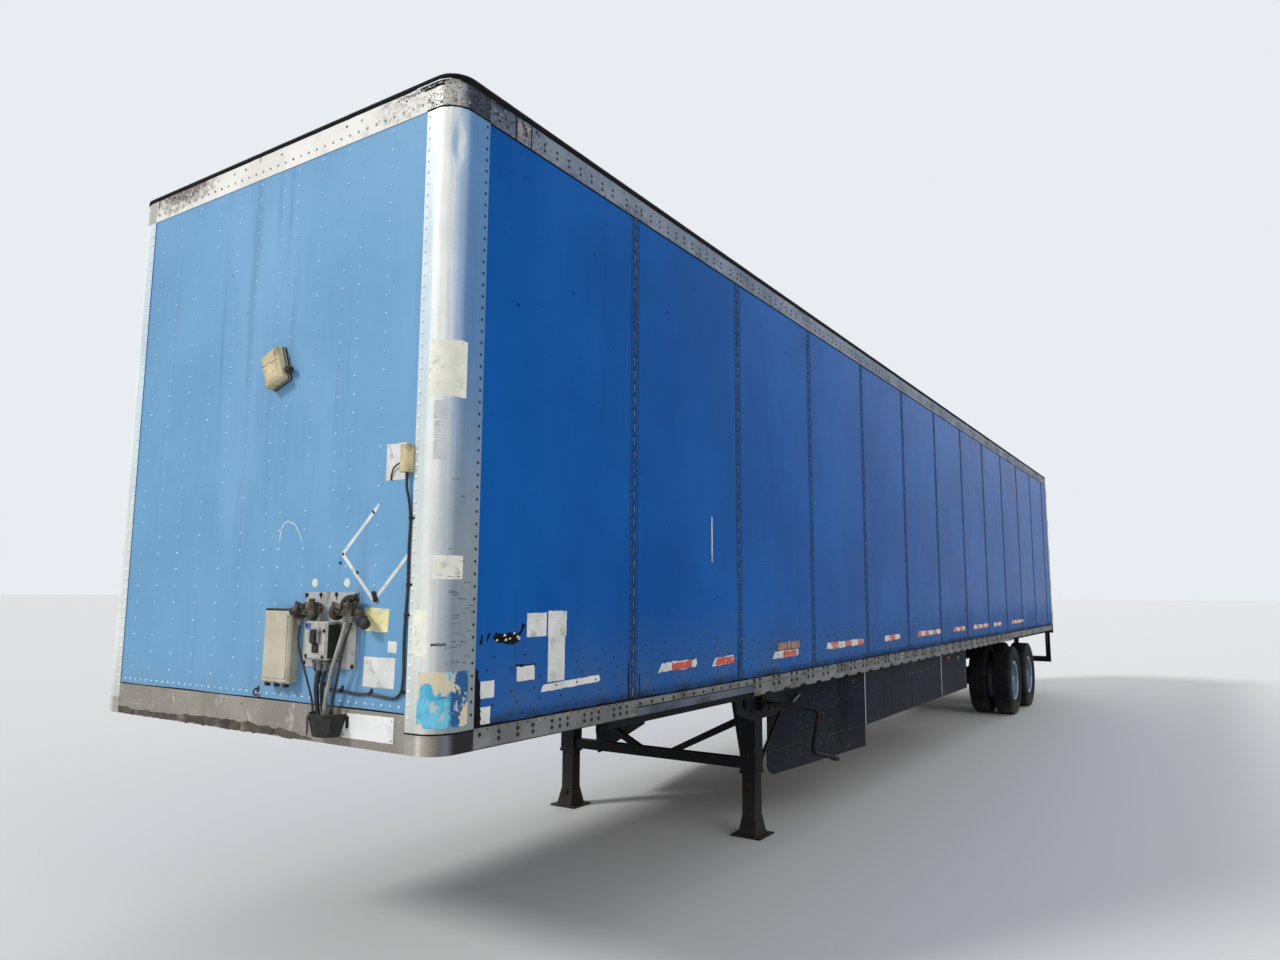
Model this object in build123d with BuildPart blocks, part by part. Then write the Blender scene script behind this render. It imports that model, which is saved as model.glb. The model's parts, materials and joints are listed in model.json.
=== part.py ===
"""A 53 ft plate-wall dry van semi trailer, parked on its landing legs and its sliding tandem.

Millimetres. Z is up and the ground is z = 0. The trailer runs along Y with its front wall
towards -Y, and +X is its left, or road, side. Places along the trailer are given as a
distance behind the front wall and turned into y by back().
"""
from build123d import *
import math
import os

os.makedirs("parts", exist_ok=True)

# Overall body
LENGTH = 16154
WIDTH = 2591
HEIGHT = 4115
HALF_WIDTH = WIDTH / 2

# Levels
FLOOR_TOP = 1272
FLOOR_THICK = 35
CROSS_DEPTH = 102
COUPLER_UNDERSIDE = 1160
RAIL_TOP = 1250
POST_FOOT = 1245
FRONT_BAND_TOP = 1318
RAIL_BOTTOM = 1165
FLOOR_BOTTOM = FLOOR_TOP - FLOOR_THICK
CROSS_BOTTOM = FLOOR_BOTTOM - CROSS_DEPTH

# Walls
RAIL_THICK = 4
PANEL_THICK = 10
PANEL_GAP = 3
PANEL_LAP = 45
PANEL_FOOT = 3
PANEL_HEAD_GAP = 4
LAST_PANEL_LEAST = 300
FIRST_SEAM = 1446
SEAM_PITCH = 1285
SEAM_POST_WIDTH = 70
SEAM_POST_DEPTH = 12
NOSE_THICK = 45
NOSE_LAP = 30
SCUFF_HEIGHT = 300
SCUFF_THICK = 3
CORNER_RADIUS = 115
CORNER_FLANGE_FRONT = 173
CORNER_FLANGE_SIDE = 222
PANEL_OUT = HALF_WIDTH - RAIL_THICK
PANEL_IN = PANEL_OUT - PANEL_THICK
POST_IN = PANEL_IN - SEAM_POST_DEPTH

# Roof
ROOF_THICK = 3
ROOF_EDGE_RADIUS = 22
TOP_RAIL_DEPTH = 152
TOP_RAIL_BOTTOM = HEIGHT - ROOF_THICK - TOP_RAIL_DEPTH
TOP_FLANGE = 60
BOW_DEPTH = 38
BOW_WIDTH = 60
BOW_WEB = 20
BOW_SHEET = 3

# Coupler and kingpin
COUPLER_LENGTH = 2930
COUPLER_PLATE = 10
PICKUP_PLATE_END = 1600
PLATE_SEAM = 4
COUPLER_BAR = 60
COUPLER_SHEET = 7
COUPLER_BAR_COUNT = 6
COUPLER_FIRST_BAR = 160
COUPLER_LAST_BAR_IN = 40
STRINGER_OUT = 330
KINGPIN_BACK = 914
KINGPIN_SHOULDER_R = 36.5
KINGPIN_NECK_R = 25.4
KINGPIN_COLLAR_R = 35.7
KINGPIN_DROP = 84
KINGPIN_SHOULDER = 21
KINGPIN_NECK = 38
KINGPIN_HEAD_R = 62
KINGPIN_HEAD = 14
KINGPIN_PLATE_GAP = 0.6

# Floor beams
CROSS_PITCH = 312
CROSS_FIRST = COUPLER_LENGTH + 70
LAST_CROSS_ROOM = 250
CROSS_FLANGE = 50
CROSS_SHEET = 6
FLOOR_BOARD_COUNT = 8
FLOOR_BOARD_GAP = 3

# Rear frame and doors
REAR_POST_WIDTH = 95
REAR_POST_DEPTH = 90
SILL_DEPTH = 165
SILL_CHAMFER = 30
HEADER_DEPTH = 150
DOOR_STOP = 20
DOOR_THICK = 42
DOOR_GAP = 6
HINGE_INSET = 16
HINGE_BEHIND = 56
HINGE_COUNT = 5
HINGE_END_ROOM = 175
KNUCKLE_R = 14
KNUCKLE_SIDES = 8
KNUCKLE_TURN = 180 / KNUCKLE_SIDES
HINGE_PIN_R = 8
HINGE_BORE_R = 9
KNUCKLE_LENGTH = 46
KNUCKLE_GAP = 3
HINGE_PLATE = 8
HINGE_PLATE_WIDTH = 70
STRAP_LENGTH = 170
LOCK_ROD_R = 13
BAR_SIDES = 12
BAR_TURN = 180 / BAR_SIDES
LOCK_ROD_STANDOFF = 20
LOCK_ROD_PLACES = (330, 740)
LOCK_ROD_REACH = 75
GUIDE_COUNT = 4
GUIDE_END_ROOM = 96
GUIDE_WIDTH = 70
CAM_WIDTH = 46
CAM_HEIGHT = 36
KEEPER_GAP = 8
KEEPER_THICK = 12
KEEPER_HEIGHT = 60
KEEPER_DEPTH = 34
HANDLE_LEVEL = 1560
HANDLE_STEP = 60
HANDLE_LENGTH = 300
HANDLE_DEPTH = 12
HANDLE_HEIGHT = 26
BUMPER_DEPTH = 65
BUMPER_WIDTH = 90
BUMPER_HEIGHT = 120
BUMPER_INSET = 60
BUMPER_RISE = 20

# Rear guard
GUARD_BOTTOM = 560
GUARD_HEIGHT = 100
GUARD_DEPTH = 90
GUARD_POST = 80
GUARD_POST_DEPTH = 50
GUARD_POST_PLACES = (630, 1195)
GUARD_INSET = 60
GUSSET_THICK = 10
GUSSET_LENGTH = 240
GUSSET_DROP = 330

# Landing gear
LEG_BACK = 3755
LEG_OUT = 869
LEG_OUTER = 127
LEG_INNER = 110
LEG_OUTER_BOTTOM = 455
LEG_COLLAR = 14
LEG_COLLAR_HEIGHT = 24
SHOE_SIZE = 250
SHOE_PLATE = 12
SHOE_TOP = 156
SHOE_FLARE = 40
LEG_BAR_LEVEL = 525
LEG_BAR_SIZE = 76
SUPPORT_RAIL_GAP = 40
SUPPORT_RAIL_BOTTOM = 1050
SUPPORT_RAIL_WIDTH = 60
SUPPORT_RAIL_BEHIND_LEG = 645
WING_FRONT = LEG_BACK - 385
WING_BACK = LEG_BACK + 475
WING_FOOT_FRONT = LEG_BACK - 125
WING_FOOT_BACK = LEG_BACK + 300
WING_BOTTOM = 865
WING_FRONT_EDGE = 195
WING_EDGE = 220
WING_THICK = 8
WING_HOLE_R = 42
WING_HOLE_AHEAD = 255
WING_HOLE_DOWN = 75
BRACE_SIZE = 50
BRACE_FOOT = 60
BRACE_TOP = 830
BRACE_HEAD = 60
KNEE_LOW = 540
KNEE_HIGH = 885
KNEE_BEHIND_LEG = 470
KNEE_BAR = 22
KNEE_HEAD = 31
KNEE_FOOT = 35
LEG_GUSSET_THICK = 8
LEG_GUSSET_HEAD = 100
LEG_GUSSET_LOW = 565
CROSS_SHAFT_R = 16
CRANK_R = 17
CRANK_OUT = 1240
CRANK_STUB = 70
CRANK_BEND_R = 55
CRANK_ROUTE = ((485, 905), (305, 600), (845, 475))
GEARBOX_OUT = 45
GEARBOX_LENGTH = 80
GEARBOX_HEIGHT = 110
GEARBOX_LEVEL = 985

# Sliding tandem and its axles
REAR_AXLE_FROM_END = 2639
AXLE_SPREAD = 1245
AXLE_PLACES = {
    "front": LENGTH - REAR_AXLE_FROM_END - AXLE_SPREAD,
    "rear": LENGTH - REAR_AXLE_FROM_END,
}
HANGER_REACH = 610
SLIDER_OVERHANG = 240
SLIDE_FRONT_TRAVEL = 1940
SLIDE_RAIL_DEPTH = 72
SLIDE_RAIL_WIDTH = 90
SLIDE_RAIL_SHEET = 8
SLIDE_RAIL_OUT = 520
SLIDER_DEPTH = 100
SLIDER_CROSS = 80
SLIDER_CROSS_SHEET = 8
SLIDE_GAP = 6
AXLE_R = 63.5
SPINDLE_R = 35
SPINDLE_GAP = 1
AXLE_HALF = 660
SPRING_LEVEL = 610
SPRING_THICK = 45
SPRING_END_THICK = 22
SPRING_CAMBER = 36
SPRING_HALF = 590
SPRING_SEAT_HALF = 70
SPRING_WIDTH = 76
HANGER_WIDTH = 100
HANGER_TOP = 200
HANGER_FOOT = 110
HANGER_DROP = 30
EQUALISER_DROP = 95
SEAT_LENGTH = 120
U_BOLT = 16
U_BOLT_PITCH = 90
CLAMP_PLATE = 16
RADIUS_ROD = 44
RADIUS_ROD_RISE = 24
BRAKE_CAN_R = 78
BRAKE_CAN_LENGTH = 170
BRAKE_CAN_OUT = 350
BRAKE_CAN_RISE = 60
BRAKE_BRACKET = 20
TANK_R = 115
TANK_LENGTH = 760
TANK_STRAP = 40

# Deep part of the bottom rail, where the floor beams bolt on
DEEP_RAIL_START = COUPLER_LENGTH
DEEP_RAIL_END = AXLE_PLACES["front"] - 300
SCALLOP_DEPTH = 14
SCALLOP_LENGTH = 130
SCALLOP_SLOPE = 25

# Side skirts
SKIRT_OUT = 1200
SKIRT_THICK = 6
SKIRT_FRONT = 4090
SKIRT_FRONT_OUT = 850
SKIRT_FRONT_DROP = 85
SKIRT_BOTTOM = 640
SKIRT_FIRST_SEAM = 5450
SKIRT_PANEL = 2700
SKIRT_LAST_LEAST = 300
SKIRT_END_GAP = 80
SKIRT_STRIP_BOTTOM = 455
SKIRT_STRIP_LAP = 50
SKIRT_STRIP_CORNER = 90
STRUT_COUNT = 4
STRUT_SIZE = 30
STRUT_RUN = 350
STRUT_RISE = 80

# Wheels and tyres
TYRE_R = 513
TYRE_WIDTH = 276
RIM_R = 286
RIM_LIP_R = 262
RIM_WIDTH = 210
DUAL_OUT = 1145
DUAL_SPACING = 345
DISH_DEPTH = 150
HUB_R = 105
HUB_LENGTH = 95
HUB_CAP_R = 70
HUB_CAP_IN = 20
HAND_HOLE_COUNT = 5
HAND_HOLE_R = 34
HAND_HOLE_PLACE_R = 192
HAND_HOLE_DEPTH = 60
BORE_ROOM = 10

# Fittings on the front wall: centres and sizes as (x, z) and (width, height)
BACK_PLATE_CENTRE = (622, 1651)
BACK_PLATE_SIZE = (360, 334)
BACK_PLATE_THICK = 6
DOCUMENT_BOX_CENTRE = (312, 1568)
DOCUMENT_BOX_SIZE = (188, 318)
DOCUMENT_BOX_DEPTH = 38
DOCUMENT_LID_LIP = 5
DOCUMENT_LID_DEPTH = 18
DOCUMENT_EDGE_R = 9
JUNCTION_BOX_CENTRE = (622, 1606)
JUNCTION_BOX_SIZE = (150, 166)
JUNCTION_BOX_DEPTH = 72
JUNCTION_BOX_EDGE = 6
GLADHAND_PLACES = ((545, 1745), (800, 1745))
GLADHAND_BODY = (62, 30, 56)
GLADHAND_NUT_R = 26
GLADHAND_NUT = 26
GLADHAND_FACE_R = 33
GLADHAND_FACE = 30
GLADHAND_NECK = (50, 26, 30)
TRAY_X = 665
TRAY_TOP = 1293
TRAY_HEIGHT = 94
TRAY_R = 100
TRAY_WALL = 5
TRAY_TAPER = 12
TOP_LAMP_PLACE = (150, 2905)
TOP_LAMP_SIZE = (130, 175)
TOP_LAMP_DEPTH = 60
TOP_LAMP_TILT = 20
TOP_LAMP_EDGE = 10
CORNER_LAMP_PLACE = (1090, 2385)
CORNER_LAMP_SIZE = (56, 118)
CORNER_LAMP_DEPTH = 44
CORNER_LAMP_EDGE_R = 24
MARKER_BACK = 3487
MARKER_LEVEL = 1435
MARKER_SIZE = (14, 130, 44)
TAIL_LAMP_PLACES = (880, 1005, 1130)
TAIL_LAMP_R = 52
LAMP_SIDES = 20
TAIL_LAMP_DEPTH = 22
TAIL_LAMP_RISE = 82
HEADER_LAMP_PLACES = (-170, 0, 170)
HEADER_LAMP_SIZE = (100, 18, 34)

SIDES = (("left", 1), ("right", -1))


def back(distance):
    """y of a place this far behind the front wall."""
    return distance - LENGTH / 2


def spread(low, high, count):
    """Even places from low to high, both included."""
    return [low + i * (high - low) / (count - 1) for i in range(count)]


REAR = back(LENGTH)

# Seams between side panels, as distances behind the front wall
wall_end = LENGTH - REAR_POST_DEPTH
seam_count = int((wall_end - FIRST_SEAM - LAST_PANEL_LEAST) // SEAM_PITCH) + 1
seams = [FIRST_SEAM + i * SEAM_PITCH for i in range(seam_count)]

# Walls: side panels, seam posts and scuff liners
roof_underside = HEIGHT - ROOF_THICK
panel_bottom = FLOOR_BOTTOM + PANEL_FOOT
panel_top = roof_underside - ROOF_EDGE_RADIUS - PANEL_HEAD_GAP
panel_ends = [CORNER_FLANGE_SIDE - PANEL_LAP, *seams, wall_end]
panel_x = (PANEL_OUT + PANEL_IN) / 2
post_x = PANEL_IN - SEAM_POST_DEPTH / 2
scuff_x = POST_IN - SCUFF_THICK / 2
with BuildPart() as side_panels:
    for start, end in zip(panel_ends, panel_ends[1:]):
        with Locations(*[(sign * panel_x, back((start + end) / 2), panel_bottom) for side, sign in SIDES]):
            Box(PANEL_THICK, end - start - PANEL_GAP, panel_top - panel_bottom,
                align=(Align.CENTER, Align.CENTER, Align.MIN))
side_panels.part.label = "side_panels"
export_step(side_panels.part, "parts/side_panels.step")

with BuildPart() as seam_posts:
    with Locations(*[(sign * post_x, back(seam), FLOOR_TOP) for seam in seams for side, sign in SIDES]):
        Box(SEAM_POST_DEPTH, SEAM_POST_WIDTH, panel_top - FLOOR_TOP,
            align=(Align.CENTER, Align.CENTER, Align.MIN))
seam_posts.part.label = "seam_posts"
export_step(seam_posts.part, "parts/seam_posts.step")

with BuildPart() as scuff_liners:
    for side, sign in SIDES:
        with Locations((sign * scuff_x, back((CORNER_FLANGE_SIDE + wall_end) / 2), FLOOR_TOP)):
            Box(SCUFF_THICK, wall_end - CORNER_FLANGE_SIDE, SCUFF_HEIGHT,
                align=(Align.CENTER, Align.CENTER, Align.MIN))
scuff_liners.part.label = "scuff_liners"
export_step(scuff_liners.part, "parts/scuff_liners.step")


def corner_band(sign):
    """Plan of the rounded front corner: side flange, quarter round and front flange."""
    inner = HALF_WIDTH - RAIL_THICK
    side_end = (sign * HALF_WIDTH, back(CORNER_FLANGE_SIDE))
    round_start = (sign * HALF_WIDTH, back(CORNER_RADIUS))
    round_end = (sign * (HALF_WIDTH - CORNER_RADIUS), back(0))
    front_end = (sign * (HALF_WIDTH - CORNER_FLANGE_FRONT), back(0))
    inner_side_end = (sign * inner, back(CORNER_FLANGE_SIDE))
    inner_round_start = (sign * inner, back(CORNER_RADIUS))
    inner_round_end = (sign * (HALF_WIDTH - CORNER_RADIUS), back(RAIL_THICK))
    inner_front_end = (sign * (HALF_WIDTH - CORNER_FLANGE_FRONT), back(RAIL_THICK))
    with BuildSketch() as band:
        with BuildLine():
            Line(side_end, round_start)
            RadiusArc(round_start, round_end, sign * CORNER_RADIUS)
            Line(round_end, front_end)
            Line(front_end, inner_front_end)
            Line(inner_front_end, inner_round_end)
            RadiusArc(inner_round_end, inner_round_start, -sign * (CORNER_RADIUS - RAIL_THICK))
            Line(inner_round_start, inner_side_end)
            Line(inner_side_end, side_end)
        make_face()
    return band.sketch


# Rounded aluminium posts at the two front corners
with BuildPart() as corner_posts:
    for side, sign in SIDES:
        with BuildSketch(Plane.XY.offset(POST_FOOT)):
            add(corner_band(sign))
        extrude(amount=TOP_RAIL_BOTTOM - POST_FOOT)
corner_posts.part.label = "corner_posts"
export_step(corner_posts.part, "parts/corner_posts.step")

# Short rail corners above and below those posts
with BuildPart() as corner_caps:
    for side, sign in SIDES:
        with BuildSketch(Plane.XY.offset(COUPLER_UNDERSIDE)):
            add(corner_band(sign))
        extrude(amount=POST_FOOT - COUPLER_UNDERSIDE)
        with BuildSketch(Plane.XY.offset(TOP_RAIL_BOTTOM)):
            add(corner_band(sign))
        extrude(amount=roof_underside - TOP_RAIL_BOTTOM)
corner_caps.part.label = "rail_corner_caps"
export_step(corner_caps.part, "parts/rail_corner_caps.step")

# Front wall and its two rails
nose_half = HALF_WIDTH - CORNER_FLANGE_FRONT
with BuildPart() as nose_panel:
    with Locations((0, back(RAIL_THICK), FLOOR_BOTTOM)):
        Box(2 * (nose_half + NOSE_LAP), NOSE_THICK, roof_underside - FLOOR_BOTTOM,
            align=(Align.CENTER, Align.MIN, Align.MIN))
nose_panel.part.label = "nose_panel"
export_step(nose_panel.part, "parts/nose_panel.step")

with BuildPart() as front_top_rail:
    with Locations((0, back(0), TOP_RAIL_BOTTOM)):
        Box(2 * nose_half, RAIL_THICK, roof_underside - TOP_RAIL_BOTTOM,
            align=(Align.CENTER, Align.MIN, Align.MIN))
front_top_rail.part.label = "front_top_rail"
export_step(front_top_rail.part, "parts/front_top_rail.step")

with BuildPart() as front_bottom_rail:
    with Locations((0, back(0), COUPLER_UNDERSIDE)):
        Box(2 * nose_half, RAIL_THICK, FRONT_BAND_TOP - COUPLER_UNDERSIDE,
            align=(Align.CENTER, Align.MIN, Align.MIN))
front_bottom_rail.part.label = "front_bottom_rail"
export_step(front_bottom_rail.part, "parts/front_bottom_rail.step")

# Top side rails, with a rounded roof edge
rail_length = wall_end - CORNER_FLANGE_SIDE
edge_in = HALF_WIDTH - ROOF_EDGE_RADIUS
edge_low = roof_underside - ROOF_EDGE_RADIUS
inner_edge_radius = ROOF_EDGE_RADIUS - RAIL_THICK
with BuildPart() as top_rails:
    with BuildSketch(Plane.XZ.offset(-back(CORNER_FLANGE_SIDE))):
        with BuildLine():
            Line((PANEL_OUT, TOP_RAIL_BOTTOM), (HALF_WIDTH, TOP_RAIL_BOTTOM))
            Line((HALF_WIDTH, TOP_RAIL_BOTTOM), (HALF_WIDTH, edge_low))
            RadiusArc((HALF_WIDTH, edge_low), (edge_in, roof_underside), -ROOF_EDGE_RADIUS)
            Line((edge_in, roof_underside), (HALF_WIDTH - TOP_FLANGE, roof_underside))
            Line((HALF_WIDTH - TOP_FLANGE, roof_underside),
                 (HALF_WIDTH - TOP_FLANGE, roof_underside - RAIL_THICK))
            Line((HALF_WIDTH - TOP_FLANGE, roof_underside - RAIL_THICK),
                 (edge_in, roof_underside - RAIL_THICK))
            RadiusArc((edge_in, roof_underside - RAIL_THICK), (PANEL_OUT, edge_low), inner_edge_radius)
            Line((PANEL_OUT, edge_low), (PANEL_OUT, TOP_RAIL_BOTTOM))
        make_face()
        mirror(about=Plane.YZ)
    extrude(amount=-rail_length)
top_rails.part.label = "top_rails"
export_step(top_rails.part, "parts/top_rails.step")

# Bottom side rails: shallow at both ends and deep between, cut up between the floor beams
cross_count = int((wall_end - CROSS_FIRST - LAST_CROSS_ROOM) // CROSS_PITCH) + 1
cross_places = [CROSS_FIRST + i * CROSS_PITCH for i in range(cross_count)]
scallop_middles = [
    back(place + CROSS_PITCH / 2) for place in cross_places if place + CROSS_PITCH < DEEP_RAIL_END
]
scallop_half = SCALLOP_LENGTH / 2
scallop_top = CROSS_BOTTOM + SCALLOP_DEPTH
scalloped_edge = []
for middle in scallop_middles:
    scalloped_edge += [
        (middle - scallop_half, CROSS_BOTTOM),
        (middle - scallop_half + SCALLOP_SLOPE, scallop_top),
        (middle + scallop_half - SCALLOP_SLOPE, scallop_top),
        (middle + scallop_half, CROSS_BOTTOM),
    ]
with BuildPart() as bottom_rails:
    with BuildSketch(Plane.YZ.offset(PANEL_OUT)):
        with BuildLine():
            Polyline(
                (back(CORNER_FLANGE_SIDE), RAIL_TOP),
                (back(CORNER_FLANGE_SIDE), RAIL_BOTTOM),
                (back(DEEP_RAIL_START), RAIL_BOTTOM),
                (back(DEEP_RAIL_START), CROSS_BOTTOM),
                *scalloped_edge,
                (back(DEEP_RAIL_END), CROSS_BOTTOM),
                (back(DEEP_RAIL_END), RAIL_BOTTOM),
                (back(wall_end), RAIL_BOTTOM),
                (back(wall_end), RAIL_TOP),
                close=True,
            )
        make_face()
    extrude(amount=RAIL_THICK)
    mirror(about=Plane.YZ)
bottom_rails.part.label = "bottom_rails"
export_step(bottom_rails.part, "parts/bottom_rails.step")

# Roof sheet and the hat-section bows under it
bow_top = roof_underside - RAIL_THICK
with BuildPart() as roof_skin:
    with Locations((0, back(LENGTH / 2), roof_underside)):
        Box(2 * edge_in, LENGTH - 2 * ROOF_EDGE_RADIUS, ROOF_THICK,
            align=(Align.CENTER, Align.CENTER, Align.MIN))
roof_skin.part.label = "roof_skin"
export_step(roof_skin.part, "parts/roof_skin.step")

with BuildPart() as roof_bows:
    for seam in seams:
        y = back(seam)
        with BuildSketch(Plane.YZ.offset(-POST_IN)):
            with BuildLine():
                Polyline(
                    (y - BOW_WIDTH / 2, bow_top),
                    (y + BOW_WIDTH / 2, bow_top),
                    (y + BOW_WIDTH / 2, bow_top - BOW_SHEET),
                    (y + BOW_WEB / 2, bow_top - BOW_SHEET),
                    (y + BOW_WEB / 2, bow_top - BOW_DEPTH),
                    (y - BOW_WEB / 2, bow_top - BOW_DEPTH),
                    (y - BOW_WEB / 2, bow_top - BOW_SHEET),
                    (y - BOW_WIDTH / 2, bow_top - BOW_SHEET),
                    close=True,
                )
            make_face()
        extrude(amount=2 * POST_IN)
roof_bows.part.label = "roof_bows"
export_step(roof_bows.part, "parts/roof_bows.step")

# Floor boards and the beams under them
floor_half = POST_IN - SCUFF_THICK
floor_start = RAIL_THICK + NOSE_THICK
board_pitch = 2 * floor_half / FLOOR_BOARD_COUNT
with BuildPart() as floor_boards:
    for board in range(FLOOR_BOARD_COUNT):
        x = -floor_half + (board + 0.5) * board_pitch
        with Locations((x, back((floor_start + wall_end) / 2), FLOOR_BOTTOM)):
            Box(board_pitch - FLOOR_BOARD_GAP, wall_end - floor_start, FLOOR_THICK,
                align=(Align.CENTER, Align.CENTER, Align.MIN))
floor_boards.part.label = "floor_boards"
export_step(floor_boards.part, "parts/floor_boards.step")


def channel(y, low, high, width, sheet):
    """Section of a channel in the YZ plane, with its web at its front and its flanges to the rear."""
    with BuildSketch() as section:
        with BuildLine():
            Polyline(
                (y - width / 2, low),
                (y + width / 2, low),
                (y + width / 2, low + sheet),
                (y - width / 2 + sheet, low + sheet),
                (y - width / 2 + sheet, high - sheet),
                (y + width / 2, high - sheet),
                (y + width / 2, high),
                (y - width / 2, high),
                close=True,
            )
        make_face()
    return section.sketch


half_flange = CROSS_FLANGE / 2
half_web = CROSS_SHEET / 2
with BuildPart() as crossmembers:
    for place in cross_places:
        y = back(place)
        with BuildSketch(Plane.YZ.offset(-PANEL_OUT)):
            with BuildLine():
                Polyline(
                    (y - half_flange, CROSS_BOTTOM),
                    (y + half_flange, CROSS_BOTTOM),
                    (y + half_flange, CROSS_BOTTOM + CROSS_SHEET),
                    (y + half_web, CROSS_BOTTOM + CROSS_SHEET),
                    (y + half_web, FLOOR_BOTTOM - CROSS_SHEET),
                    (y + half_flange, FLOOR_BOTTOM - CROSS_SHEET),
                    (y + half_flange, FLOOR_BOTTOM),
                    (y - half_flange, FLOOR_BOTTOM),
                    close=True,
                )
            make_face()
        extrude(amount=2 * PANEL_OUT)
crossmembers.part.label = "crossmembers"
export_step(crossmembers.part, "parts/crossmembers.step")

# Upper coupler: two plates, channel bars and stringers, with a hole for the kingpin
coupler_bars = spread(COUPLER_FIRST_BAR, COUPLER_LENGTH - COUPLER_LAST_BAR_IN, COUPLER_BAR_COUNT)
plate_ends = ((RAIL_THICK, PICKUP_PLATE_END), (PICKUP_PLATE_END + PLATE_SEAM, COUPLER_LENGTH))
bar_low = COUPLER_UNDERSIDE + COUPLER_PLATE
bar_half = PANEL_OUT - CORNER_RADIUS
with BuildPart() as upper_coupler:
    for start, end in plate_ends:
        with Locations((0, back(start), COUPLER_UNDERSIDE)):
            Box(2 * PANEL_OUT, end - start, COUPLER_PLATE, align=(Align.CENTER, Align.MIN, Align.MIN))
    for bar in coupler_bars:
        with BuildSketch(Plane.YZ.offset(-bar_half)):
            add(channel(back(bar), bar_low, FLOOR_BOTTOM, COUPLER_BAR, COUPLER_SHEET))
        extrude(amount=2 * bar_half)
    for start, end in zip(coupler_bars, coupler_bars[1:]):
        run = end - start - COUPLER_BAR
        with Locations(*[(sign * STRINGER_OUT, back((start + end) / 2), bar_low) for side, sign in SIDES]):
            Box(COUPLER_SHEET, run, FLOOR_BOTTOM - bar_low, align=(Align.CENTER, Align.CENTER, Align.MIN))
    with BuildSketch(Plane.XY.offset(COUPLER_UNDERSIDE)):
        for side, sign in SIDES:
            corner = (sign * PANEL_OUT, back(RAIL_THICK))
            round_start = (sign * PANEL_OUT, back(CORNER_RADIUS))
            round_end = (sign * (HALF_WIDTH - CORNER_RADIUS), back(RAIL_THICK))
            with BuildLine():
                Line(corner, round_start)
                RadiusArc(round_start, round_end, sign * (CORNER_RADIUS - RAIL_THICK))
                Line(round_end, corner)
            make_face()
        with Locations((0, back(KINGPIN_BACK))):
            Circle(KINGPIN_SHOULDER_R + KINGPIN_PLATE_GAP)
    extrude(amount=COUPLER_PLATE, mode=Mode.SUBTRACT)
upper_coupler.part.label = "upper_coupler"
export_step(upper_coupler.part, "parts/upper_coupler.step")

pin_bottom = COUPLER_UNDERSIDE - KINGPIN_DROP
neck_top = COUPLER_UNDERSIDE - KINGPIN_SHOULDER
neck_bottom = neck_top - KINGPIN_NECK
head_top = bar_low + KINGPIN_HEAD
with BuildPart() as kingpin:
    with BuildSketch(Plane.XZ.offset(-back(KINGPIN_BACK))):
        with BuildLine():
            Polyline(
                (0, head_top),
                (KINGPIN_HEAD_R, head_top),
                (KINGPIN_HEAD_R, bar_low),
                (KINGPIN_SHOULDER_R, bar_low),
                (KINGPIN_SHOULDER_R, neck_top),
                (KINGPIN_NECK_R, neck_top),
                (KINGPIN_NECK_R, neck_bottom),
                (KINGPIN_COLLAR_R, neck_bottom),
                (KINGPIN_COLLAR_R, pin_bottom),
                (0, pin_bottom),
                close=True,
            )
        make_face()
    revolve(axis=Axis((0, back(KINGPIN_BACK), 0), (0, 0, 1)))
kingpin.part.label = "kingpin"
export_step(kingpin.part, "parts/kingpin.step")

# Rear frame: posts with door stops, header and sill with the lock rods' keepers
post_inner = HALF_WIDTH - REAR_POST_WIDTH
sill_bottom = FLOOR_TOP - SILL_DEPTH
header_bottom = roof_underside - HEADER_DEPTH
stop_face = REAR - DOOR_THICK - DOOR_GAP
with BuildPart() as rear_posts:
    with BuildSketch(Plane.XY.offset(FLOOR_TOP)):
        with BuildLine():
            Polyline(
                (HALF_WIDTH, REAR),
                (post_inner, REAR),
                (post_inner, stop_face),
                (post_inner - DOOR_STOP, stop_face),
                (post_inner - DOOR_STOP, REAR - REAR_POST_DEPTH),
                (HALF_WIDTH, REAR - REAR_POST_DEPTH),
                close=True,
            )
        make_face()
        mirror(about=Plane.YZ)
    extrude(amount=header_bottom - FLOOR_TOP)
rear_posts.part.label = "rear_posts"
export_step(rear_posts.part, "parts/rear_posts.step")

keeper_out = CAM_WIDTH / 2 + KEEPER_GAP + KEEPER_THICK / 2
keeper_places = [
    sign * place + way * keeper_out for side, sign in SIDES for place in LOCK_ROD_PLACES for way in (-1, 1)
]
rod_bottom = FLOOR_TOP - LOCK_ROD_REACH
rod_top = header_bottom + LOCK_ROD_REACH
with BuildPart() as rear_header:
    with Locations((0, REAR, header_bottom)):
        Box(WIDTH, REAR_POST_DEPTH, HEADER_DEPTH, align=(Align.CENTER, Align.MAX, Align.MIN))
    with Locations(*[(x, REAR, rod_top - CAM_HEIGHT / 2) for x in keeper_places]):
        Box(KEEPER_THICK, KEEPER_DEPTH, KEEPER_HEIGHT, align=(Align.CENTER, Align.MIN, Align.CENTER))
rear_header.part.label = "rear_header"
export_step(rear_header.part, "parts/rear_header.step")

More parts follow.
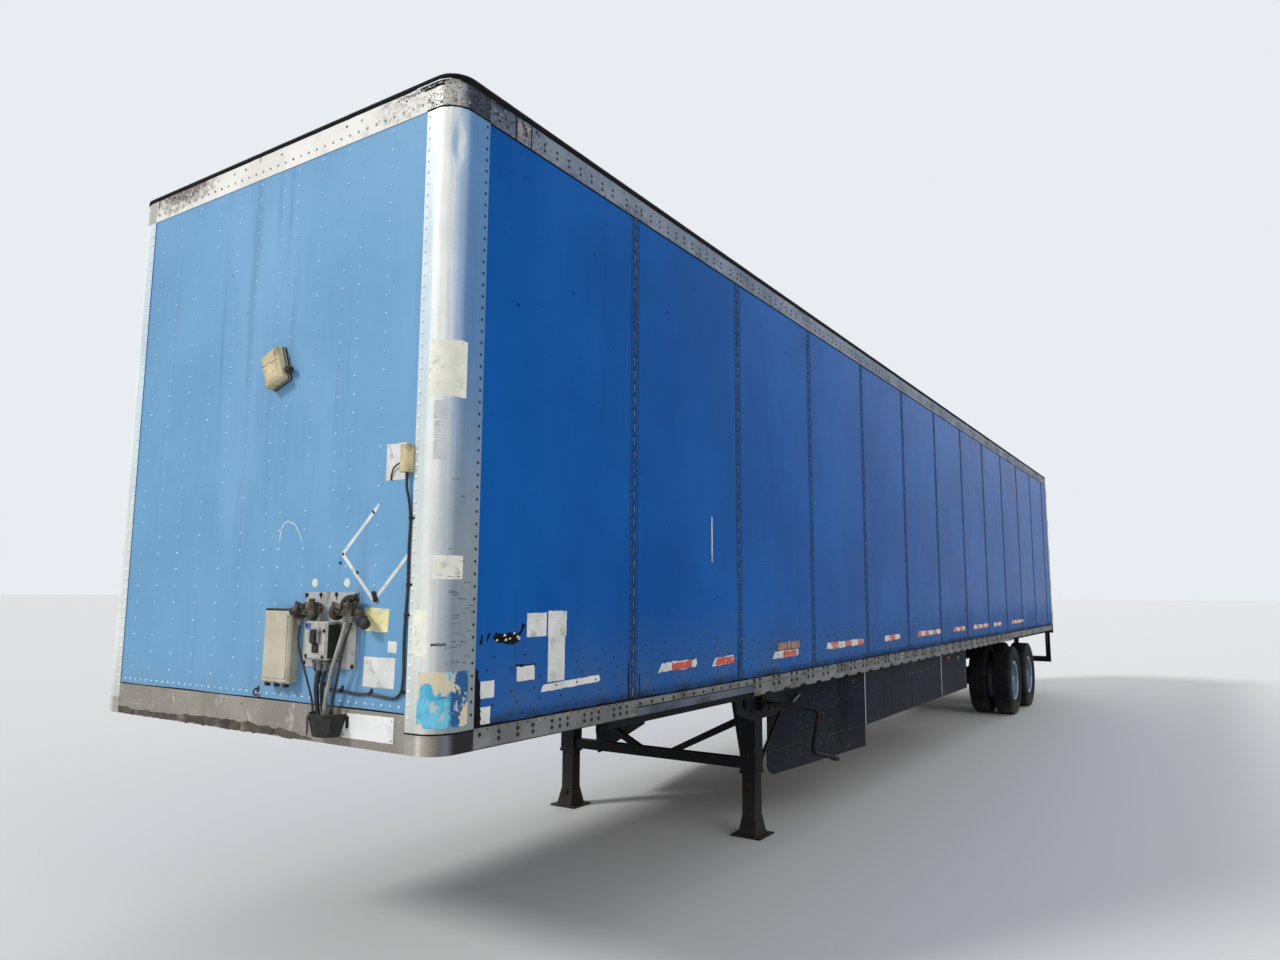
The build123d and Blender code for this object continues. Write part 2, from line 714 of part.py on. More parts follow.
with BuildPart() as rear_sill:
    with BuildSketch(Plane.YZ.offset(-HALF_WIDTH)):
        with BuildLine():
            Polyline(
                (REAR - REAR_POST_DEPTH, FLOOR_TOP),
                (REAR - REAR_POST_DEPTH, sill_bottom),
                (REAR - SILL_CHAMFER, sill_bottom),
                (REAR, sill_bottom + SILL_CHAMFER),
                (REAR, FLOOR_TOP),
                close=True,
            )
        make_face()
    extrude(amount=WIDTH)
    with Locations(*[(x, REAR, rod_bottom + CAM_HEIGHT / 2) for x in keeper_places]):
        Box(KEEPER_THICK, KEEPER_DEPTH, KEEPER_HEIGHT, align=(Align.CENTER, Align.MIN, Align.CENTER))
rear_sill.part.label = "rear_sill"
export_step(rear_sill.part, "parts/rear_sill.step")

bumper_bottom = sill_bottom + BUMPER_RISE
with BuildPart() as dock_bumpers:
    for side, sign in SIDES:
        with Locations((sign * (HALF_WIDTH - BUMPER_INSET), REAR, bumper_bottom + BUMPER_HEIGHT / 2)):
            Box(BUMPER_WIDTH, BUMPER_DEPTH, BUMPER_HEIGHT, align=(Align.CENTER, Align.MIN, Align.CENTER))
    chamfer(dock_bumpers.faces().filter_by(Axis.Y).group_by(Axis.Y)[-1].edges(), BUMPER_RISE / 2)
dock_bumpers.part.label = "dock_bumpers"
export_step(dock_bumpers.part, "parts/dock_bumpers.step")

# Rear guard: a bar on four posts, each braced forwards by a gusset
guard_y = REAR - GUARD_INSET
guard_top = GUARD_BOTTOM + GUARD_HEIGHT
guard_half = GUARD_POST_PLACES[1] + GUARD_POST / 2
with BuildPart() as guard_bar:
    with Locations((0, guard_y, GUARD_BOTTOM + GUARD_HEIGHT / 2)):
        Box(2 * guard_half, GUARD_DEPTH, GUARD_HEIGHT)
    chamfer(guard_bar.edges().filter_by(Axis.Z), GUSSET_THICK)
guard_bar.part.label = "guard_bar"
export_step(guard_bar.part, "parts/guard_bar.step")

gusset_face = guard_y - GUARD_POST_DEPTH / 2
with BuildPart() as guard_posts:
    for side, sign in SIDES:
        for place in GUARD_POST_PLACES:
            with Locations((sign * place, guard_y, guard_top)):
                Box(GUARD_POST, GUARD_POST_DEPTH, sill_bottom - guard_top,
                    align=(Align.CENTER, Align.CENTER, Align.MIN))
            with BuildSketch(Plane.YZ.offset(sign * place)):
                with BuildLine():
                    Polyline(
                        (gusset_face, sill_bottom),
                        (gusset_face - GUSSET_LENGTH, sill_bottom),
                        (gusset_face, sill_bottom - GUSSET_DROP),
                        close=True,
                    )
                make_face()
            extrude(amount=GUSSET_THICK / 2, both=True)
guard_posts.part.label = "guard_posts"
export_step(guard_posts.part, "parts/guard_posts.step")

# Door hinges: each bracket has two lugs and the pin, and each strap a bored knuckle between them
hinge_x = HALF_WIDTH - HINGE_INSET
hinge_y = REAR + HINGE_BEHIND
door_edge = post_inner - DOOR_GAP
door_bottom = FLOOR_TOP + DOOR_GAP
door_top = header_bottom - DOOR_GAP
door_width = door_edge - DOOR_GAP
hinge_levels = spread(FLOOR_TOP + HINGE_END_ROOM, header_bottom - HINGE_END_ROOM, HINGE_COUNT)
lug_step = KNUCKLE_LENGTH + KNUCKLE_GAP
bracket_height = 3 * KNUCKLE_LENGTH + 2 * KNUCKLE_GAP
bracket_x = HALF_WIDTH - HINGE_PLATE_WIDTH / 2
with BuildPart() as hinge_brackets:
    for side, sign in SIDES:
        for level in hinge_levels:
            with Locations((sign * bracket_x, REAR, level)):
                Box(HINGE_PLATE_WIDTH, HINGE_PLATE, bracket_height,
                    align=(Align.CENTER, Align.MIN, Align.CENTER))
            for way in (-1, 1):
                with BuildSketch(Plane.XY.offset(level + way * lug_step - KNUCKLE_LENGTH / 2)):
                    with Locations((sign * hinge_x, REAR)):
                        Rectangle(2 * KNUCKLE_R, HINGE_BEHIND, align=(Align.CENTER, Align.MIN))
                    with Locations((sign * hinge_x, hinge_y)):
                        RegularPolygon(KNUCKLE_R, KNUCKLE_SIDES, major_radius=False, rotation=KNUCKLE_TURN)
                extrude(amount=KNUCKLE_LENGTH)
            with BuildSketch(Plane.XY.offset(level)):
                with Locations((sign * hinge_x, hinge_y)):
                    RegularPolygon(HINGE_PIN_R, BAR_SIDES, rotation=BAR_TURN)
            extrude(amount=KNUCKLE_LENGTH / 2 + 1.5 * KNUCKLE_GAP, both=True)
hinge_brackets.part.label = "hinge_brackets"
export_step(hinge_brackets.part, "parts/hinge_brackets.step")

# Doors: a thick panel each, with straps, lock rods, guides, cams and folded handles
rod_y = REAR + LOCK_ROD_STANDOFF
guide_levels = spread(FLOOR_TOP + GUIDE_END_ROOM, header_bottom - GUIDE_END_ROOM, GUIDE_COUNT)
strap_root = door_edge - STRAP_LENGTH
for side, sign in SIDES:
    with BuildPart() as door_panel:
        with Locations((sign * (door_edge + DOOR_GAP) / 2, REAR, door_bottom)):
            Box(door_width, DOOR_THICK, door_top - door_bottom,
                align=(Align.CENTER, Align.MAX, Align.MIN))
    door_panel.part.label = f"door_panel_{side}"
    export_step(door_panel.part, f"parts/door_panel_{side}.step")

    with BuildPart() as door_hardware:
        for level in hinge_levels:
            with BuildSketch(Plane.XY.offset(level - KNUCKLE_LENGTH / 2)):
                with BuildLine():
                    Polyline(
                        (sign * hinge_x, hinge_y + HINGE_PLATE / 2),
                        (sign * (door_edge - 2 * HINGE_PLATE), REAR + HINGE_PLATE),
                        (sign * strap_root, REAR + HINGE_PLATE),
                        (sign * strap_root, REAR),
                        (sign * (door_edge - HINGE_PLATE), REAR),
                        (sign * hinge_x, hinge_y - HINGE_PLATE / 2),
                        close=True,
                    )
                make_face()
                with Locations((sign * hinge_x, hinge_y)):
                    RegularPolygon(KNUCKLE_R, KNUCKLE_SIDES, major_radius=False, rotation=KNUCKLE_TURN)
                    Circle(HINGE_BORE_R, mode=Mode.SUBTRACT)
            extrude(amount=KNUCKLE_LENGTH)
        with BuildSketch(Plane.XY.offset(rod_bottom)):
            with Locations(*[(sign * place, rod_y) for place in LOCK_ROD_PLACES]):
                RegularPolygon(LOCK_ROD_R, BAR_SIDES, rotation=BAR_TURN)
        extrude(amount=rod_top - rod_bottom)
        for place in LOCK_ROD_PLACES:
            with Locations(*[(sign * place, REAR, level) for level in guide_levels]):
                Box(GUIDE_WIDTH, LOCK_ROD_STANDOFF, 2 * LOCK_ROD_STANDOFF,
                    align=(Align.CENTER, Align.MIN, Align.CENTER))
            for level in (rod_bottom + CAM_HEIGHT / 2, rod_top - CAM_HEIGHT / 2):
                with Locations((sign * place, rod_y, level)):
                    Box(CAM_WIDTH, 2 * LOCK_ROD_R, CAM_HEIGHT)
        for place, way, step in ((LOCK_ROD_PLACES[0], 1, -HANDLE_STEP), (LOCK_ROD_PLACES[1], -1, HANDLE_STEP)):
            level = HANDLE_LEVEL + step
            with Locations((sign * place, rod_y, level)):
                Box(3 * LOCK_ROD_R, 2 * LOCK_ROD_R, 2 * HANDLE_HEIGHT)
            with Locations((sign * (place + way * HANDLE_LENGTH / 2), rod_y, level)):
                Box(HANDLE_LENGTH, HANDLE_DEPTH, HANDLE_HEIGHT)
            with Locations((sign * (place + way * HANDLE_LENGTH), REAR, level)):
                Box(HANDLE_HEIGHT, LOCK_ROD_STANDOFF, 2 * HANDLE_HEIGHT,
                    align=(Align.CENTER, Align.MIN, Align.CENTER))
    door_hardware.part.label = f"door_hardware_{side}"
    export_step(door_hardware.part, f"parts/door_hardware_{side}.step")

# Landing gear
leg_y = back(LEG_BACK)
leg_places = [(sign * LEG_OUT, leg_y) for side, sign in SIDES]
with BuildPart() as leg_tubes:
    for x, y in leg_places:
        with Locations((x, y, LEG_OUTER_BOTTOM)):
            Box(LEG_OUTER, LEG_OUTER, CROSS_BOTTOM - LEG_OUTER_BOTTOM,
                align=(Align.CENTER, Align.CENTER, Align.MIN))
            Box(LEG_OUTER + LEG_COLLAR, LEG_OUTER + LEG_COLLAR, LEG_COLLAR_HEIGHT,
                align=(Align.CENTER, Align.CENTER, Align.MIN))
        with Locations((x, y, SHOE_TOP)):
            Box(LEG_INNER, LEG_INNER, LEG_OUTER_BOTTOM - SHOE_TOP,
                align=(Align.CENTER, Align.CENTER, Align.MIN))
leg_tubes.part.label = "leg_tubes"
export_step(leg_tubes.part, "parts/leg_tubes.step")

with BuildPart() as leg_shoes:
    for x, y in leg_places:
        with Locations((x, y, 0)):
            Box(SHOE_SIZE, SHOE_SIZE, SHOE_PLATE, align=(Align.CENTER, Align.CENTER, Align.MIN))
        with BuildSketch(Plane.XY.offset(SHOE_PLATE)):
            with Locations((x, y)):
                Rectangle(LEG_INNER + SHOE_FLARE, LEG_INNER + 2 * SHOE_FLARE)
        with BuildSketch(Plane.XY.offset(SHOE_TOP)):
            with Locations((x, y)):
                Rectangle(LEG_INNER, LEG_INNER)
        loft()
leg_shoes.part.label = "leg_shoes"
export_step(leg_shoes.part, "parts/leg_shoes.step")

# Bolting plates outside the legs, with the long rails that they hang from
wing_x = LEG_OUT + LEG_OUTER / 2
wing_out = wing_x + WING_THICK
support_start = PICKUP_PLATE_END + SUPPORT_RAIL_GAP
support_end = LEG_BACK + SUPPORT_RAIL_BEHIND_LEG
with BuildPart() as leg_mounts:
    with BuildSketch(Plane.YZ.offset(wing_x)):
        with BuildLine():
            Polyline(
                (back(WING_FRONT), CROSS_BOTTOM),
                (back(WING_FRONT), CROSS_BOTTOM - WING_FRONT_EDGE),
                (back(WING_FOOT_FRONT), WING_BOTTOM),
                (back(WING_FOOT_BACK), WING_BOTTOM),
                (back(WING_BACK), CROSS_BOTTOM - WING_EDGE),
                (back(WING_BACK), CROSS_BOTTOM),
                close=True,
            )
        make_face()
        with Locations((leg_y - WING_HOLE_AHEAD, CROSS_BOTTOM - SUPPORT_RAIL_WIDTH - WING_HOLE_DOWN)):
            Circle(WING_HOLE_R, mode=Mode.SUBTRACT)
    extrude(amount=WING_THICK)
    with Locations((wing_out, back(support_start), COUPLER_UNDERSIDE)):
        Box(SUPPORT_RAIL_WIDTH, COUPLER_LENGTH - support_start,
            COUPLER_UNDERSIDE - SUPPORT_RAIL_BOTTOM, align=(Align.MIN, Align.MIN, Align.MAX))
    with Locations((wing_out, back(COUPLER_LENGTH), CROSS_BOTTOM)):
        Box(SUPPORT_RAIL_WIDTH, support_end - COUPLER_LENGTH,
            CROSS_BOTTOM - SUPPORT_RAIL_BOTTOM, align=(Align.MIN, Align.MIN, Align.MAX))
    mirror(about=Plane.YZ)
leg_mounts.part.label = "leg_mounts"
export_step(leg_mounts.part, "parts/leg_mounts.step")

# Cross bar, its two diagonal braces, the shaft between the legs, front gussets and knee braces
leg_inner_face = LEG_OUT - LEG_OUTER / 2
leg_rear_face = leg_y + LEG_OUTER / 2
knee_top = leg_y + KNEE_BEHIND_LEG
knee_out = LEG_OUT + (LEG_OUTER - KNEE_BAR) / 2
with BuildPart() as leg_braces:
    with Locations((0, leg_y, LEG_BAR_LEVEL)):
        Box(2 * leg_inner_face, LEG_BAR_SIZE, LEG_BAR_SIZE)
    with BuildSketch(Plane.XZ.offset(-leg_y)):
        with BuildLine():
            Polyline(
                (BRACE_FOOT, LEG_BAR_LEVEL),
                (BRACE_FOOT + 2 * BRACE_SIZE, LEG_BAR_LEVEL),
                (leg_inner_face, BRACE_TOP),
                (leg_inner_face, BRACE_TOP + BRACE_HEAD),
                close=True,
            )
        make_face()
        mirror(about=Plane.YZ)
    extrude(amount=BRACE_SIZE / 2, both=True)
    with BuildSketch(Plane.YZ.offset(-leg_inner_face)):
        with Locations((leg_y, GEARBOX_LEVEL)):
            RegularPolygon(CROSS_SHAFT_R, 6)
    extrude(amount=2 * leg_inner_face)
    with BuildSketch(Plane.XZ.offset(LEG_OUTER / 2 - leg_y)):
        with BuildLine():
            Polyline(
                (leg_inner_face, LEG_GUSSET_LOW),
                (leg_inner_face, CROSS_BOTTOM),
                (leg_inner_face - LEG_GUSSET_HEAD, CROSS_BOTTOM),
                close=True,
            )
        make_face()
        mirror(about=Plane.YZ)
    extrude(amount=-LEG_GUSSET_THICK)
    for side, sign in SIDES:
        with BuildSketch(Plane.YZ.offset(sign * knee_out)):
            with BuildLine():
                Polyline(
                    (leg_rear_face, KNEE_LOW),
                    (knee_top, KNEE_HIGH),
                    (knee_top, KNEE_HIGH + KNEE_HEAD),
                    (leg_rear_face, KNEE_LOW + KNEE_FOOT),
                    close=True,
                )
            make_face()
        extrude(amount=KNEE_BAR / 2, both=True)
leg_braces.part.label = "leg_braces"
export_step(leg_braces.part, "parts/leg_braces.step")

# Gearbox and the folded crank, an eight-sided bar with its bends
gearbox_face = wing_out + GEARBOX_OUT
with BuildPart() as crank_handle:
    with Locations((wing_out, leg_y, GEARBOX_LEVEL)):
        Box(GEARBOX_OUT, GEARBOX_LENGTH, GEARBOX_HEIGHT,
            align=(Align.MIN, Align.CENTER, Align.CENTER))
    with BuildLine():
        crank = FilletPolyline(
            (gearbox_face, leg_y, GEARBOX_LEVEL),
            (gearbox_face + CRANK_STUB, leg_y, GEARBOX_LEVEL),
            *[(CRANK_OUT, leg_y + behind, level) for behind, level in CRANK_ROUTE],
            radius=CRANK_BEND_R,
        )
    with BuildSketch(Plane(origin=crank @ 0, z_dir=crank % 0)):
        RegularPolygon(CRANK_R, 8)
    sweep(path=crank)
crank_handle.part.label = "crank_handle"
export_step(crank_handle.part, "parts/crank_handle.step")

# Side skirts: rigid panels, a flexible strip behind the foot of the first, and struts
slider_start = AXLE_PLACES["front"] - HANGER_REACH - SLIDER_OVERHANG
slider_end = AXLE_PLACES["rear"] + HANGER_REACH + SLIDER_OVERHANG
slide_rail_start = slider_start - SLIDE_FRONT_TRAVEL
skirt_end = slide_rail_start - SKIRT_END_GAP
skirt_seam_count = int((skirt_end - SKIRT_LAST_LEAST - SKIRT_FIRST_SEAM) // SKIRT_PANEL) + 1
skirt_ends = [SKIRT_FIRST_SEAM + i * SKIRT_PANEL for i in range(skirt_seam_count)] + [skirt_end]

# The first panel runs inwards and down to its front, behind the landing gear
skirt_front = Vector(SKIRT_FRONT_OUT, back(SKIRT_FRONT), 0)
first_run = Vector(SKIRT_OUT, back(SKIRT_FIRST_SEAM) - PANEL_GAP, 0) - skirt_front
first_plane = Plane(origin=skirt_front, x_dir=first_run, z_dir=first_run.cross(Vector(0, 0, 1)))

with BuildPart() as side_skirts:
    for start, end in zip(skirt_ends, skirt_ends[1:]):
        with Locations((SKIRT_OUT, back((start + end) / 2), SKIRT_BOTTOM)):
            Box(SKIRT_THICK, end - start - PANEL_GAP, CROSS_BOTTOM - SKIRT_BOTTOM,
                align=(Align.MAX, Align.CENTER, Align.MIN))
    with BuildSketch(first_plane):
        with BuildLine():
            Polyline(
                (0, SKIRT_BOTTOM - SKIRT_FRONT_DROP),
                (first_run.length, SKIRT_BOTTOM),
                (first_run.length, CROSS_BOTTOM),
                (0, CROSS_BOTTOM),
                close=True,
            )
        make_face()
    extrude(amount=-SKIRT_THICK)
    with BuildSketch(first_plane.offset(-SKIRT_THICK)) as strip:
        with BuildLine():
            Polyline(
                (0, SKIRT_STRIP_BOTTOM - SKIRT_FRONT_DROP),
                (first_run.length, SKIRT_STRIP_BOTTOM),
                (first_run.length, SKIRT_BOTTOM + SKIRT_STRIP_LAP),
                (0, SKIRT_BOTTOM - SKIRT_FRONT_DROP + SKIRT_STRIP_LAP),
                close=True,
            )
        make_face()
        fillet(strip.vertices().sort_by(Axis.Y)[0], radius=SKIRT_STRIP_CORNER)
    extrude(amount=-SKIRT_THICK)
    mirror(about=Plane.YZ)
side_skirts.part.label = "side_skirts"
export_step(side_skirts.part, "parts/side_skirts.step")

strut_foot = SKIRT_OUT - SKIRT_THICK
strut_head = SKIRT_OUT - STRUT_RUN
strut_level = SKIRT_BOTTOM + STRUT_RISE
first_strut = SKIRT_FIRST_SEAM + 2 * CROSS_PITCH
last_strut = skirt_end - CROSS_PITCH / 2
with BuildPart() as skirt_struts:
    for place in spread(first_strut, last_strut, STRUT_COUNT):
        with BuildSketch(Plane.XZ.offset(-back(place))):
            with BuildLine():
                Polyline(
                    (strut_foot, strut_level),
                    (strut_foot, strut_level + STRUT_SIZE),
                    (strut_head, CROSS_BOTTOM),
                    (strut_head - STRUT_SIZE, CROSS_BOTTOM),
                    close=True,
                )
            make_face()
            mirror(about=Plane.YZ)
        extrude(amount=STRUT_SIZE / 2, both=True)
skirt_struts.part.label = "skirt_struts"
export_step(skirt_struts.part, "parts/skirt_struts.step")

# Rails of the sliding tandem on the body: channels open inwards
slide_bottom = CROSS_BOTTOM - SLIDE_RAIL_DEPTH
slide_out = SLIDE_RAIL_OUT + SLIDE_RAIL_WIDTH / 2
slide_in = SLIDE_RAIL_OUT - SLIDE_RAIL_WIDTH / 2
slide_web = slide_out - SLIDE_RAIL_SHEET
with BuildPart() as slide_rails:
    with BuildSketch(Plane.XZ.offset(-back(slide_rail_start))):
        with BuildLine():
            Polyline(
                (slide_in, slide_bottom),
                (slide_out, slide_bottom),
                (slide_out, CROSS_BOTTOM),
                (slide_in, CROSS_BOTTOM),
                (slide_in, CROSS_BOTTOM - SLIDE_RAIL_SHEET),
                (slide_web, CROSS_BOTTOM - SLIDE_RAIL_SHEET),
                (slide_web, slide_bottom + SLIDE_RAIL_SHEET),
                (slide_in, slide_bottom + SLIDE_RAIL_SHEET),
                close=True,
            )
        make_face()
        mirror(about=Plane.YZ)
    extrude(amount=-(wall_end - slide_rail_start))
slide_rails.part.label = "slide_rails"
export_step(slide_rails.part, "parts/slide_rails.step")

# Tandem frame: two box rails and three channel cross members
slider_top = slide_bottom - SLIDE_GAP
slider_bottom = slider_top - SLIDER_DEPTH
tandem_middle = (AXLE_PLACES["front"] + AXLE_PLACES["rear"]) / 2
tank_place = slider_end - SLIDER_CROSS
slider_cross = (slider_start + SLIDER_CROSS, tandem_middle, tank_place)
with BuildPart() as tandem_frame:
    for side, sign in SIDES:
        with Locations((sign * SLIDE_RAIL_OUT, back((slider_start + slider_end) / 2), slider_bottom)):
            Box(SLIDE_RAIL_WIDTH, slider_end - slider_start, SLIDER_DEPTH,
                align=(Align.CENTER, Align.CENTER, Align.MIN))
    for place in slider_cross:
        with BuildSketch(Plane.YZ.offset(-slide_in)):
            add(channel(back(place), slider_bottom, slider_top, SLIDER_CROSS, SLIDER_CROSS_SHEET))
        extrude(amount=2 * slide_in)
tandem_frame.part.label = "tandem_frame"
export_step(tandem_frame.part, "parts/tandem_frame.step")

# Suspension: tapered hangers, an equaliser at the middle one, and a leaf spring over each axle
AXLE_LEVEL = TYRE_R
spring_top = SPRING_LEVEL + SPRING_THICK
spring_end_low = SPRING_LEVEL + SPRING_CAMBER
spring_end_high = spring_end_low + SPRING_END_THICK
spring_quarter = (SPRING_SEAT_HALF + SPRING_HALF) / 2
quarter_low = SPRING_LEVEL + SPRING_CAMBER / 4
quarter_high = (spring_top + spring_end_high) / 2 - SPRING_CAMBER / 8
hanger_places = (AXLE_PLACES["front"] - HANGER_REACH, tandem_middle, AXLE_PLACES["rear"] + HANGER_REACH)
hanger_bottom = SPRING_LEVEL - HANGER_DROP
axle_ys = [back(place) for place in AXLE_PLACES.values()]
rod_low = AXLE_LEVEL + RADIUS_ROD_RISE
with BuildPart() as suspension:
    with BuildSketch(Plane.YZ.offset(SLIDE_RAIL_OUT)):
        for place in hanger_places:
            y = back(place)
            with BuildLine():
                Polyline(
                    (y - HANGER_TOP / 2, slider_bottom),
                    (y + HANGER_TOP / 2, slider_bottom),
                    (y + HANGER_FOOT / 2, hanger_bottom),
                    (y - HANGER_FOOT / 2, hanger_bottom),
                    close=True,
                )
            make_face()
    extrude(amount=HANGER_WIDTH / 2, both=True)
    with BuildSketch(Plane.YZ.offset(SLIDE_RAIL_OUT)):
        middle = back(tandem_middle)
        with BuildLine():
            Polyline(
                (middle - EQUALISER_DROP, spring_end_low),
                (middle + EQUALISER_DROP, spring_end_low),
                (middle + HANGER_FOOT / 2, spring_end_low - EQUALISER_DROP),
                (middle - HANGER_FOOT / 2, spring_end_low - EQUALISER_DROP),
                close=True,
            )
        make_face()
        for y in axle_ys:
            with BuildLine():
                Line((y - SPRING_SEAT_HALF, SPRING_LEVEL), (y + SPRING_SEAT_HALF, SPRING_LEVEL))
                ThreePointArc((y + SPRING_SEAT_HALF, SPRING_LEVEL), (y + spring_quarter, quarter_low),
                              (y + SPRING_HALF, spring_end_low))
                Line((y + SPRING_HALF, spring_end_low), (y + SPRING_HALF, spring_end_high))
                ThreePointArc((y + SPRING_HALF, spring_end_high), (y + spring_quarter, quarter_high),
                              (y + SPRING_SEAT_HALF, spring_top))
                Line((y + SPRING_SEAT_HALF, spring_top), (y - SPRING_SEAT_HALF, spring_top))
                ThreePointArc((y - SPRING_SEAT_HALF, spring_top), (y - spring_quarter, quarter_high),
                              (y - SPRING_HALF, spring_end_high))
                Line((y - SPRING_HALF, spring_end_high), (y - SPRING_HALF, spring_end_low))
                ThreePointArc((y - SPRING_HALF, spring_end_low), (y - spring_quarter, quarter_low),
                              (y - SPRING_SEAT_HALF, SPRING_LEVEL))
            make_face()
    extrude(amount=SPRING_WIDTH / 2, both=True)
    for place, y in zip(hanger_places, axle_ys):
        with BuildSketch(Plane.YZ.offset(SLIDE_RAIL_OUT)):
            with BuildLine():
                Polyline(
                    (back(place), hanger_bottom),
                    (back(place), hanger_bottom + RADIUS_ROD),
                    (y - SEAT_LENGTH / 2, rod_low + RADIUS_ROD),
                    (y - SEAT_LENGTH / 2, rod_low),
                    close=True,
                )
            make_face()
        extrude(amount=RADIUS_ROD / 2, both=True)
    mirror(about=Plane.YZ)
suspension.part.label = "suspension"
export_step(suspension.part, "parts/suspension.step")

# Axles with spindles, spring seats, clamp bolts and brake chambers
spindle_end = DUAL_OUT + RIM_WIDTH / 2 - SEAT_LENGTH / 2
clamp_x = SPRING_WIDTH / 2 + U_BOLT / 2
clamp_bottom = AXLE_LEVEL - AXLE_R - U_BOLT
clamp_top = spring_top + CLAMP_PLATE
with BuildPart() as axles:
    for y in axle_ys:
        with Locations(Location((0, y, AXLE_LEVEL), (0, 90, 0))):
            Cylinder(AXLE_R, 2 * AXLE_HALF)
            Cylinder(SPINDLE_R, 2 * spindle_end)
        for side, sign in SIDES:
            seat_x = sign * SLIDE_RAIL_OUT
            with Locations((seat_x, y, SPRING_LEVEL)):
                Box(SPRING_WIDTH, SEAT_LENGTH, SPRING_LEVEL - AXLE_LEVEL,
                    align=(Align.CENTER, Align.CENTER, Align.MAX))
            with Locations((seat_x, y, spring_top)):
                Box(2 * (clamp_x + U_BOLT / 2), SEAT_LENGTH, CLAMP_PLATE,
                    align=(Align.CENTER, Align.CENTER, Align.MIN))
            with Locations((seat_x, y, (clamp_bottom + clamp_top) / 2)):
                with GridLocations(2 * clamp_x, U_BOLT_PITCH, 2, 2):
                    Box(U_BOLT, U_BOLT, clamp_top - clamp_bottom)
            can_level = AXLE_LEVEL + BRAKE_CAN_RISE
            can_y = y + AXLE_R + BRAKE_BRACKET
            with Locations((sign * BRAKE_CAN_OUT, y, can_level)):
                Box(BRAKE_CAN_R, AXLE_R + BRAKE_BRACKET, BRAKE_BRACKET,
                    align=(Align.CENTER, Align.MIN, Align.MAX))
            with BuildSketch(Plane.XZ.offset(-can_y)):
                with Locations((sign * BRAKE_CAN_OUT, can_level)):
                    RegularPolygon(BRAKE_CAN_R, LAMP_SIDES)
            extrude(amount=-BRAKE_CAN_LENGTH)
axles.part.label = "axles"
export_step(axles.part, "parts/axles.step")

# Air tank hung under the rear cross member of the tandem
tank_level = slider_bottom - TANK_STRAP - TANK_R
with BuildPart() as air_tank:
    with Locations(Location((0, back(tank_place), tank_level), (0, 90, 0))):
        Cylinder(TANK_R, TANK_LENGTH)
    with Locations((0, back(tank_place), slider_bottom)):
        with GridLocations(TANK_LENGTH - 4 * TANK_STRAP, 1, 2, 1):
            Box(TANK_STRAP, TANK_STRAP, TANK_STRAP + TANK_R, align=(Align.CENTER, Align.CENTER, Align.MAX))
air_tank.part.label = "air_tank"
export_step(air_tank.part, "parts/air_tank.step")

# Dual wheels, each pair one solid with its hub and drum, and its two tyres
wheel_in = DUAL_OUT - DUAL_SPACING - RIM_WIDTH / 2
wheel_out = DUAL_OUT + RIM_WIDTH / 2
dish = wheel_out - DISH_DEPTH
hub_end = dish + HUB_LENGTH
cap_end = wheel_out - HUB_CAP_IN
bore_end = spindle_end + BORE_ROOM
for axle_name, place in AXLE_PLACES.items():
    for side, sign in SIDES:
        y = back(place)
        axle_line = Axis((0, y, AXLE_LEVEL), (1, 0, 0))
        with BuildPart() as wheels:
            with BuildSketch(Plane.XY.offset(AXLE_LEVEL)):
                with BuildLine():
                    Polyline(
                        (sign * wheel_in, y + SPINDLE_R + SPINDLE_GAP),
                        (sign * wheel_in, y + RIM_R),
                        (sign * wheel_out, y + RIM_R),
                        (sign * wheel_out, y + RIM_LIP_R),
                        (sign * dish, y + RIM_LIP_R),
                        (sign * dish, y + HUB_R),
                        (sign * hub_end, y + HUB_R),
                        (sign * hub_end, y + HUB_CAP_R),
                        (sign * cap_end, y + HUB_CAP_R),
                        (sign * cap_end, y),
                        (sign * bore_end, y),
                        (sign * bore_end, y + SPINDLE_R + SPINDLE_GAP),
                        close=True,
                    )
                make_face()
            revolve(axis=axle_line)
            with BuildSketch(Plane(origin=(sign * dish, y, AXLE_LEVEL), z_dir=(-sign, 0, 0))):
                with PolarLocations(HAND_HOLE_PLACE_R, HAND_HOLE_COUNT):
                    RegularPolygon(HAND_HOLE_R, 8)
            extrude(amount=HAND_HOLE_DEPTH, mode=Mode.SUBTRACT)
        wheels.part.label = f"wheels_{axle_name}_{side}"
        export_step(wheels.part, f"parts/wheels_{axle_name}_{side}.step")

        with BuildPart() as tyres:
            for centre in (DUAL_OUT, DUAL_OUT - DUAL_SPACING):
                with BuildSketch(Plane.XY.offset(AXLE_LEVEL)):
                    with Locations((sign * centre, y + RIM_R)):
                        Rectangle(TYRE_WIDTH, TYRE_R - RIM_R, align=(Align.CENTER, Align.MIN))
                revolve(axis=axle_line)
        tyres.part.label = f"tyres_{axle_name}_{side}"
        export_step(tyres.part, f"parts/tyres_{axle_name}_{side}.step")

# Fittings on the front wall
wall_face = back(RAIL_THICK)
plate_face = wall_face - BACK_PLATE_THICK
with BuildPart() as back_plate:
    with Locations((BACK_PLATE_CENTRE[0], wall_face, BACK_PLATE_CENTRE[1])):
        Box(BACK_PLATE_SIZE[0], BACK_PLATE_THICK, BACK_PLATE_SIZE[1],
            align=(Align.CENTER, Align.MAX, Align.CENTER))
back_plate.part.label = "back_plate"
export_step(back_plate.part, "parts/back_plate.step")

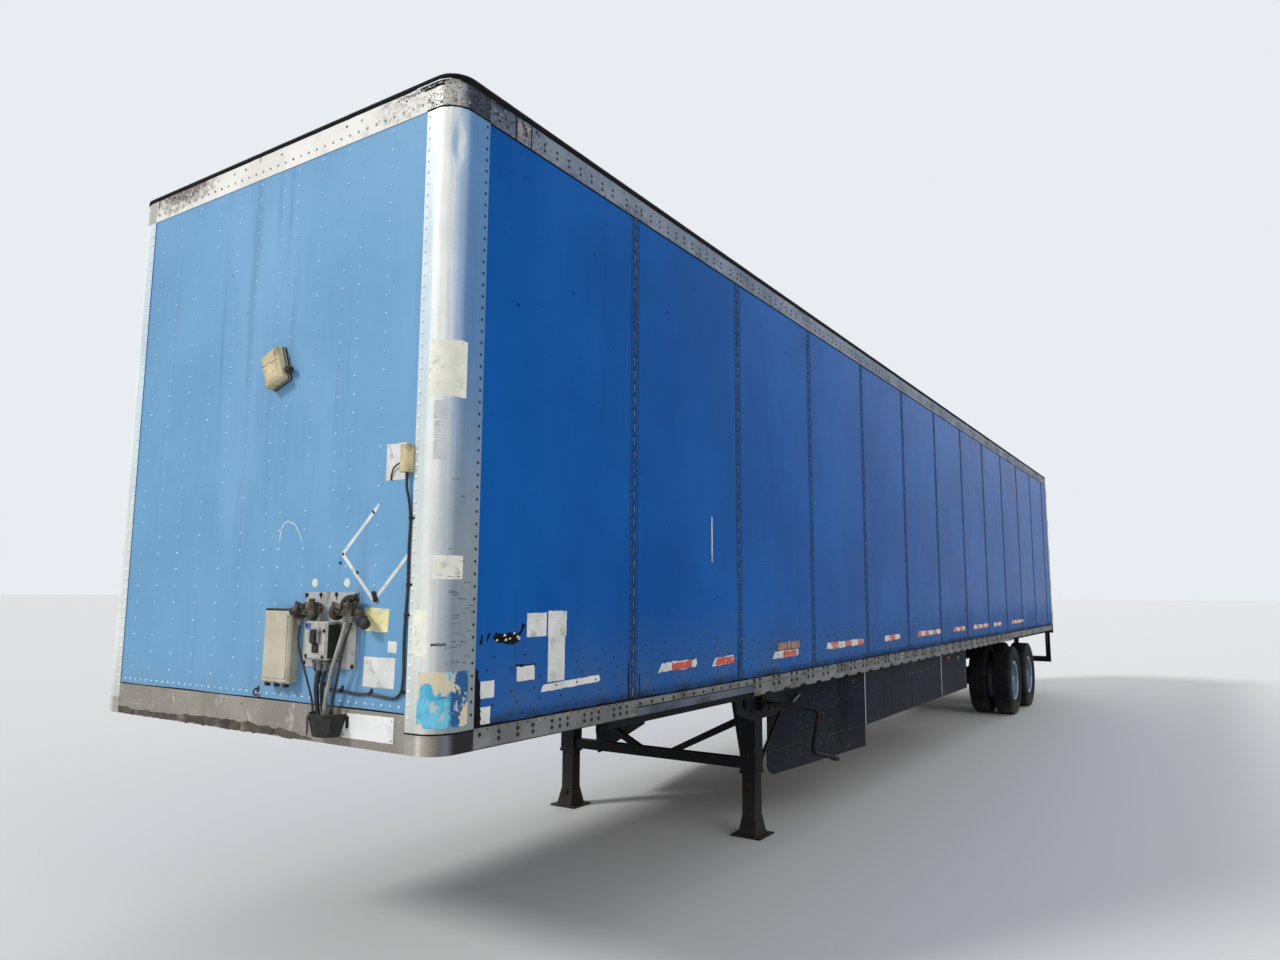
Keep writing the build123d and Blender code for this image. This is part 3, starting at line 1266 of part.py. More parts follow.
box_x, box_z = DOCUMENT_BOX_CENTRE
box_width, box_height = DOCUMENT_BOX_SIZE
with BuildPart() as document_box:
    with Locations((box_x, wall_face, box_z)):
        Box(box_width, DOCUMENT_BOX_DEPTH, box_height, align=(Align.CENTER, Align.MAX, Align.CENTER))
    with Locations((box_x, wall_face - DOCUMENT_BOX_DEPTH, box_z)):
        Box(box_width + 2 * DOCUMENT_LID_LIP, DOCUMENT_LID_DEPTH, box_height + 2 * DOCUMENT_LID_LIP,
            align=(Align.CENTER, Align.MAX, Align.CENTER))
    chamfer(document_box.faces().sort_by(Axis.Y)[0].edges(), DOCUMENT_EDGE_R)
document_box.part.label = "document_box"
export_step(document_box.part, "parts/document_box.step")

junction_x, junction_z = JUNCTION_BOX_CENTRE
with BuildPart() as junction_box:
    with Locations((junction_x, plate_face, junction_z)):
        Box(JUNCTION_BOX_SIZE[0], JUNCTION_BOX_DEPTH, JUNCTION_BOX_SIZE[1],
            align=(Align.CENTER, Align.MAX, Align.CENTER))
    chamfer(junction_box.faces().sort_by(Axis.Y)[0].edges(), JUNCTION_BOX_EDGE)
junction_box.part.label = "junction_box"
export_step(junction_box.part, "parts/junction_box.step")

# Air couplings: a hexagon nut, a body, a neck to the left and the round coupling face
nut_face = plate_face - GLADHAND_NUT
neck_y = nut_face - GLADHAND_BODY[1] / 2
face_x = GLADHAND_BODY[0] / 2 + GLADHAND_NECK[0]
with BuildPart() as gladhands:
    for x, z in GLADHAND_PLACES:
        with BuildSketch(Plane.XZ.offset(-plate_face)):
            with Locations((x, z)):
                RegularPolygon(GLADHAND_NUT_R, 6)
        extrude(amount=GLADHAND_NUT)
        with Locations((x, nut_face, z)):
            Box(*GLADHAND_BODY, align=(Align.CENTER, Align.MAX, Align.CENTER))
        with Locations((x - GLADHAND_BODY[0] / 2, neck_y, z - GLADHAND_NUT / 2)):
            Box(*GLADHAND_NECK, align=(Align.MAX, Align.CENTER, Align.CENTER))
        with Locations(Location((x - face_x, neck_y, z - GLADHAND_NUT / 2), (0, 90, 0))):
            Cylinder(GLADHAND_FACE_R, GLADHAND_FACE)
gladhands.part.label = "gladhands"
export_step(gladhands.part, "parts/gladhands.step")


def half_cup(radius):
    """Half a disc against the front rail, open towards the wall."""
    with BuildSketch() as plan:
        with BuildLine():
            RadiusArc((TRAY_X - radius, back(0)), (TRAY_X + radius, back(0)), -radius)
            Line((TRAY_X + radius, back(0)), (TRAY_X - radius, back(0)))
        make_face()
    return plan.sketch


# Half-round tray that the hoses drop into, tapering to its foot
with BuildPart() as hose_tray:
    with BuildSketch(Plane.XY.offset(TRAY_TOP)):
        add(half_cup(TRAY_R))
    extrude(amount=-TRAY_HEIGHT, taper=TRAY_TAPER)
    with BuildSketch(Plane.XY.offset(TRAY_TOP)):
        add(half_cup(TRAY_R - TRAY_WALL))
    extrude(amount=-(TRAY_HEIGHT - TRAY_WALL), taper=TRAY_TAPER, mode=Mode.SUBTRACT)
hose_tray.part.label = "hose_tray"
export_step(hose_tray.part, "parts/hose_tray.step")

# Lamps: a box lamp knocked askew high on the wall, and a round-edged one by the corner post
corner_lamp_x = CORNER_LAMP_PLACE[0]
with BuildPart() as front_lamps:
    with Locations(Location((TOP_LAMP_PLACE[0], wall_face, TOP_LAMP_PLACE[1]), (0, -TOP_LAMP_TILT, 0))):
        Box(TOP_LAMP_SIZE[0], TOP_LAMP_DEPTH, TOP_LAMP_SIZE[1],
            align=(Align.CENTER, Align.MAX, Align.CENTER))
    chamfer(front_lamps.faces().sort_by(Axis.Y)[0].edges(), TOP_LAMP_EDGE)
    with BuildSketch(Plane.XY.offset(CORNER_LAMP_PLACE[1] - CORNER_LAMP_SIZE[1] / 2)) as lamp_plan:
        with Locations((corner_lamp_x, wall_face)):
            Rectangle(CORNER_LAMP_SIZE[0], CORNER_LAMP_DEPTH, align=(Align.CENTER, Align.MAX))
        fillet(lamp_plan.vertices().group_by(Axis.Y)[0], CORNER_LAMP_EDGE_R)
    extrude(amount=CORNER_LAMP_SIZE[1])
front_lamps.part.label = "front_lamps"
export_step(front_lamps.part, "parts/front_lamps.step")

with BuildPart() as side_markers:
    for side, sign in SIDES:
        with Locations((sign * PANEL_OUT, back(MARKER_BACK), MARKER_LEVEL)):
            Box(*MARKER_SIZE, align=(Align.MIN if sign > 0 else Align.MAX, Align.CENTER, Align.CENTER))
    chamfer(side_markers.faces().filter_by(Axis.X).group_by(Axis.X)[-1].edges(), RAIL_THICK)
    chamfer(side_markers.faces().filter_by(Axis.X).group_by(Axis.X)[0].edges(), RAIL_THICK)
side_markers.part.label = "side_markers"
export_step(side_markers.part, "parts/side_markers.step")

lamp_level = sill_bottom + TAIL_LAMP_RISE
lamp_places = [(sign * place, lamp_level) for side, sign in SIDES for place in TAIL_LAMP_PLACES]
with BuildPart() as tail_lamps:
    with BuildSketch(Plane.XZ.offset(-REAR)):
        with Locations(*lamp_places):
            RegularPolygon(TAIL_LAMP_R, LAMP_SIDES)
    extrude(amount=-TAIL_LAMP_DEPTH)
    with Locations(*[(place, REAR, header_bottom + HEADER_DEPTH / 2) for place in HEADER_LAMP_PLACES]):
        Box(*HEADER_LAMP_SIZE, align=(Align.CENTER, Align.MIN, Align.CENTER))
tail_lamps.part.label = "tail_lamps"
export_step(tail_lamps.part, "parts/tail_lamps.step")

# Lines held between two fittings: points as (x, out from the wall, z), then the radius.
# The first table drops from the couplings and the box into the tray.
# The second runs along the wall and up the corner post to its lamp.
LINE_BEND_SHARE = 0.45
HOSE_LINES = {
    "air_lines": (
        (((466, 47, 1699), (466, 47, 1660), (489, 70, 1595), (525, 64, 1504), (571, 60, 1404),
          (604, 62, 1335), (612, 64, 1285), (622, 58, 1222)), 5),
        (((782, 47, 1717), (782, 47, 1684), (773, 70, 1596), (730, 66, 1495), (698, 58, 1413),
          (677, 52, 1360), (668, 50, 1298), (672, 50, 1222)), 7),
        (((814, 47, 1717), (814, 47, 1680), (799, 70, 1585), (776, 66, 1498), (746, 60, 1400),
          (722, 54, 1340), (712, 50, 1298), (706, 48, 1222)), 6),
    ),
    "electric_lines": (
        (((574, 40, 1523), (574, 40, 1490), (586, 36, 1452), (596, 32, 1402), (600, 32, 1350),
          (604, 32, 1290), (606, 32, 1222)), 5),
        (((618, 46, 1523), (618, 46, 1488), (612, 52, 1440), (612, 54, 1390), (622, 54, 1340),
          (630, 52, 1290), (640, 46, 1222)), 11),
        (((652, 40, 1523), (652, 40, 1488), (640, 44, 1440), (634, 42, 1390), (640, 40, 1340),
          (648, 38, 1290), (660, 30, 1222)), 9),
    ),
    "lamp_harness": (
        (((590, 24, 1523), (590, 24, 1488), (597, 12, 1428), (640, 9, 1390), (722, 9, 1393),
          (825, 9, 1383), (910, 9, 1391), (1001, 9, 1381), (1068, 9, 1380), (1103, 9, 1408),
          (1110, 9, 1480), (1104, 9, 1614), (1109, 9, 1725), (1116, 9, 1850), (1112, 9, 1990),
          (1117, 9, 2130), (1106, 10, 2205), (1092, 16, 2262), (1092, 16, 2326)), 6),
    ),
}


def bend_radii(points):
    """The largest radius that its two runs allow at each inner point."""
    radii = []
    for before, here, after in zip(points, points[1:], points[2:]):
        first = Vector(*here) - Vector(*before)
        last = Vector(*after) - Vector(*here)
        turn = math.radians(first.get_angle(last))
        radii.append(LINE_BEND_SHARE * min(first.length, last.length) / math.tan(turn / 2))
    return radii


for name, lines in HOSE_LINES.items():
    with BuildPart() as held_lines:
        for places, line_r in lines:
            route = [(x, wall_face - out, z) for x, out, z in places]
            with BuildLine():
                line = FilletPolyline(*route, radius=bend_radii(route))
            with BuildSketch(Plane(origin=line @ 0, z_dir=line % 0)):
                RegularPolygon(line_r, 6)
            sweep(path=line)
    held_lines.part.label = name
    export_step(held_lines.part, f"parts/{name}.step")
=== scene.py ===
"""Looks of a parked 53 ft dry van semi trailer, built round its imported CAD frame.

Metres, in the CAD frame: the ground is z = 0, the front wall faces -Y and the road side is +X.
Places along the trailer are distances behind the front wall, turned into y by back().
"""
from __future__ import annotations

import json
import logging
import math
import random
from dataclasses import dataclass, field
from enum import Enum
from typing import Iterable, Sequence

import bmesh
import bpy
from mathutils import Matrix, Vector

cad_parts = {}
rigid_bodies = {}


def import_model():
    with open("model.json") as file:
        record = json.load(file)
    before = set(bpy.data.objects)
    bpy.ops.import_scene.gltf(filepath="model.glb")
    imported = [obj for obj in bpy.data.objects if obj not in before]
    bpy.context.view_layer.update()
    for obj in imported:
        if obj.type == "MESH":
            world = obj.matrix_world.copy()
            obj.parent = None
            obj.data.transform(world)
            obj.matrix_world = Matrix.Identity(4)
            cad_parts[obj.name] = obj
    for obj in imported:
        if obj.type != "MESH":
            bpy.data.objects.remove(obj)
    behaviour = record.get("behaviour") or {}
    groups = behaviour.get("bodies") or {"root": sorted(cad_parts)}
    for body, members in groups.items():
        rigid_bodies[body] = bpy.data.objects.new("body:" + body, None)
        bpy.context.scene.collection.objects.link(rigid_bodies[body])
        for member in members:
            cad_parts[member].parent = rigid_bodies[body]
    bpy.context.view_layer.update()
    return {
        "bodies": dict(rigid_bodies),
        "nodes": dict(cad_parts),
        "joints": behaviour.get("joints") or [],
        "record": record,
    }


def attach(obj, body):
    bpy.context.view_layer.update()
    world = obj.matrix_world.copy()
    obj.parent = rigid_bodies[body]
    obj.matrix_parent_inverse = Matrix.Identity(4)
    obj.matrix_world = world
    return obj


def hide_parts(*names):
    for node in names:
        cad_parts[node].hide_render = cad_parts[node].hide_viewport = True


log = logging.getLogger("dry_van")

Point = Sequence[float]
Outline = Sequence[tuple[float, float]]
Colour = tuple[int, int, int]

FRONT = -8.077
REAR = 8.077
HALF_WIDTH = 1.2955
PANEL_FACE = 1.2915
WALL_FACE = FRONT + 0.004
TOP_RAIL_BOTTOM = 3.96
CORNER_RADIUS = 0.115
WALL_END = 16.064
AXLES = (("front", 12.27), ("rear", 13.515))
WHEEL_LEVEL = 0.513
SEAMS = [1.446 + 1.285 * i for i in range(12)]
BOTH = (1, -1)
SIDE_NAMES = {1: "left", -1: "right"}


def back(distance: float) -> float:
    """y of a place this far behind the front wall."""
    return FRONT + distance


def shade(red: int, green: int, blue: int) -> tuple[float, float, float, float]:
    """Linear colour of an 8-bit display colour.

    Args:
        red: Red, 0 to 255.
        green: Green, 0 to 255.
        blue: Blue, 0 to 255.

    Returns:
        The colour as linear RGBA.
    """
    def linear(value: int) -> float:
        """Linear share of one 8-bit channel."""
        part = value / 255
        return part / 12.92 if part <= 0.04045 else ((part + 0.055) / 1.055) ** 2.4

    return linear(red), linear(green), linear(blue), 1.0


def steps(first: float, last: float, pitch: float) -> list[float]:
    """Even places from first to last, about one pitch apart.

    Args:
        first: First place.
        last: Last place.
        pitch: Wanted spacing.

    Returns:
        The places, both ends included.
    """
    count = max(1, round((last - first) / pitch))
    return [first + (last - first) * i / count for i in range(count + 1)]


def tilt(degrees: float) -> Matrix:
    """Rotation about the axis that runs along the trailer."""
    return Matrix.Rotation(math.radians(degrees), 3, "Y")


def ragged(outline: Outline, pitch: float, wander: float, rng: random.Random) -> list[tuple[float, float]]:
    """Outline with more points, each moved a little.

    Args:
        outline: Corners of the clean outline.
        pitch: Distance between the new points.
        wander: Largest move.
        rng: Seeded source of random numbers.

    Returns:
        The torn outline.
    """
    torn = []
    for i, (a, b) in enumerate(outline):
        c, d = outline[(i + 1) % len(outline)]
        count = max(1, round(math.hypot(c - a, d - b) / pitch))
        for k in range(count):
            t = k / count
            torn.append((a + (c - a) * t + rng.uniform(-wander, wander),
                         b + (d - b) * t + rng.uniform(-wander, wander)))
    return torn


def rounded(route: Sequence[Point], radius: float, count: int = 6) -> list[Vector]:
    """Route of straight runs with an arc at each corner.

    Args:
        route: Corners from end to end.
        radius: Radius of the arcs.
        count: Steps of each arc.

    Returns:
        The points.
    """
    points = [Vector(p) for p in route]
    smooth = [points[0]]
    for before, here, after in zip(points, points[1:], points[2:]):
        arriving, leaving = (before - here).normalized(), (after - here).normalized()
        half = arriving.angle(leaving) / 2
        centre = here + (arriving + leaving).normalized() * radius / math.sin(half)
        first = here + arriving * radius / math.tan(half) - centre
        axis = leaving.cross(arriving)
        turn = math.pi - 2 * half
        smooth += [centre + Matrix.Rotation(turn * k / count, 3, axis) @ first for k in range(count + 1)]
    return smooth + [points[-1]]


class Wiring:
    """Short calls that add and link nodes in one node tree."""

    def __init__(self, tree: bpy.types.NodeTree) -> None:
        """Keeps the tree that the calls add to."""
        self.tree = tree

    def node(self, kind: str, **values: object) -> bpy.types.Node:
        """Adds a node and sets its properties.

        Args:
            kind: Node type, such as ShaderNodeMath.
            **values: Properties of the node.

        Returns:
            The new node.
        """
        made = self.tree.nodes.new(kind)
        for name, value in values.items():
            setattr(made, name, value)
        return made

    def feed(self, socket: bpy.types.NodeSocket, value: object) -> None:
        """Links a socket to an input, or sets the input's own value."""
        if isinstance(value, bpy.types.NodeSocket):
            self.tree.links.new(value, socket)
        elif value is not None:
            socket.default_value = value

    def math(self, operation: str, first: object, second: object = None) -> bpy.types.NodeSocket:
        """Output of a Math node."""
        made = self.node("ShaderNodeMath", operation=operation)
        self.feed(made.inputs[0], first)
        if second is not None:
            self.feed(made.inputs[1], second)
        return made.outputs[0]

    def span(self, value: object, low: object, high: object, out_low: float = 0.0,
             out_high: float = 1.0) -> bpy.types.NodeSocket:
        """Value from low to high mapped on out_low to out_high, smooth and clamped.

        Args:
            value: What is mapped.
            low: Value that gives out_low.
            high: Value that gives out_high.
            out_low: Output at low.
            out_high: Output at high.

        Returns:
            The mapped value's socket.
        """
        made = self.node("ShaderNodeMapRange", interpolation_type="SMOOTHSTEP")
        for index, entry in enumerate((value, low, high, out_low, out_high)):
            self.feed(made.inputs[index], entry)
        return made.outputs[0]

    def mix(self, factor: object, first: object, second: object,
            blend: str = "MIX") -> bpy.types.NodeSocket:
        """Output of a colour mix.

        Args:
            factor: Share of the second colour.
            first: First colour, a socket or an 8-bit colour.
            second: Second colour, likewise.
            blend: Blend type.

        Returns:
            The mixed colour's socket.
        """
        made = self.node("ShaderNodeMix", data_type="RGBA", blend_type=blend)
        self.feed(made.inputs[0], factor)
        for index, colour in ((6, first), (7, second)):
            self.feed(made.inputs[index], shade(*colour) if isinstance(colour, tuple) else colour)
        return made.outputs[2]

    def place(self) -> bpy.types.NodeSocket:
        """Point of the surface, in the object's own coordinates."""
        return self.node("ShaderNodeTexCoord").outputs["Object"]

    def facing(self) -> bpy.types.NodeSocket:
        """Direction that the smooth surface faces, in the object's own axes."""
        return self.node("ShaderNodeTexCoord").outputs["Normal"]

    def stretched(self, vector: object, factors: object) -> bpy.types.NodeSocket:
        """A vector with each axis multiplied by its factor."""
        made = self.node("ShaderNodeVectorMath", operation="MULTIPLY")
        self.feed(made.inputs[0], vector)
        self.feed(made.inputs[1], factors)
        return made.outputs[0]

    def axes(self, vector: object) -> bpy.types.NodeOutputs:
        """X, Y and Z of a vector."""
        made = self.node("ShaderNodeSeparateXYZ")
        self.feed(made.inputs[0], vector)
        return made.outputs

    def noise(self, vector: object, scale: object, detail: float = 4.0,
              rough: float = 0.55) -> bpy.types.NodeSocket:
        """Value of a noise texture.

        Args:
            vector: Where it is read.
            scale: Waves a metre.
            detail: Octaves.
            rough: Strength of the finer octaves.

        Returns:
            The noise value, about 0.5 on average.
        """
        made = self.node("ShaderNodeTexNoise")
        self.feed(made.inputs["Vector"], vector)
        self.feed(made.inputs["Scale"], scale)
        made.inputs["Detail"].default_value = detail
        made.inputs["Roughness"].default_value = rough
        return made.outputs[0]


class Effect(Enum):
    """Shared weathering effects, each one shader node group."""

    PATCHES = "Weather patches"
    FOOT_DUST = "Dust by height"
    SCRATCHES = "Fine scratches"
    EDGE_WEAR = "Edge wear"
    SKIN = "Sheet skin"
    GRIT = "Surface grit"
    SPOT = "Speckled spot"
    INNER_FACE = "Inner face"


class EffectGroups:
    """Builds each effect's node group once and places it in materials."""

    def __init__(self) -> None:
        """Builds the groups, in the order of the effects."""
        makers = (self._patches, self._foot_dust, self._scratches, self._edge_wear, self._skin,
                  self._grit, self._spot, self._inner_face)
        self.groups = {effect: maker() for effect, maker in zip(Effect, makers)}

    def _start(self, effect: Effect, inputs: dict[str, object],
               output: str = "Mask") -> tuple[Wiring, bpy.types.NodeOutputs, bpy.types.NodeSocket]:
        """Makes an empty group with its sockets.

        Args:
            effect: Which effect it is.
            inputs: Default of each input, a vector or a number.
            output: Name of its one output.

        Returns:
            The group's wiring, its input sockets and the socket that its result feeds.
        """
        group = bpy.data.node_groups.new(effect.value, "ShaderNodeTree")
        for name, default in inputs.items():
            kind = "NodeSocketVector" if isinstance(default, tuple) else "NodeSocketFloat"
            group.interface.new_socket(name, in_out="INPUT", socket_type=kind).default_value = default
        group.interface.new_socket(output, in_out="OUTPUT", socket_type="NodeSocketFloat")
        wiring = Wiring(group)
        entry = wiring.node("NodeGroupInput").outputs
        return wiring, entry, wiring.node("NodeGroupOutput").inputs[0]

    @staticmethod
    def _end(wiring: Wiring, mask: bpy.types.NodeSocket, entry: bpy.types.NodeOutputs,
             result: bpy.types.NodeSocket) -> bpy.types.NodeTree:
        """Feeds the result with the mask times the amount, and gives the finished tree."""
        wiring.feed(result, wiring.math("MULTIPLY", mask, entry["Amount"]))
        return wiring.tree

    def _patches(self) -> bpy.types.NodeTree:
        """Noise patches or runs: a low factor along an axis stretches them that way."""
        wiring, entry, result = self._start(Effect.PATCHES, {
            "Factors": (1.0, 1.0, 1.0), "Scale": 4.0, "Threshold": 0.5, "Softness": 0.15, "Amount": 1.0})
        place = wiring.stretched(wiring.place(), entry["Factors"])
        value = wiring.noise(place, entry["Scale"], 6.0, 0.6)
        top = wiring.math("ADD", entry["Threshold"], entry["Softness"])
        mask = wiring.span(value, entry["Threshold"], top)
        return self._end(wiring, mask, entry, result)

    def _foot_dust(self) -> bpy.types.NodeTree:
        """Dust that lies thickest at the foot height and thins out over the reach."""
        wiring, entry, result = self._start(Effect.FOOT_DUST, {"Foot": 0.0, "Reach": 0.5, "Amount": 1.0})
        place = wiring.place()
        level = wiring.math("SUBTRACT", wiring.axes(place)[2], entry["Foot"])
        share = wiring.math("DIVIDE", level, entry["Reach"])
        near = wiring.span(share, 1.0, 0.0)
        cloud = wiring.span(wiring.noise(place, 3.5, 6.0, 0.65), 0.3, 0.68, 0.35, 1.0)
        mask = wiring.math("MULTIPLY", near, cloud)
        return self._end(wiring, mask, entry, result)

    def _scratches(self) -> bpy.types.NodeTree:
        """Thin rubs, most of them along the factors' low axis."""
        wiring, entry, result = self._start(Effect.SCRATCHES, {
            "Factors": (30.0, 1.0, 30.0), "Threshold": 0.66, "Amount": 1.0})
        place = wiring.place()
        long_rubs = wiring.noise(wiring.stretched(place, entry["Factors"]), 3.0, 3.0, 0.5)
        lines = wiring.span(long_rubs, entry["Threshold"], wiring.math("ADD", entry["Threshold"], 0.04))
        gate = wiring.span(wiring.noise(place, 1.7, 2.0), 0.45, 0.6)
        mask = wiring.math("MULTIPLY", lines, gate)
        return self._end(wiring, mask, entry, result)

    def _edge_wear(self) -> bpy.types.NodeTree:
        """Rubbed outer edges, broken up by noise."""
        wiring, entry, result = self._start(Effect.EDGE_WEAR, {"Width": 0.004, "Amount": 1.0})
        bevel = wiring.node("ShaderNodeBevel", samples=4)
        wiring.feed(bevel.inputs["Radius"], entry["Width"])
        turned = wiring.node("ShaderNodeVectorMath", operation="DOT_PRODUCT")
        wiring.feed(turned.inputs[0], bevel.outputs[0])
        wiring.feed(turned.inputs[1], wiring.node("ShaderNodeNewGeometry").outputs["Normal"])
        edge = wiring.span(turned.outputs["Value"], 0.985, 0.9)
        broken = wiring.span(wiring.noise(wiring.place(), 28.0, 5.0, 0.7), 0.38, 0.58)
        mask = wiring.math("MULTIPLY", edge, broken)
        return self._end(wiring, mask, entry, result)

    def _skin(self) -> bpy.types.NodeTree:
        """Height of thin sheet: broad ripples and fine orange peel, in metres."""
        wiring, entry, result = self._start(Effect.SKIN, {
            "Ripple": 0.002, "Peel": 0.0001, "Peel scale": 160.0}, "Height")
        place = wiring.place()
        broad = wiring.noise(wiring.stretched(place, (1.0, 1.0, 0.55)), 1.6, 2.0, 0.4)
        ripple = wiring.math("MULTIPLY", broad, entry["Ripple"])
        fine = wiring.noise(place, entry["Peel scale"], 2.0, 0.5)
        peel = wiring.math("MULTIPLY", fine, entry["Peel"])
        wiring.feed(result, wiring.math("ADD", ripple, peel))
        return wiring.tree

    def _grit(self) -> bpy.types.NodeTree:
        """Change of roughness over the surface, about zero on average."""
        wiring, entry, result = self._start(Effect.GRIT, {"Scale": 12.0, "Amount": 0.2}, "Offset")
        value = wiring.math("SUBTRACT", wiring.noise(wiring.place(), entry["Scale"], 6.0, 0.7), 0.5)
        wiring.feed(result, wiring.math("MULTIPLY", value, entry["Amount"]))
        return wiring.tree

    def _spot(self) -> bpy.types.NodeTree:
        """A spot round one place of the object, speckled where it thins out."""
        wiring, entry, result = self._start(Effect.SPOT, {
            "Centre": (0.0, 0.0, 0.0), "Factors": (1.0, 1.0, 1.0), "Scale": 30.0, "Solid": 1.0,
            "Amount": 1.0})
        place = wiring.place()
        away = wiring.node("ShaderNodeVectorMath", operation="SUBTRACT")
        wiring.feed(away.inputs[0], place)
        wiring.feed(away.inputs[1], entry["Centre"])
        length = wiring.node("ShaderNodeVectorMath", operation="LENGTH")
        wiring.feed(length.inputs[0], wiring.stretched(away.outputs[0], entry["Factors"]))
        near = wiring.math("MINIMUM", wiring.math("SUBTRACT", 1.0, length.outputs["Value"]), entry["Solid"])
        cloud = wiring.noise(place, entry["Scale"], 6.0, 0.65)
        mask = wiring.span(wiring.math("ADD", near, cloud), 0.62, 0.92)
        return self._end(wiring, mask, entry, result)

    def _inner_face(self) -> bpy.types.NodeTree:
        """Full on walls that face the middle of the trailer, nothing on the others."""
        wiring, entry, result = self._start(Effect.INNER_FACE, {"Amount": 1.0})
        look = wiring.node("ShaderNodeVectorMath", operation="DOT_PRODUCT")
        wiring.feed(look.inputs[0], wiring.stretched(wiring.place(), (1.0, 1.0, 0.0)))
        wiring.feed(look.inputs[1], wiring.facing())
        mask = wiring.math("LESS_THAN", look.outputs["Value"], 0.0)
        return self._end(wiring, mask, entry, result)

    def add(self, wiring: Wiring, effect: Effect, **values: object) -> bpy.types.NodeSocket:
        """Places a group in a material.

        Args:
            wiring: The material's wiring.
            effect: Which group.
            **values: Input values, with spaces in names written as underscores.

        Returns:
            The group's output socket.
        """
        made = wiring.node("ShaderNodeGroup")
        made.node_tree = self.groups[effect]
        for name, value in values.items():
            wiring.feed(made.inputs[name.replace("_", " ")], value)
        return made.outputs[0]


@dataclass(frozen=True)
class Layer:
    """One weathering layer that is mixed over a finish."""

    effect: Effect
    colour: Colour
    rough: float
    values: dict[str, object] = field(default_factory=dict)


def patches(colour: Colour, amount: float, scale: float = 4.0, threshold: float = 0.52,
            softness: float = 0.16, rough: float = 0.7, factors: Point = (1, 1, 1)) -> Layer:
    """A layer of noise patches or runs.

    Args:
        colour: Colour of the layer.
        amount: Strength.
        scale: Patches a metre.
        threshold: Noise level at which they start.
        softness: Width of their edge.
        rough: Roughness of the layer.
        factors: Stretch of each axis.

    Returns:
        The layer.
    """
    return Layer(Effect.PATCHES, colour, rough, {
        "Factors": tuple(float(f) for f in factors), "Scale": scale, "Threshold": threshold,
        "Softness": softness, "Amount": amount})


def foot_dust(colour: Colour, amount: float, foot: float, reach: float, rough: float = 0.9) -> Layer:
    """A layer of dust by height."""
    return Layer(Effect.FOOT_DUST, colour, rough, {"Foot": foot, "Reach": reach, "Amount": amount})


def scratches(colour: Colour, amount: float, factors: Point = (30, 1, 30),
              threshold: float = 0.64, rough: float = 0.5) -> Layer:
    """A layer of fine rubs."""
    return Layer(Effect.SCRATCHES, colour, rough, {
        "Factors": tuple(float(f) for f in factors), "Threshold": threshold, "Amount": amount})


def edge_wear(colour: Colour, amount: float, width: float = 0.004, rough: float = 0.45) -> Layer:
    """A layer of rubbed edges."""
    return Layer(Effect.EDGE_WEAR, colour, rough, {"Width": width, "Amount": amount})


def inner_face(colour: Colour, rough: float = 0.5) -> Layer:
    """A layer over the faces inside the hold."""
    return Layer(Effect.INNER_FACE, colour, rough, {"Amount": 1.0})


def spot(colour: Colour, amount: float, centre: Point, size: Point, scale: float = 60.0,
         solid: float = 1.0, rough: float = 0.9) -> Layer:
    """A layer of one speckled spot.

    Args:
        colour: Colour of the spot.
        amount: Strength.
        centre: Its middle, in the frame.
        size: Its reach along X, Y and Z.
        scale: Specks a metre.
        solid: How closed its middle is, from 0 to 1.
        rough: Roughness of the spot.

    Returns:
        The layer.
    """
    return Layer(Effect.SPOT, colour, rough, {
        "Centre": tuple(float(c) for c in centre), "Factors": tuple(1.0 / r for r in size),
        "Scale": scale, "Solid": solid, "Amount": amount})


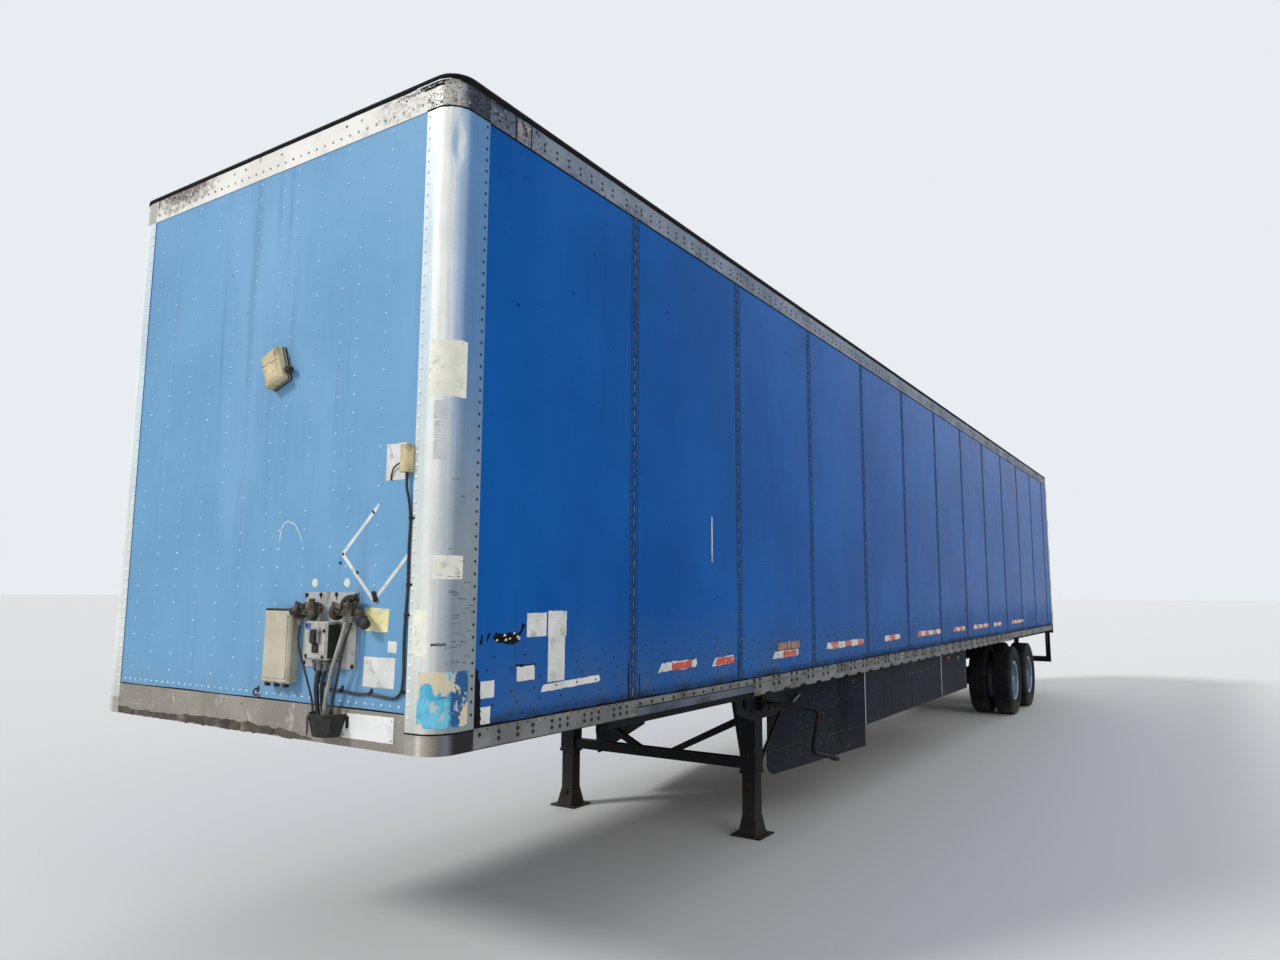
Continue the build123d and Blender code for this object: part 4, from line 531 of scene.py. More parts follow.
@dataclass(frozen=True)
class Finish:
    """A weathered surface: a base of two tones under any number of layers."""

    name: str
    slot: str
    base: Colour
    other: Colour
    rough: float
    metal: float = 0.0
    tone_scale: float = 1.3
    layers: tuple[Layer, ...] = ()
    ripple: float = 0.0
    peel: float = 0.00008
    peel_scale: float = 160.0
    grit: float = 0.18
    coat: float = 0.0
    gloss: float = 0.4
    tint: tuple[float, float, float, float] = (1.0, 1.0, 1.0, 1.0)

    def tone(self, wiring: Wiring) -> bpy.types.NodeSocket:
        """Base colour before the layers."""
        drift = wiring.span(wiring.noise(wiring.place(), self.tone_scale, 5.0, 0.6), 0.34, 0.66)
        return wiring.mix(drift, self.base, self.other)

    def make(self, effects: EffectGroups) -> bpy.types.Material:
        """Builds the material.

        Args:
            effects: The shared groups.

        Returns:
            The new material.
        """
        material = bpy.data.materials.new(self.name)
        material.use_nodes = True
        wiring = Wiring(material.node_tree)
        shader = material.node_tree.nodes["Principled BSDF"]
        shader.inputs["Metallic"].default_value = self.metal
        shader.inputs["Coat Weight"].default_value = self.coat
        shader.inputs["Coat Roughness"].default_value = 0.12
        shader.inputs["Specular IOR Level"].default_value = self.gloss
        shader.inputs["Specular Tint"].default_value = self.tint
        colour = self.tone(wiring)
        rough = wiring.math("ADD", effects.add(wiring, Effect.GRIT, Amount=self.grit), self.rough)
        metal: object = None
        for layer in self.layers:
            mask = effects.add(wiring, layer.effect, **layer.values)
            colour = wiring.mix(mask, colour, layer.colour)
            rough = self._blend(wiring, mask, rough, layer.rough)
            if self.metal > 0:
                metal = self._blend(wiring, mask, self.metal if metal is None else metal, 0.0)
        wiring.feed(shader.inputs["Base Color"], colour)
        wiring.feed(shader.inputs["Roughness"], wiring.span(rough, 0.0, 1.0, 0.02, 1.0))
        wiring.feed(shader.inputs["Metallic"], metal)
        bump = wiring.node("ShaderNodeBump")
        bump.inputs["Distance"].default_value = 1.0
        bump.inputs["Strength"].default_value = 1.0
        wiring.feed(bump.inputs["Height"], effects.add(
            wiring, Effect.SKIN, Ripple=self.ripple, Peel=self.peel, Peel_scale=self.peel_scale))
        wiring.feed(shader.inputs["Normal"], bump.outputs[0])
        return material

    @staticmethod
    def _blend(wiring: Wiring, mask: object, first: object, second: object) -> bpy.types.NodeSocket:
        """Number between first and second by a mask."""
        made = wiring.node("ShaderNodeMix", data_type="FLOAT")
        for index, entry in enumerate((mask, first, second)):
            wiring.feed(made.inputs[(0, 2, 3)[index]], entry)
        return made.outputs[0]


@dataclass(frozen=True)
class Planked(Finish):
    """Hardwood strips with grain along Y."""

    def tone(self, wiring: Wiring) -> bpy.types.NodeSocket:
        """Strips of different tone under long grain."""
        place = wiring.place()
        strip = wiring.node("ShaderNodeTexWhiteNoise", noise_dimensions="1D")
        across = wiring.math("FLOOR", wiring.math("MULTIPLY", wiring.axes(place)[0], 28.0))
        wiring.feed(strip.inputs["W"], across)
        grain = wiring.noise(wiring.stretched(place, (60.0, 1.5, 60.0)), 2.0, 6.0, 0.7)
        share = wiring.math("ADD", wiring.math("MULTIPLY", strip.outputs[0], 0.5),
                            wiring.math("MULTIPLY", grain, 0.6))
        return wiring.mix(share, self.base, self.other)


@dataclass(frozen=True)
class Brushed(Finish):
    """Rolled metal with fine lines along one axis."""

    lines: tuple[float, float, float] = (90.0, 90.0, 1.2)

    def tone(self, wiring: Wiring) -> bpy.types.NodeSocket:
        """Two tones drawn out into lines."""
        place = wiring.place()
        fine = wiring.noise(wiring.stretched(place, self.lines), 1.6, 5.0, 0.65)
        broad = wiring.noise(place, self.tone_scale, 4.0, 0.6)
        both = wiring.math("ADD", wiring.math("MULTIPLY", fine, 0.55), wiring.math("MULTIPLY", broad, 0.45))
        return wiring.mix(wiring.span(both, 0.36, 0.64), self.base, self.other)


@dataclass(frozen=True)
class PaintedLightMetal(Brushed):
    """Brushed metal with painted light: a tone for each way that it faces, from the front round to the
    side, paints its highlights, sky reflections and shade.
    """

    facing_light_tones: tuple[tuple[float, Colour], ...] = ()
    low_facing_light_tones: tuple[tuple[float, Colour], ...] = ()
    low_from: float = 2.65
    low_to: float = 1.9

    @staticmethod
    def _ramp(wiring: Wiring, value: object, facing_light_tones: Sequence[tuple[float, Colour]]) -> bpy.types.NodeSocket:
        """Colour ramp through the given places."""
        ramp = wiring.node("ShaderNodeValToRGB")
        wiring.feed(ramp.inputs[0], value)
        elements = ramp.color_ramp.elements
        for _ in facing_light_tones[2:]:
            elements.new(0.5)
        for element, (place, colour) in zip(elements, facing_light_tones):
            element.position = place
            element.color = shade(*colour)
        return ramp.outputs[0]

    def tone(self, wiring: Wiring) -> bpy.types.NodeSocket:
        """Lines over the high and low tones, which paint light and shade by the way the surface faces."""
        lines = super().tone(wiring)
        # how far the surface faces sideways picks the painted highlight, reflection or shade tone
        turn = wiring.math("ABSOLUTE", wiring.axes(wiring.facing())[0])
        low = wiring.span(wiring.axes(wiring.place())[2], self.low_from, self.low_to)
        toned = wiring.mix(low, self._ramp(wiring, turn, self.facing_light_tones),
                           self._ramp(wiring, turn, self.low_facing_light_tones))
        return wiring.mix(1.0, toned, lines, "MULTIPLY")


@dataclass(frozen=True)
class TornTape(Finish):
    """Two-colour reflective tape with its top film torn off in places."""

    second: Colour = (255, 255, 255)
    pitch: float = 0.3

    def tone(self, wiring: Wiring) -> bpy.types.NodeSocket:
        """Slanted blocks of two colours under a fine cell pattern."""
        place = wiring.place()
        x, y, z = wiring.axes(place)[0:3]
        along = wiring.math("ADD", y, wiring.math("MULTIPLY", z, 0.6))
        ragged = wiring.math("MULTIPLY", wiring.noise(place, 22.0, 4.0), 0.1)
        turn = wiring.math("FRACT", wiring.math("DIVIDE", wiring.math("ADD", along, ragged), self.pitch))
        block = wiring.span(turn, 0.52, 0.56)
        colour = wiring.mix(block, self.base, self.second)
        cells = wiring.node("ShaderNodeTexVoronoi", feature="DISTANCE_TO_EDGE")
        wiring.feed(cells.inputs["Vector"], place)
        cells.inputs["Scale"].default_value = 240.0
        edge = wiring.span(cells.outputs["Distance"], 0.0, 0.12, 0.35, 0.0)
        return wiring.mix(edge, colour, self.other)


BLACK_GRIME = (34, 31, 29)
INNER_WHITE = (206, 206, 200)
ROAD_DUST = (150, 142, 130)
RUST = (112, 62, 34)
DARK_RUST = (70, 42, 28)
BARE_METAL = (150, 150, 150)

# The side walls' blue paint as it looks in shade, darker than the front's copy of the same paint: painted
# shade. Its blue specular tint is a painted sky reflection.
SHADED_SIDE_PAINT = Finish(
    "shaded_side_wall_paint", "blue_panel", (10, 80, 154), (18, 92, 170), 0.36, tone_scale=0.7, ripple=0.0016,
    peel=0.00003, grit=0.16, gloss=0.035, tint=(0.15, 0.55, 1, 1), layers=(inner_face(INNER_WHITE),
    patches((34, 102, 178), 0.35, 1.1, 0.46, 0.25, 0.42, (1, 1, 0.35)),
    patches((22, 58, 104), 0.2, 7, 0.6, 0.1, 0.5, (1, 1, 0.06)),
    scratches((22, 44, 72), 0.6, (40, 1.1, 40), 0.7), scratches((150, 180, 205), 0.5, (9, 9, 60), 0.73),
    patches((20, 34, 50), 0.75, 16, 0.7, 0.03, 0.7), foot_dust((92, 108, 122), 0.45, 1.26, 0.55),
    foot_dust((30, 36, 44), 0.85, 1.255, 0.075)))
# The same blue paint as the side walls, as it looks in sunlight: the lit copy, painted light.
LIT_NOSE_PAINT = Finish(
    "lit_front_wall_paint", "blue_panel", (98, 150, 190), (108, 160, 200), 0.48, tone_scale=0.9, ripple=0.0014,
    peel=0.00005, grit=0.2, gloss=0.25, layers=(inner_face(INNER_WHITE),
    patches((134, 178, 214), 0.45, 1.3, 0.45, 0.25, 0.6, (1, 1, 0.3)),
    patches((84, 124, 160), 0.4, 8, 0.58, 0.12, 0.6, (1, 1, 0.05)),
    scratches((60, 84, 108), 0.45, (9, 9, 55), 0.71), patches((66, 82, 96), 0.6, 20, 0.71, 0.03, 0.8),
    foot_dust((122, 140, 156), 0.32, 1.27, 0.32)))
DOOR_PAINT = Finish(
    "door_paint", "blue_panel", (56, 112, 172), (66, 124, 184), 0.36, tone_scale=0.9, ripple=0.0008,
    peel=0.00004, coat=0.15, layers=(inner_face(INNER_WHITE),
    patches((84, 132, 182), 0.4, 1.5, 0.46, 0.25, 0.5, (1, 1, 0.4)),
    patches((60, 76, 92), 0.5, 9, 0.58, 0.12, 0.7, (1, 1, 0.05)),
    foot_dust((118, 120, 120), 0.75, 1.27, 1.1)))
# Bare aluminium post whose facing tones are painted light: a white painted highlight towards the front and
# a painted blue sky reflection on the side, greyer low down.
POST_METAL_PAINTED_LIGHT = PaintedLightMetal(
    "post_metal_painted_light", "bare_aluminium", (255, 255, 255), (233, 234, 236), 0.34, 0.3, tone_scale=2.2,
    ripple=0.001, peel=0.00003, gloss=0.3, facing_light_tones=((0, (214, 229, 236)), (0.08, (236, 242, 244)),
    (0.3, (253, 253, 246)), (0.57, (248, 248, 241)), (0.75, (204, 212, 219)), (0.89, (148, 169, 193)),
    (0.97, (138, 166, 197)), (1, (88, 134, 182))), low_facing_light_tones=((0, (228, 234, 228)),
    (0.08, (241, 244, 238)), (0.32, (249, 249, 243)), (0.57, (225, 227, 223)), (0.75, (190, 195, 200)),
    (0.89, (160, 170, 178)), (0.97, (139, 149, 164)), (1, (142, 153, 162))), low_from=3,
    layers=(patches((150, 150, 150), 0.25, 5, 0.58, 0.12, 0.6, (1, 1, 0.3)),
    scratches((112, 114, 118), 0.6, (5, 5, 60), 0.7),
    patches((64, 62, 60), 0.6, 30, 0.72, 0.04, 0.8, (1, 1, 0.5)),
    foot_dust((136, 134, 124), 0.45, 1.25, 0.35)))
REAR_METAL = Brushed(
    "rear_frame_metal", "bare_aluminium", (190, 192, 194), (160, 163, 166), 0.42, 0.85, tone_scale=2,
    peel=0.00005, layers=(patches((110, 104, 96), 0.5, 5, 0.55, 0.15, 0.8, (1, 1, 0.2)),
    foot_dust(ROAD_DUST, 0.6, 1.25, 0.9)))
# Bottom side rail paint darkened to the rail's look in shade: painted shade.
RAIL_PAINT = Finish(
    "rail_paint", "off_white_rail", (124, 125, 126), (100, 100, 99), 0.58, gloss=0.3, tone_scale=2.4,
    ripple=0.0008, layers=(patches((74, 68, 62), 0.6, 6, 0.5, 0.16, 0.85, (1, 0.35, 1)),
    patches((150, 148, 143), 0.5, 9, 0.58, 0.08, 0.7, (1, 0.5, 1)),
    patches(BLACK_GRIME, 0.6, 11, 0.64, 0.07, 0.9, (1, 0.5, 0.7)),
    patches(RUST, 0.45, 9, 0.64, 0.06, 0.9, (1, 0.4, 1)), scratches(BARE_METAL, 0.6, (30, 1.4, 30), 0.66),
    edge_wear((64, 60, 56), 0.6, 0.006, 0.8)))
# Corner cap metal whose facing tones are painted light: a painted highlight streak on the lower caps and
# painted shade that is darkest on the side.
CAP_METAL_PAINTED_LIGHT = PaintedLightMetal(
    "corner_cap_painted_light", "off_white_rail", (255, 255, 255), (228, 228, 228), 0.36, 0.3, tone_scale=3,
    lines=(1.2, 1.2, 90), gloss=0.3, facing_light_tones=((0, (192, 190, 181)), (0.34, (208, 203, 190)),
    (0.57, (200, 197, 188)), (0.77, (190, 188, 181)), (0.906, (140, 142, 150)), (0.985, (74, 78, 90)),
    (1, (54, 62, 79))), low_facing_light_tones=((0, (172, 170, 162)), (0.07, (186, 182, 172)),
    (0.17, (226, 218, 200)), (0.34, (182, 176, 166)), (0.64, (146, 138, 130)), (0.82, (108, 106, 108)),
    (0.94, (118, 122, 132)), (0.98, (88, 84, 84)), (1, (30, 28, 30))), low_from=3, low_to=2,
    layers=(patches((112, 106, 98), 0.35, 6, 0.56, 0.14, 0.7, (1, 1, 0.6)),
    scratches((84, 80, 76), 0.6, (3, 3, 60), 0.68), patches(BLACK_GRIME, 0.6, 16, 0.66, 0.05, 0.9),
    spot((30, 30, 33), 0.85, (1.24, back(0.2), 4.04), (0.34, 0.42, 0.16), 110, 0.2),
    # speckled dark spot on the cap's side face: partly grime, partly painted shade
    spot((30, 34, 46), 0.9, (1.31, back(0.21), 4.02), (0.06, 0.2, 0.2), 110, 0.24),
    spot((24, 22, 23), 0.92, (1.29, back(0.22), 4.1), (0.08, 0.28, 0.045), 50, 0.6),
    spot((104, 54, 34), 0.6, (1.3, back(0.26), 4.078), (0.05, 0.17, 0.02), 60, 0.12)))
# Off-white side top rail painted bluish grey, as it looks in shade: painted shade.
SHADED_TOP_RAIL_PAINT = Finish(
    "shaded_top_rail_paint", "off_white_rail", (128, 138, 154), (104, 115, 133), 0.55, 0.1, tone_scale=2.4,
    ripple=0.0008, gloss=0.3, layers=(patches((82, 90, 104), 0.6, 7, 0.5, 0.16, 0.85, (1, 0.35, 1)),
    patches((34, 36, 42), 0.8, 46, 0.62, 0.05, 0.9, (1, 0.7, 0.8)),
    patches((178, 186, 198), 0.6, 60, 0.6, 0.05, 0.7, (1, 0.7, 1)),
    # speckled dark spot near the front of the rail's side: partly grime, partly painted shade
    spot((42, 50, 66), 0.92, (1.2955, back(0.29), 4.02), (0.05, 0.17, 0.2), 110, 0.26),
    spot((24, 22, 23), 0.92, (1.2955, back(0.26), 4.1), (0.05, 0.34, 0.045), 50, 0.8),
    spot((52, 54, 60), 0.85, (1.2955, back(0.52), 4.04), (0.05, 0.14, 0.12), 80, 0.2),
    scratches((196, 198, 200), 0.6, (30, 1.4, 30), 0.64), edge_wear((60, 57, 54), 0.6, 0.006, 0.8)))
TOP_FRONT_PAINT = Finish(
    "front_rail_paint", "off_white_rail", (236, 234, 228), (222, 219, 212), 0.58, tone_scale=2.8,
    ripple=0.0015, layers=(patches((180, 174, 162), 0.45, 6, 0.54, 0.16, 0.85, (1, 1, 0.5)),
    patches((120, 108, 94), 0.5, 60, 0.68, 0.05, 0.92),
    spot((150, 140, 126), 0.8, (-0.86, FRONT, 4.075), (0.44, 0.3, 0.13), 26, 0.28),
    spot((62, 54, 47), 0.9, (-0.84, FRONT, 4.105), (0.32, 0.3, 0.105), 80, 0.32),
    spot((150, 146, 138), 0.8, (0.96, FRONT, 4.03), (0.22, 0.3, 0.075), 60, 0.2),
    spot((84, 78, 70), 0.8, (-0.125, FRONT, 4.075), (0.006, 0.3, 0.026), 90, 0.5),
    spot((74, 66, 58), 0.8, (-1.1, FRONT, 4.06), (0.012, 0.3, 0.036), 60, 0.5)))
BAND_METAL = Finish(
    "galvanised_band", "grey_steel", (158, 152, 142), (136, 131, 122), 0.55, 0.25, tone_scale=3,
    ripple=0.0008, layers=(patches((100, 90, 78), 0.6, 3.5, 0.5, 0.18, 0.85, (1, 1, 0.6)),
    patches((196, 192, 184), 0.5, 14, 0.6, 0.06, 0.7, (1, 1, 0.6)),
    patches(BLACK_GRIME, 0.7, 5, 0.66, 0.06, 0.9, (0.7, 1, 1)),
    scratches((210, 208, 204), 0.5, (1.2, 30, 40), 0.68)))
ROOF_METAL = Brushed(
    "roof_metal", "roof_sheet", (186, 188, 190), (164, 166, 168), 0.4, 0.7, ripple=0.004,
    lines=(1.2, 60, 60), layers=(patches((110, 106, 100), 0.5, 1.8, 0.5, 0.2, 0.85),
    patches(BLACK_GRIME, 0.5, 6, 0.64, 0.08, 0.9)))
FLOOR_WOOD = Planked(
    "floor_boards_wood", "floor_wood", (150, 112, 74), (104, 74, 46), 0.62,
    layers=(patches((70, 56, 44), 0.55, 3, 0.52, 0.15, 0.8, (1, 0.3, 1)),
    scratches((60, 46, 34), 0.7, (30, 0.8, 30), 0.62)))
LINER = Finish(
    "liner_paint", "liner_steel", (212, 211, 205), (196, 194, 187), 0.45, ripple=0.001,
    layers=(scratches((110, 106, 100), 0.7, (30, 0.8, 30), 0.64),
    patches((150, 144, 132), 0.4, 4, 0.54, 0.15, 0.8)))
GREY_STEEL = Finish(
    "grey_hardware", "grey_steel", (136, 136, 134), (112, 111, 108), 0.48, 0.55, tone_scale=6,
    layers=(patches(RUST, 0.6, 18, 0.58, 0.1, 0.9, (1, 1, 0.5)), edge_wear((188, 188, 186), 0.5)))
BACK_PLATE = Finish(
    "back_plate_steel", "grey_steel", (180, 182, 180), (154, 156, 154), 0.5, 0.4, tone_scale=5,
    ripple=0.0008, layers=(patches((86, 78, 68), 0.6, 9, 0.52, 0.14, 0.85, (1, 1, 0.4)),
    patches(RUST, 0.75, 24, 0.62, 0.06, 0.9, (1, 1, 0.6)),
    scratches((205, 203, 198), 0.6, (40, 40, 2), 0.66)))
BLACK_STEEL = Finish(
    "chassis_black", "black_steel", (11, 12, 16), (18, 19, 23), 0.55, tone_scale=3, peel=0.0002,
    peel_scale=90, gloss=0.15, layers=(patches((38, 38, 38), 0.4, 5, 0.52, 0.2, 0.9),
    patches(DARK_RUST, 0.6, 13, 0.6, 0.08, 0.9, (1, 1, 0.6)), edge_wear((92, 87, 80), 0.55, 0.006, 0.7),
    foot_dust((86, 82, 76), 0.38, 0, 0.6)))
GREASED = Finish(
    "machined_steel", "machined_steel", (120, 118, 114), (92, 88, 82), 0.32, 0.9,
    layers=(patches((40, 34, 28), 0.7, 12, 0.48, 0.2, 0.35), ))
# Dark skirt plastic, darkened and blued to its look in shade: partly its own dark colour, partly painted
# shade.
SKIRT = Finish(
    "skirt_panel", "skirt_plastic", (22, 27, 36), (29, 34, 44), 0.62, tone_scale=1.6, gloss=0.12,
    ripple=0.004, peel=0.00008, layers=(patches((46, 50, 56), 0.4, 2.2, 0.46, 0.25, 0.9, (1, 0.4, 1)),
    patches((16, 18, 24), 0.5, 6, 0.58, 0.1, 0.8, (1, 1, 0.08)),
    scratches((150, 147, 140), 0.5, (30, 1, 30), 0.66), foot_dust((72, 72, 72), 0.35, 0.45, 0.4)))
RUBBER = Finish(
    "black_rubber", "black_rubber", (30, 30, 31), (42, 41, 40), 0.72, tone_scale=9, peel=0.0002,
    peel_scale=220, layers=(patches((96, 91, 84), 0.4, 10, 0.54, 0.18, 0.95),
    edge_wear((86, 82, 78), 0.4)))
TYRE = Finish(
    "tyre_rubber", "tyre_rubber", (16, 16, 19), (24, 24, 26), 0.78, tone_scale=8, gloss=0.25,
    peel=0.00025, peel_scale=180, layers=(patches((66, 64, 61), 0.28, 7, 0.5, 0.22, 0.95),
    foot_dust((112, 107, 100), 0.45, 0, 0.25)))
WHEEL = Finish(
    "wheel_paint", "wheel_paint", (150, 168, 190), (130, 146, 168), 0.42, 0.3, tone_scale=4,
    layers=(patches((120, 116, 110), 0.6, 7, 0.48, 0.22, 0.85),
    patches(RUST, 0.55, 22, 0.62, 0.07, 0.9), edge_wear((90, 70, 54), 0.6, 0.004, 0.8)))
BEIGE = Finish(
    "sunburnt_plastic", "beige_plastic", (214, 200, 160), (192, 176, 134), 0.5, tone_scale=7,
    layers=(patches((128, 110, 78), 0.6, 14, 0.52, 0.14, 0.85, (1, 1, 0.6)),
    patches((60, 46, 34), 0.8, 26, 0.64, 0.05, 0.9), edge_wear((112, 92, 62), 0.7, 0.004, 0.8)))
DOCUMENT_BOX = Finish(
    "document_box", "beige_plastic", (196, 190, 172), (178, 171, 152), 0.5, tone_scale=6, ripple=0.0006,
    layers=(patches((130, 120, 98), 0.55, 9, 0.5, 0.16, 0.85, (1, 1, 0.4)),
    patches((76, 62, 46), 0.6, 26, 0.66, 0.05, 0.9), edge_wear((120, 106, 82), 0.7, 0.004, 0.8)))
GREY_BOX = Finish(
    "junction_box", "grey_box", (188, 186, 178), (166, 163, 154), 0.55, 0.1, tone_scale=7, peel=0.00015,
    layers=(patches((104, 92, 74), 0.65, 12, 0.52, 0.12, 0.85, (1, 1, 0.5)),
    patches(BLACK_GRIME, 0.7, 18, 0.63, 0.06, 0.9), edge_wear((96, 84, 68), 0.7, 0.004, 0.8)))
CASTING = Finish(
    "weathered_casting", "cast_fitting", (44, 40, 38), (78, 70, 62), 0.6, 0.35, tone_scale=26,
    peel=0.0004, peel_scale=140, layers=(patches((136, 126, 112), 0.7, 24, 0.56, 0.08, 0.75),
    patches((98, 58, 36), 0.55, 30, 0.58, 0.1, 0.9), patches((16, 15, 15), 0.85, 16, 0.54, 0.1, 0.7),
    edge_wear((170, 158, 140), 0.5, 0.003)))
HOSE = Finish(
    "hose_rubber", "hose_black", (28, 29, 32), (44, 46, 52), 0.5, tone_scale=14, peel=0.0001,
    layers=(patches((98, 94, 88), 0.45, 18, 0.55, 0.15, 0.9), ))
PALE_HOSE = Finish(
    "pale_hose", "hose_black", (172, 170, 162), (140, 136, 126), 0.5, tone_scale=14, peel=0.0001,
    layers=(patches((60, 56, 50), 0.65, 16, 0.52, 0.12, 0.85), ))
AMBER = Finish(
    "amber_lens", "lamp_amber", (214, 112, 34), (190, 92, 26), 0.25, coat=0.6, tone_scale=12, peel=0.0004,
    peel_scale=300, layers=(patches((120, 84, 54), 0.4, 16, 0.55, 0.15, 0.7), ))
MARKER = Finish(
    "old_marker_lens", "lamp_amber", (150, 88, 50), (112, 64, 40), 0.32, coat=0.4, tone_scale=16,
    peel=0.0004, peel_scale=300, layers=(patches((78, 60, 52), 0.6, 18, 0.54, 0.12, 0.8), ))
RED = Finish(
    "red_lens", "lamp_red", (176, 22, 20), (140, 14, 14), 0.22, coat=0.6, tone_scale=12, peel=0.0004,
    peel_scale=300, layers=(patches((90, 54, 46), 0.4, 12, 0.55, 0.15, 0.7), ))
STICKER = Finish(
    "blank_sticker", "off_white_rail", (226, 226, 222), (206, 206, 202), 0.45, tone_scale=8, peel=0.0001,
    layers=(patches((128, 132, 134), 0.5, 14, 0.54, 0.14, 0.8),
    patches((66, 78, 92), 0.6, 30, 0.66, 0.04, 0.8)))
YELLOW_STICKER = Finish(
    "yellow_sticker", "beige_plastic", (240, 234, 186), (232, 218, 142), 0.5, tone_scale=9,
    layers=(patches((196, 196, 176), 0.7, 16, 0.5, 0.14, 0.7), ))
GHOST_STICKER = Finish(
    "worn_sticker", "bare_aluminium", (116, 200, 226), (70, 168, 204), 0.5, tone_scale=13,
    layers=(spot((12, 84, 140), 1, (1.31, back(0.13), 1.39), (0.05, 0.085, 0.2), 12, 1, 0.5),
    patches((220, 206, 172), 0.95, 8, 0.49, 0.03, 0.6),
    patches((196, 202, 196), 0.85, 20, 0.58, 0.04, 0.5, (1, 1, 0.5)),
    scratches((224, 224, 220), 0.8, (6, 6, 60), 0.66)))
POST_LABEL = Finish(
    "aged_post_label", "bare_aluminium", (240, 239, 224), (226, 226, 210), 0.5, tone_scale=10,
    layers=(patches((178, 176, 160), 0.5, 18, 0.56, 0.1, 0.7),
    patches((198, 204, 210), 0.8, 24, 0.62, 0.04, 0.4)))
SMALL_SQUARE = Finish(
    "blank_number_squares", "bare_aluminium", (206, 209, 210), (190, 194, 196), 0.45, tone_scale=12,
    layers=(patches((156, 160, 164), 0.5, 20, 0.58, 0.06, 0.6),
    scratches((120, 122, 124), 0.6, (6, 6, 60), 0.68)))
TAPE = TornTape(
    "reflective_tape", "off_white_rail", (206, 76, 48), (128, 108, 98), 0.4, second=(224, 222, 216),
    pitch=0.31, layers=(patches((188, 190, 190), 0.85, 13, 0.55, 0.05, 0.6, (1, 0.6, 1.4)),
    patches((90, 86, 84), 0.6, 22, 0.6, 0.06, 0.8)))
SEALANT = Finish(
    "black_sealant", "black_rubber", (10, 10, 12), (19, 18, 20), 0.7, gloss=0.1, tone_scale=12,
    peel=0.0006, peel_scale=60, layers=(patches((72, 70, 68), 0.4, 9, 0.62, 0.1, 0.9), ))
SMEAR = Finish(
    "smeared_plate", "off_white_rail", (164, 162, 164), (96, 98, 108), 0.8, tone_scale=26, peel=0.0006,
    peel_scale=120, layers=(patches((46, 46, 50), 0.85, 34, 0.52, 0.06, 0.9, (1, 1, 0.6)),
    patches((116, 84, 64), 0.6, 28, 0.6, 0.06, 0.9)))
CRUMBS = Finish(
    "old_seal_crumbs", "off_white_rail", (190, 188, 182), (132, 130, 126), 0.8, tone_scale=60, peel=0.001,
    peel_scale=120, layers=(patches((50, 48, 46), 0.8, 70, 0.54, 0.08, 0.9), ))
RUB = Finish(
    "dark_rubs", "black_rubber", (70, 72, 74), (104, 106, 108), 0.6, 0.3, tone_scale=30,
    layers=(patches((160, 162, 164), 0.6, 40, 0.55, 0.08, 0.5), ))
RUST_STAIN = Finish(
    "rust_stain", "off_white_rail", (138, 92, 62), (112, 70, 44), 0.85, tone_scale=30,
    layers=(patches((60, 40, 28), 0.6, 40, 0.55, 0.1, 0.9), ))
STAIN = Finish(
    "dark_stain", "grey_steel", (66, 60, 54), (92, 85, 76), 0.85, tone_scale=14,
    layers=(patches((128, 121, 111), 0.75, 10, 0.54, 0.12, 0.85),
    patches(BLACK_GRIME, 0.6, 24, 0.55, 0.1, 0.9)))
BLANK_PLATE = Finish(
    "blank_plate", "off_white_rail", (232, 232, 230), (222, 222, 219), 0.35, coat=0.2, tone_scale=5,
    layers=(patches((176, 174, 168), 0.45, 8, 0.58, 0.12, 0.6), edge_wear((150, 146, 138), 0.6, 0.003)))
BLUE_PATCH = Finish(
    "blue_patch", "blue_panel", (44, 84, 156), (60, 104, 170), 0.5, tone_scale=30,
    layers=(patches((150, 150, 146), 0.5, 40, 0.56, 0.1, 0.7), ))
PALE_TRIM = Finish(
    "pale_trim", "bare_aluminium", (204, 210, 216), (170, 176, 182), 0.45, 0.2, tone_scale=10,
    layers=(patches((110, 108, 104), 0.5, 10, 0.58, 0.14, 0.85, (1, 1, 0.4)), ))
SEAM_LINE = Finish(
    "seam_line", "blue_panel", (12, 26, 50), (20, 40, 70), 0.6, gloss=0.2, tone_scale=8,
    layers=(patches((24, 26, 30), 0.8, 7, 0.5, 0.12, 0.8, (1, 1, 0.3)),
    patches((120, 132, 144), 0.5, 12, 0.64, 0.06, 0.8, (1, 1, 0.3))))
SEAM_DASH = Finish(
    "seam_dashes", "blue_panel", (104, 134, 170), (74, 106, 146), 0.5, gloss=0.2, tone_scale=18,
    layers=(patches((36, 60, 96), 0.7, 9, 0.52, 0.12, 0.8, (1, 1, 0.4)), ))
PALE_TAPE = Finish(
    "pale_reflective_tape", "off_white_rail", (218, 220, 218), (188, 192, 194), 0.4, tone_scale=9,
    layers=(patches((128, 138, 148), 0.6, 26, 0.58, 0.06, 0.7),
    patches((82, 96, 116), 0.7, 34, 0.62, 0.04, 0.8)))
RED_TAPE = Finish(
    "red_reflective_tape", "lamp_red", (206, 76, 48), (190, 62, 44), 0.4, tone_scale=9,
    layers=(patches((222, 206, 196), 0.8, 30, 0.6, 0.05, 0.6, (1, 0.6, 1)),
    patches((110, 60, 54), 0.6, 24, 0.58, 0.06, 0.8)))
RAIL_LIP = Finish(
    "rail_lip", "off_white_rail", (92, 98, 112), (74, 80, 94), 0.6, gloss=0.3, tone_scale=3,
    ripple=0.0008, layers=(patches((52, 54, 60), 0.6, 8, 0.54, 0.12, 0.85, (1, 0.4, 1)),
    scratches((150, 154, 160), 0.5, (30, 1.4, 30), 0.66)))
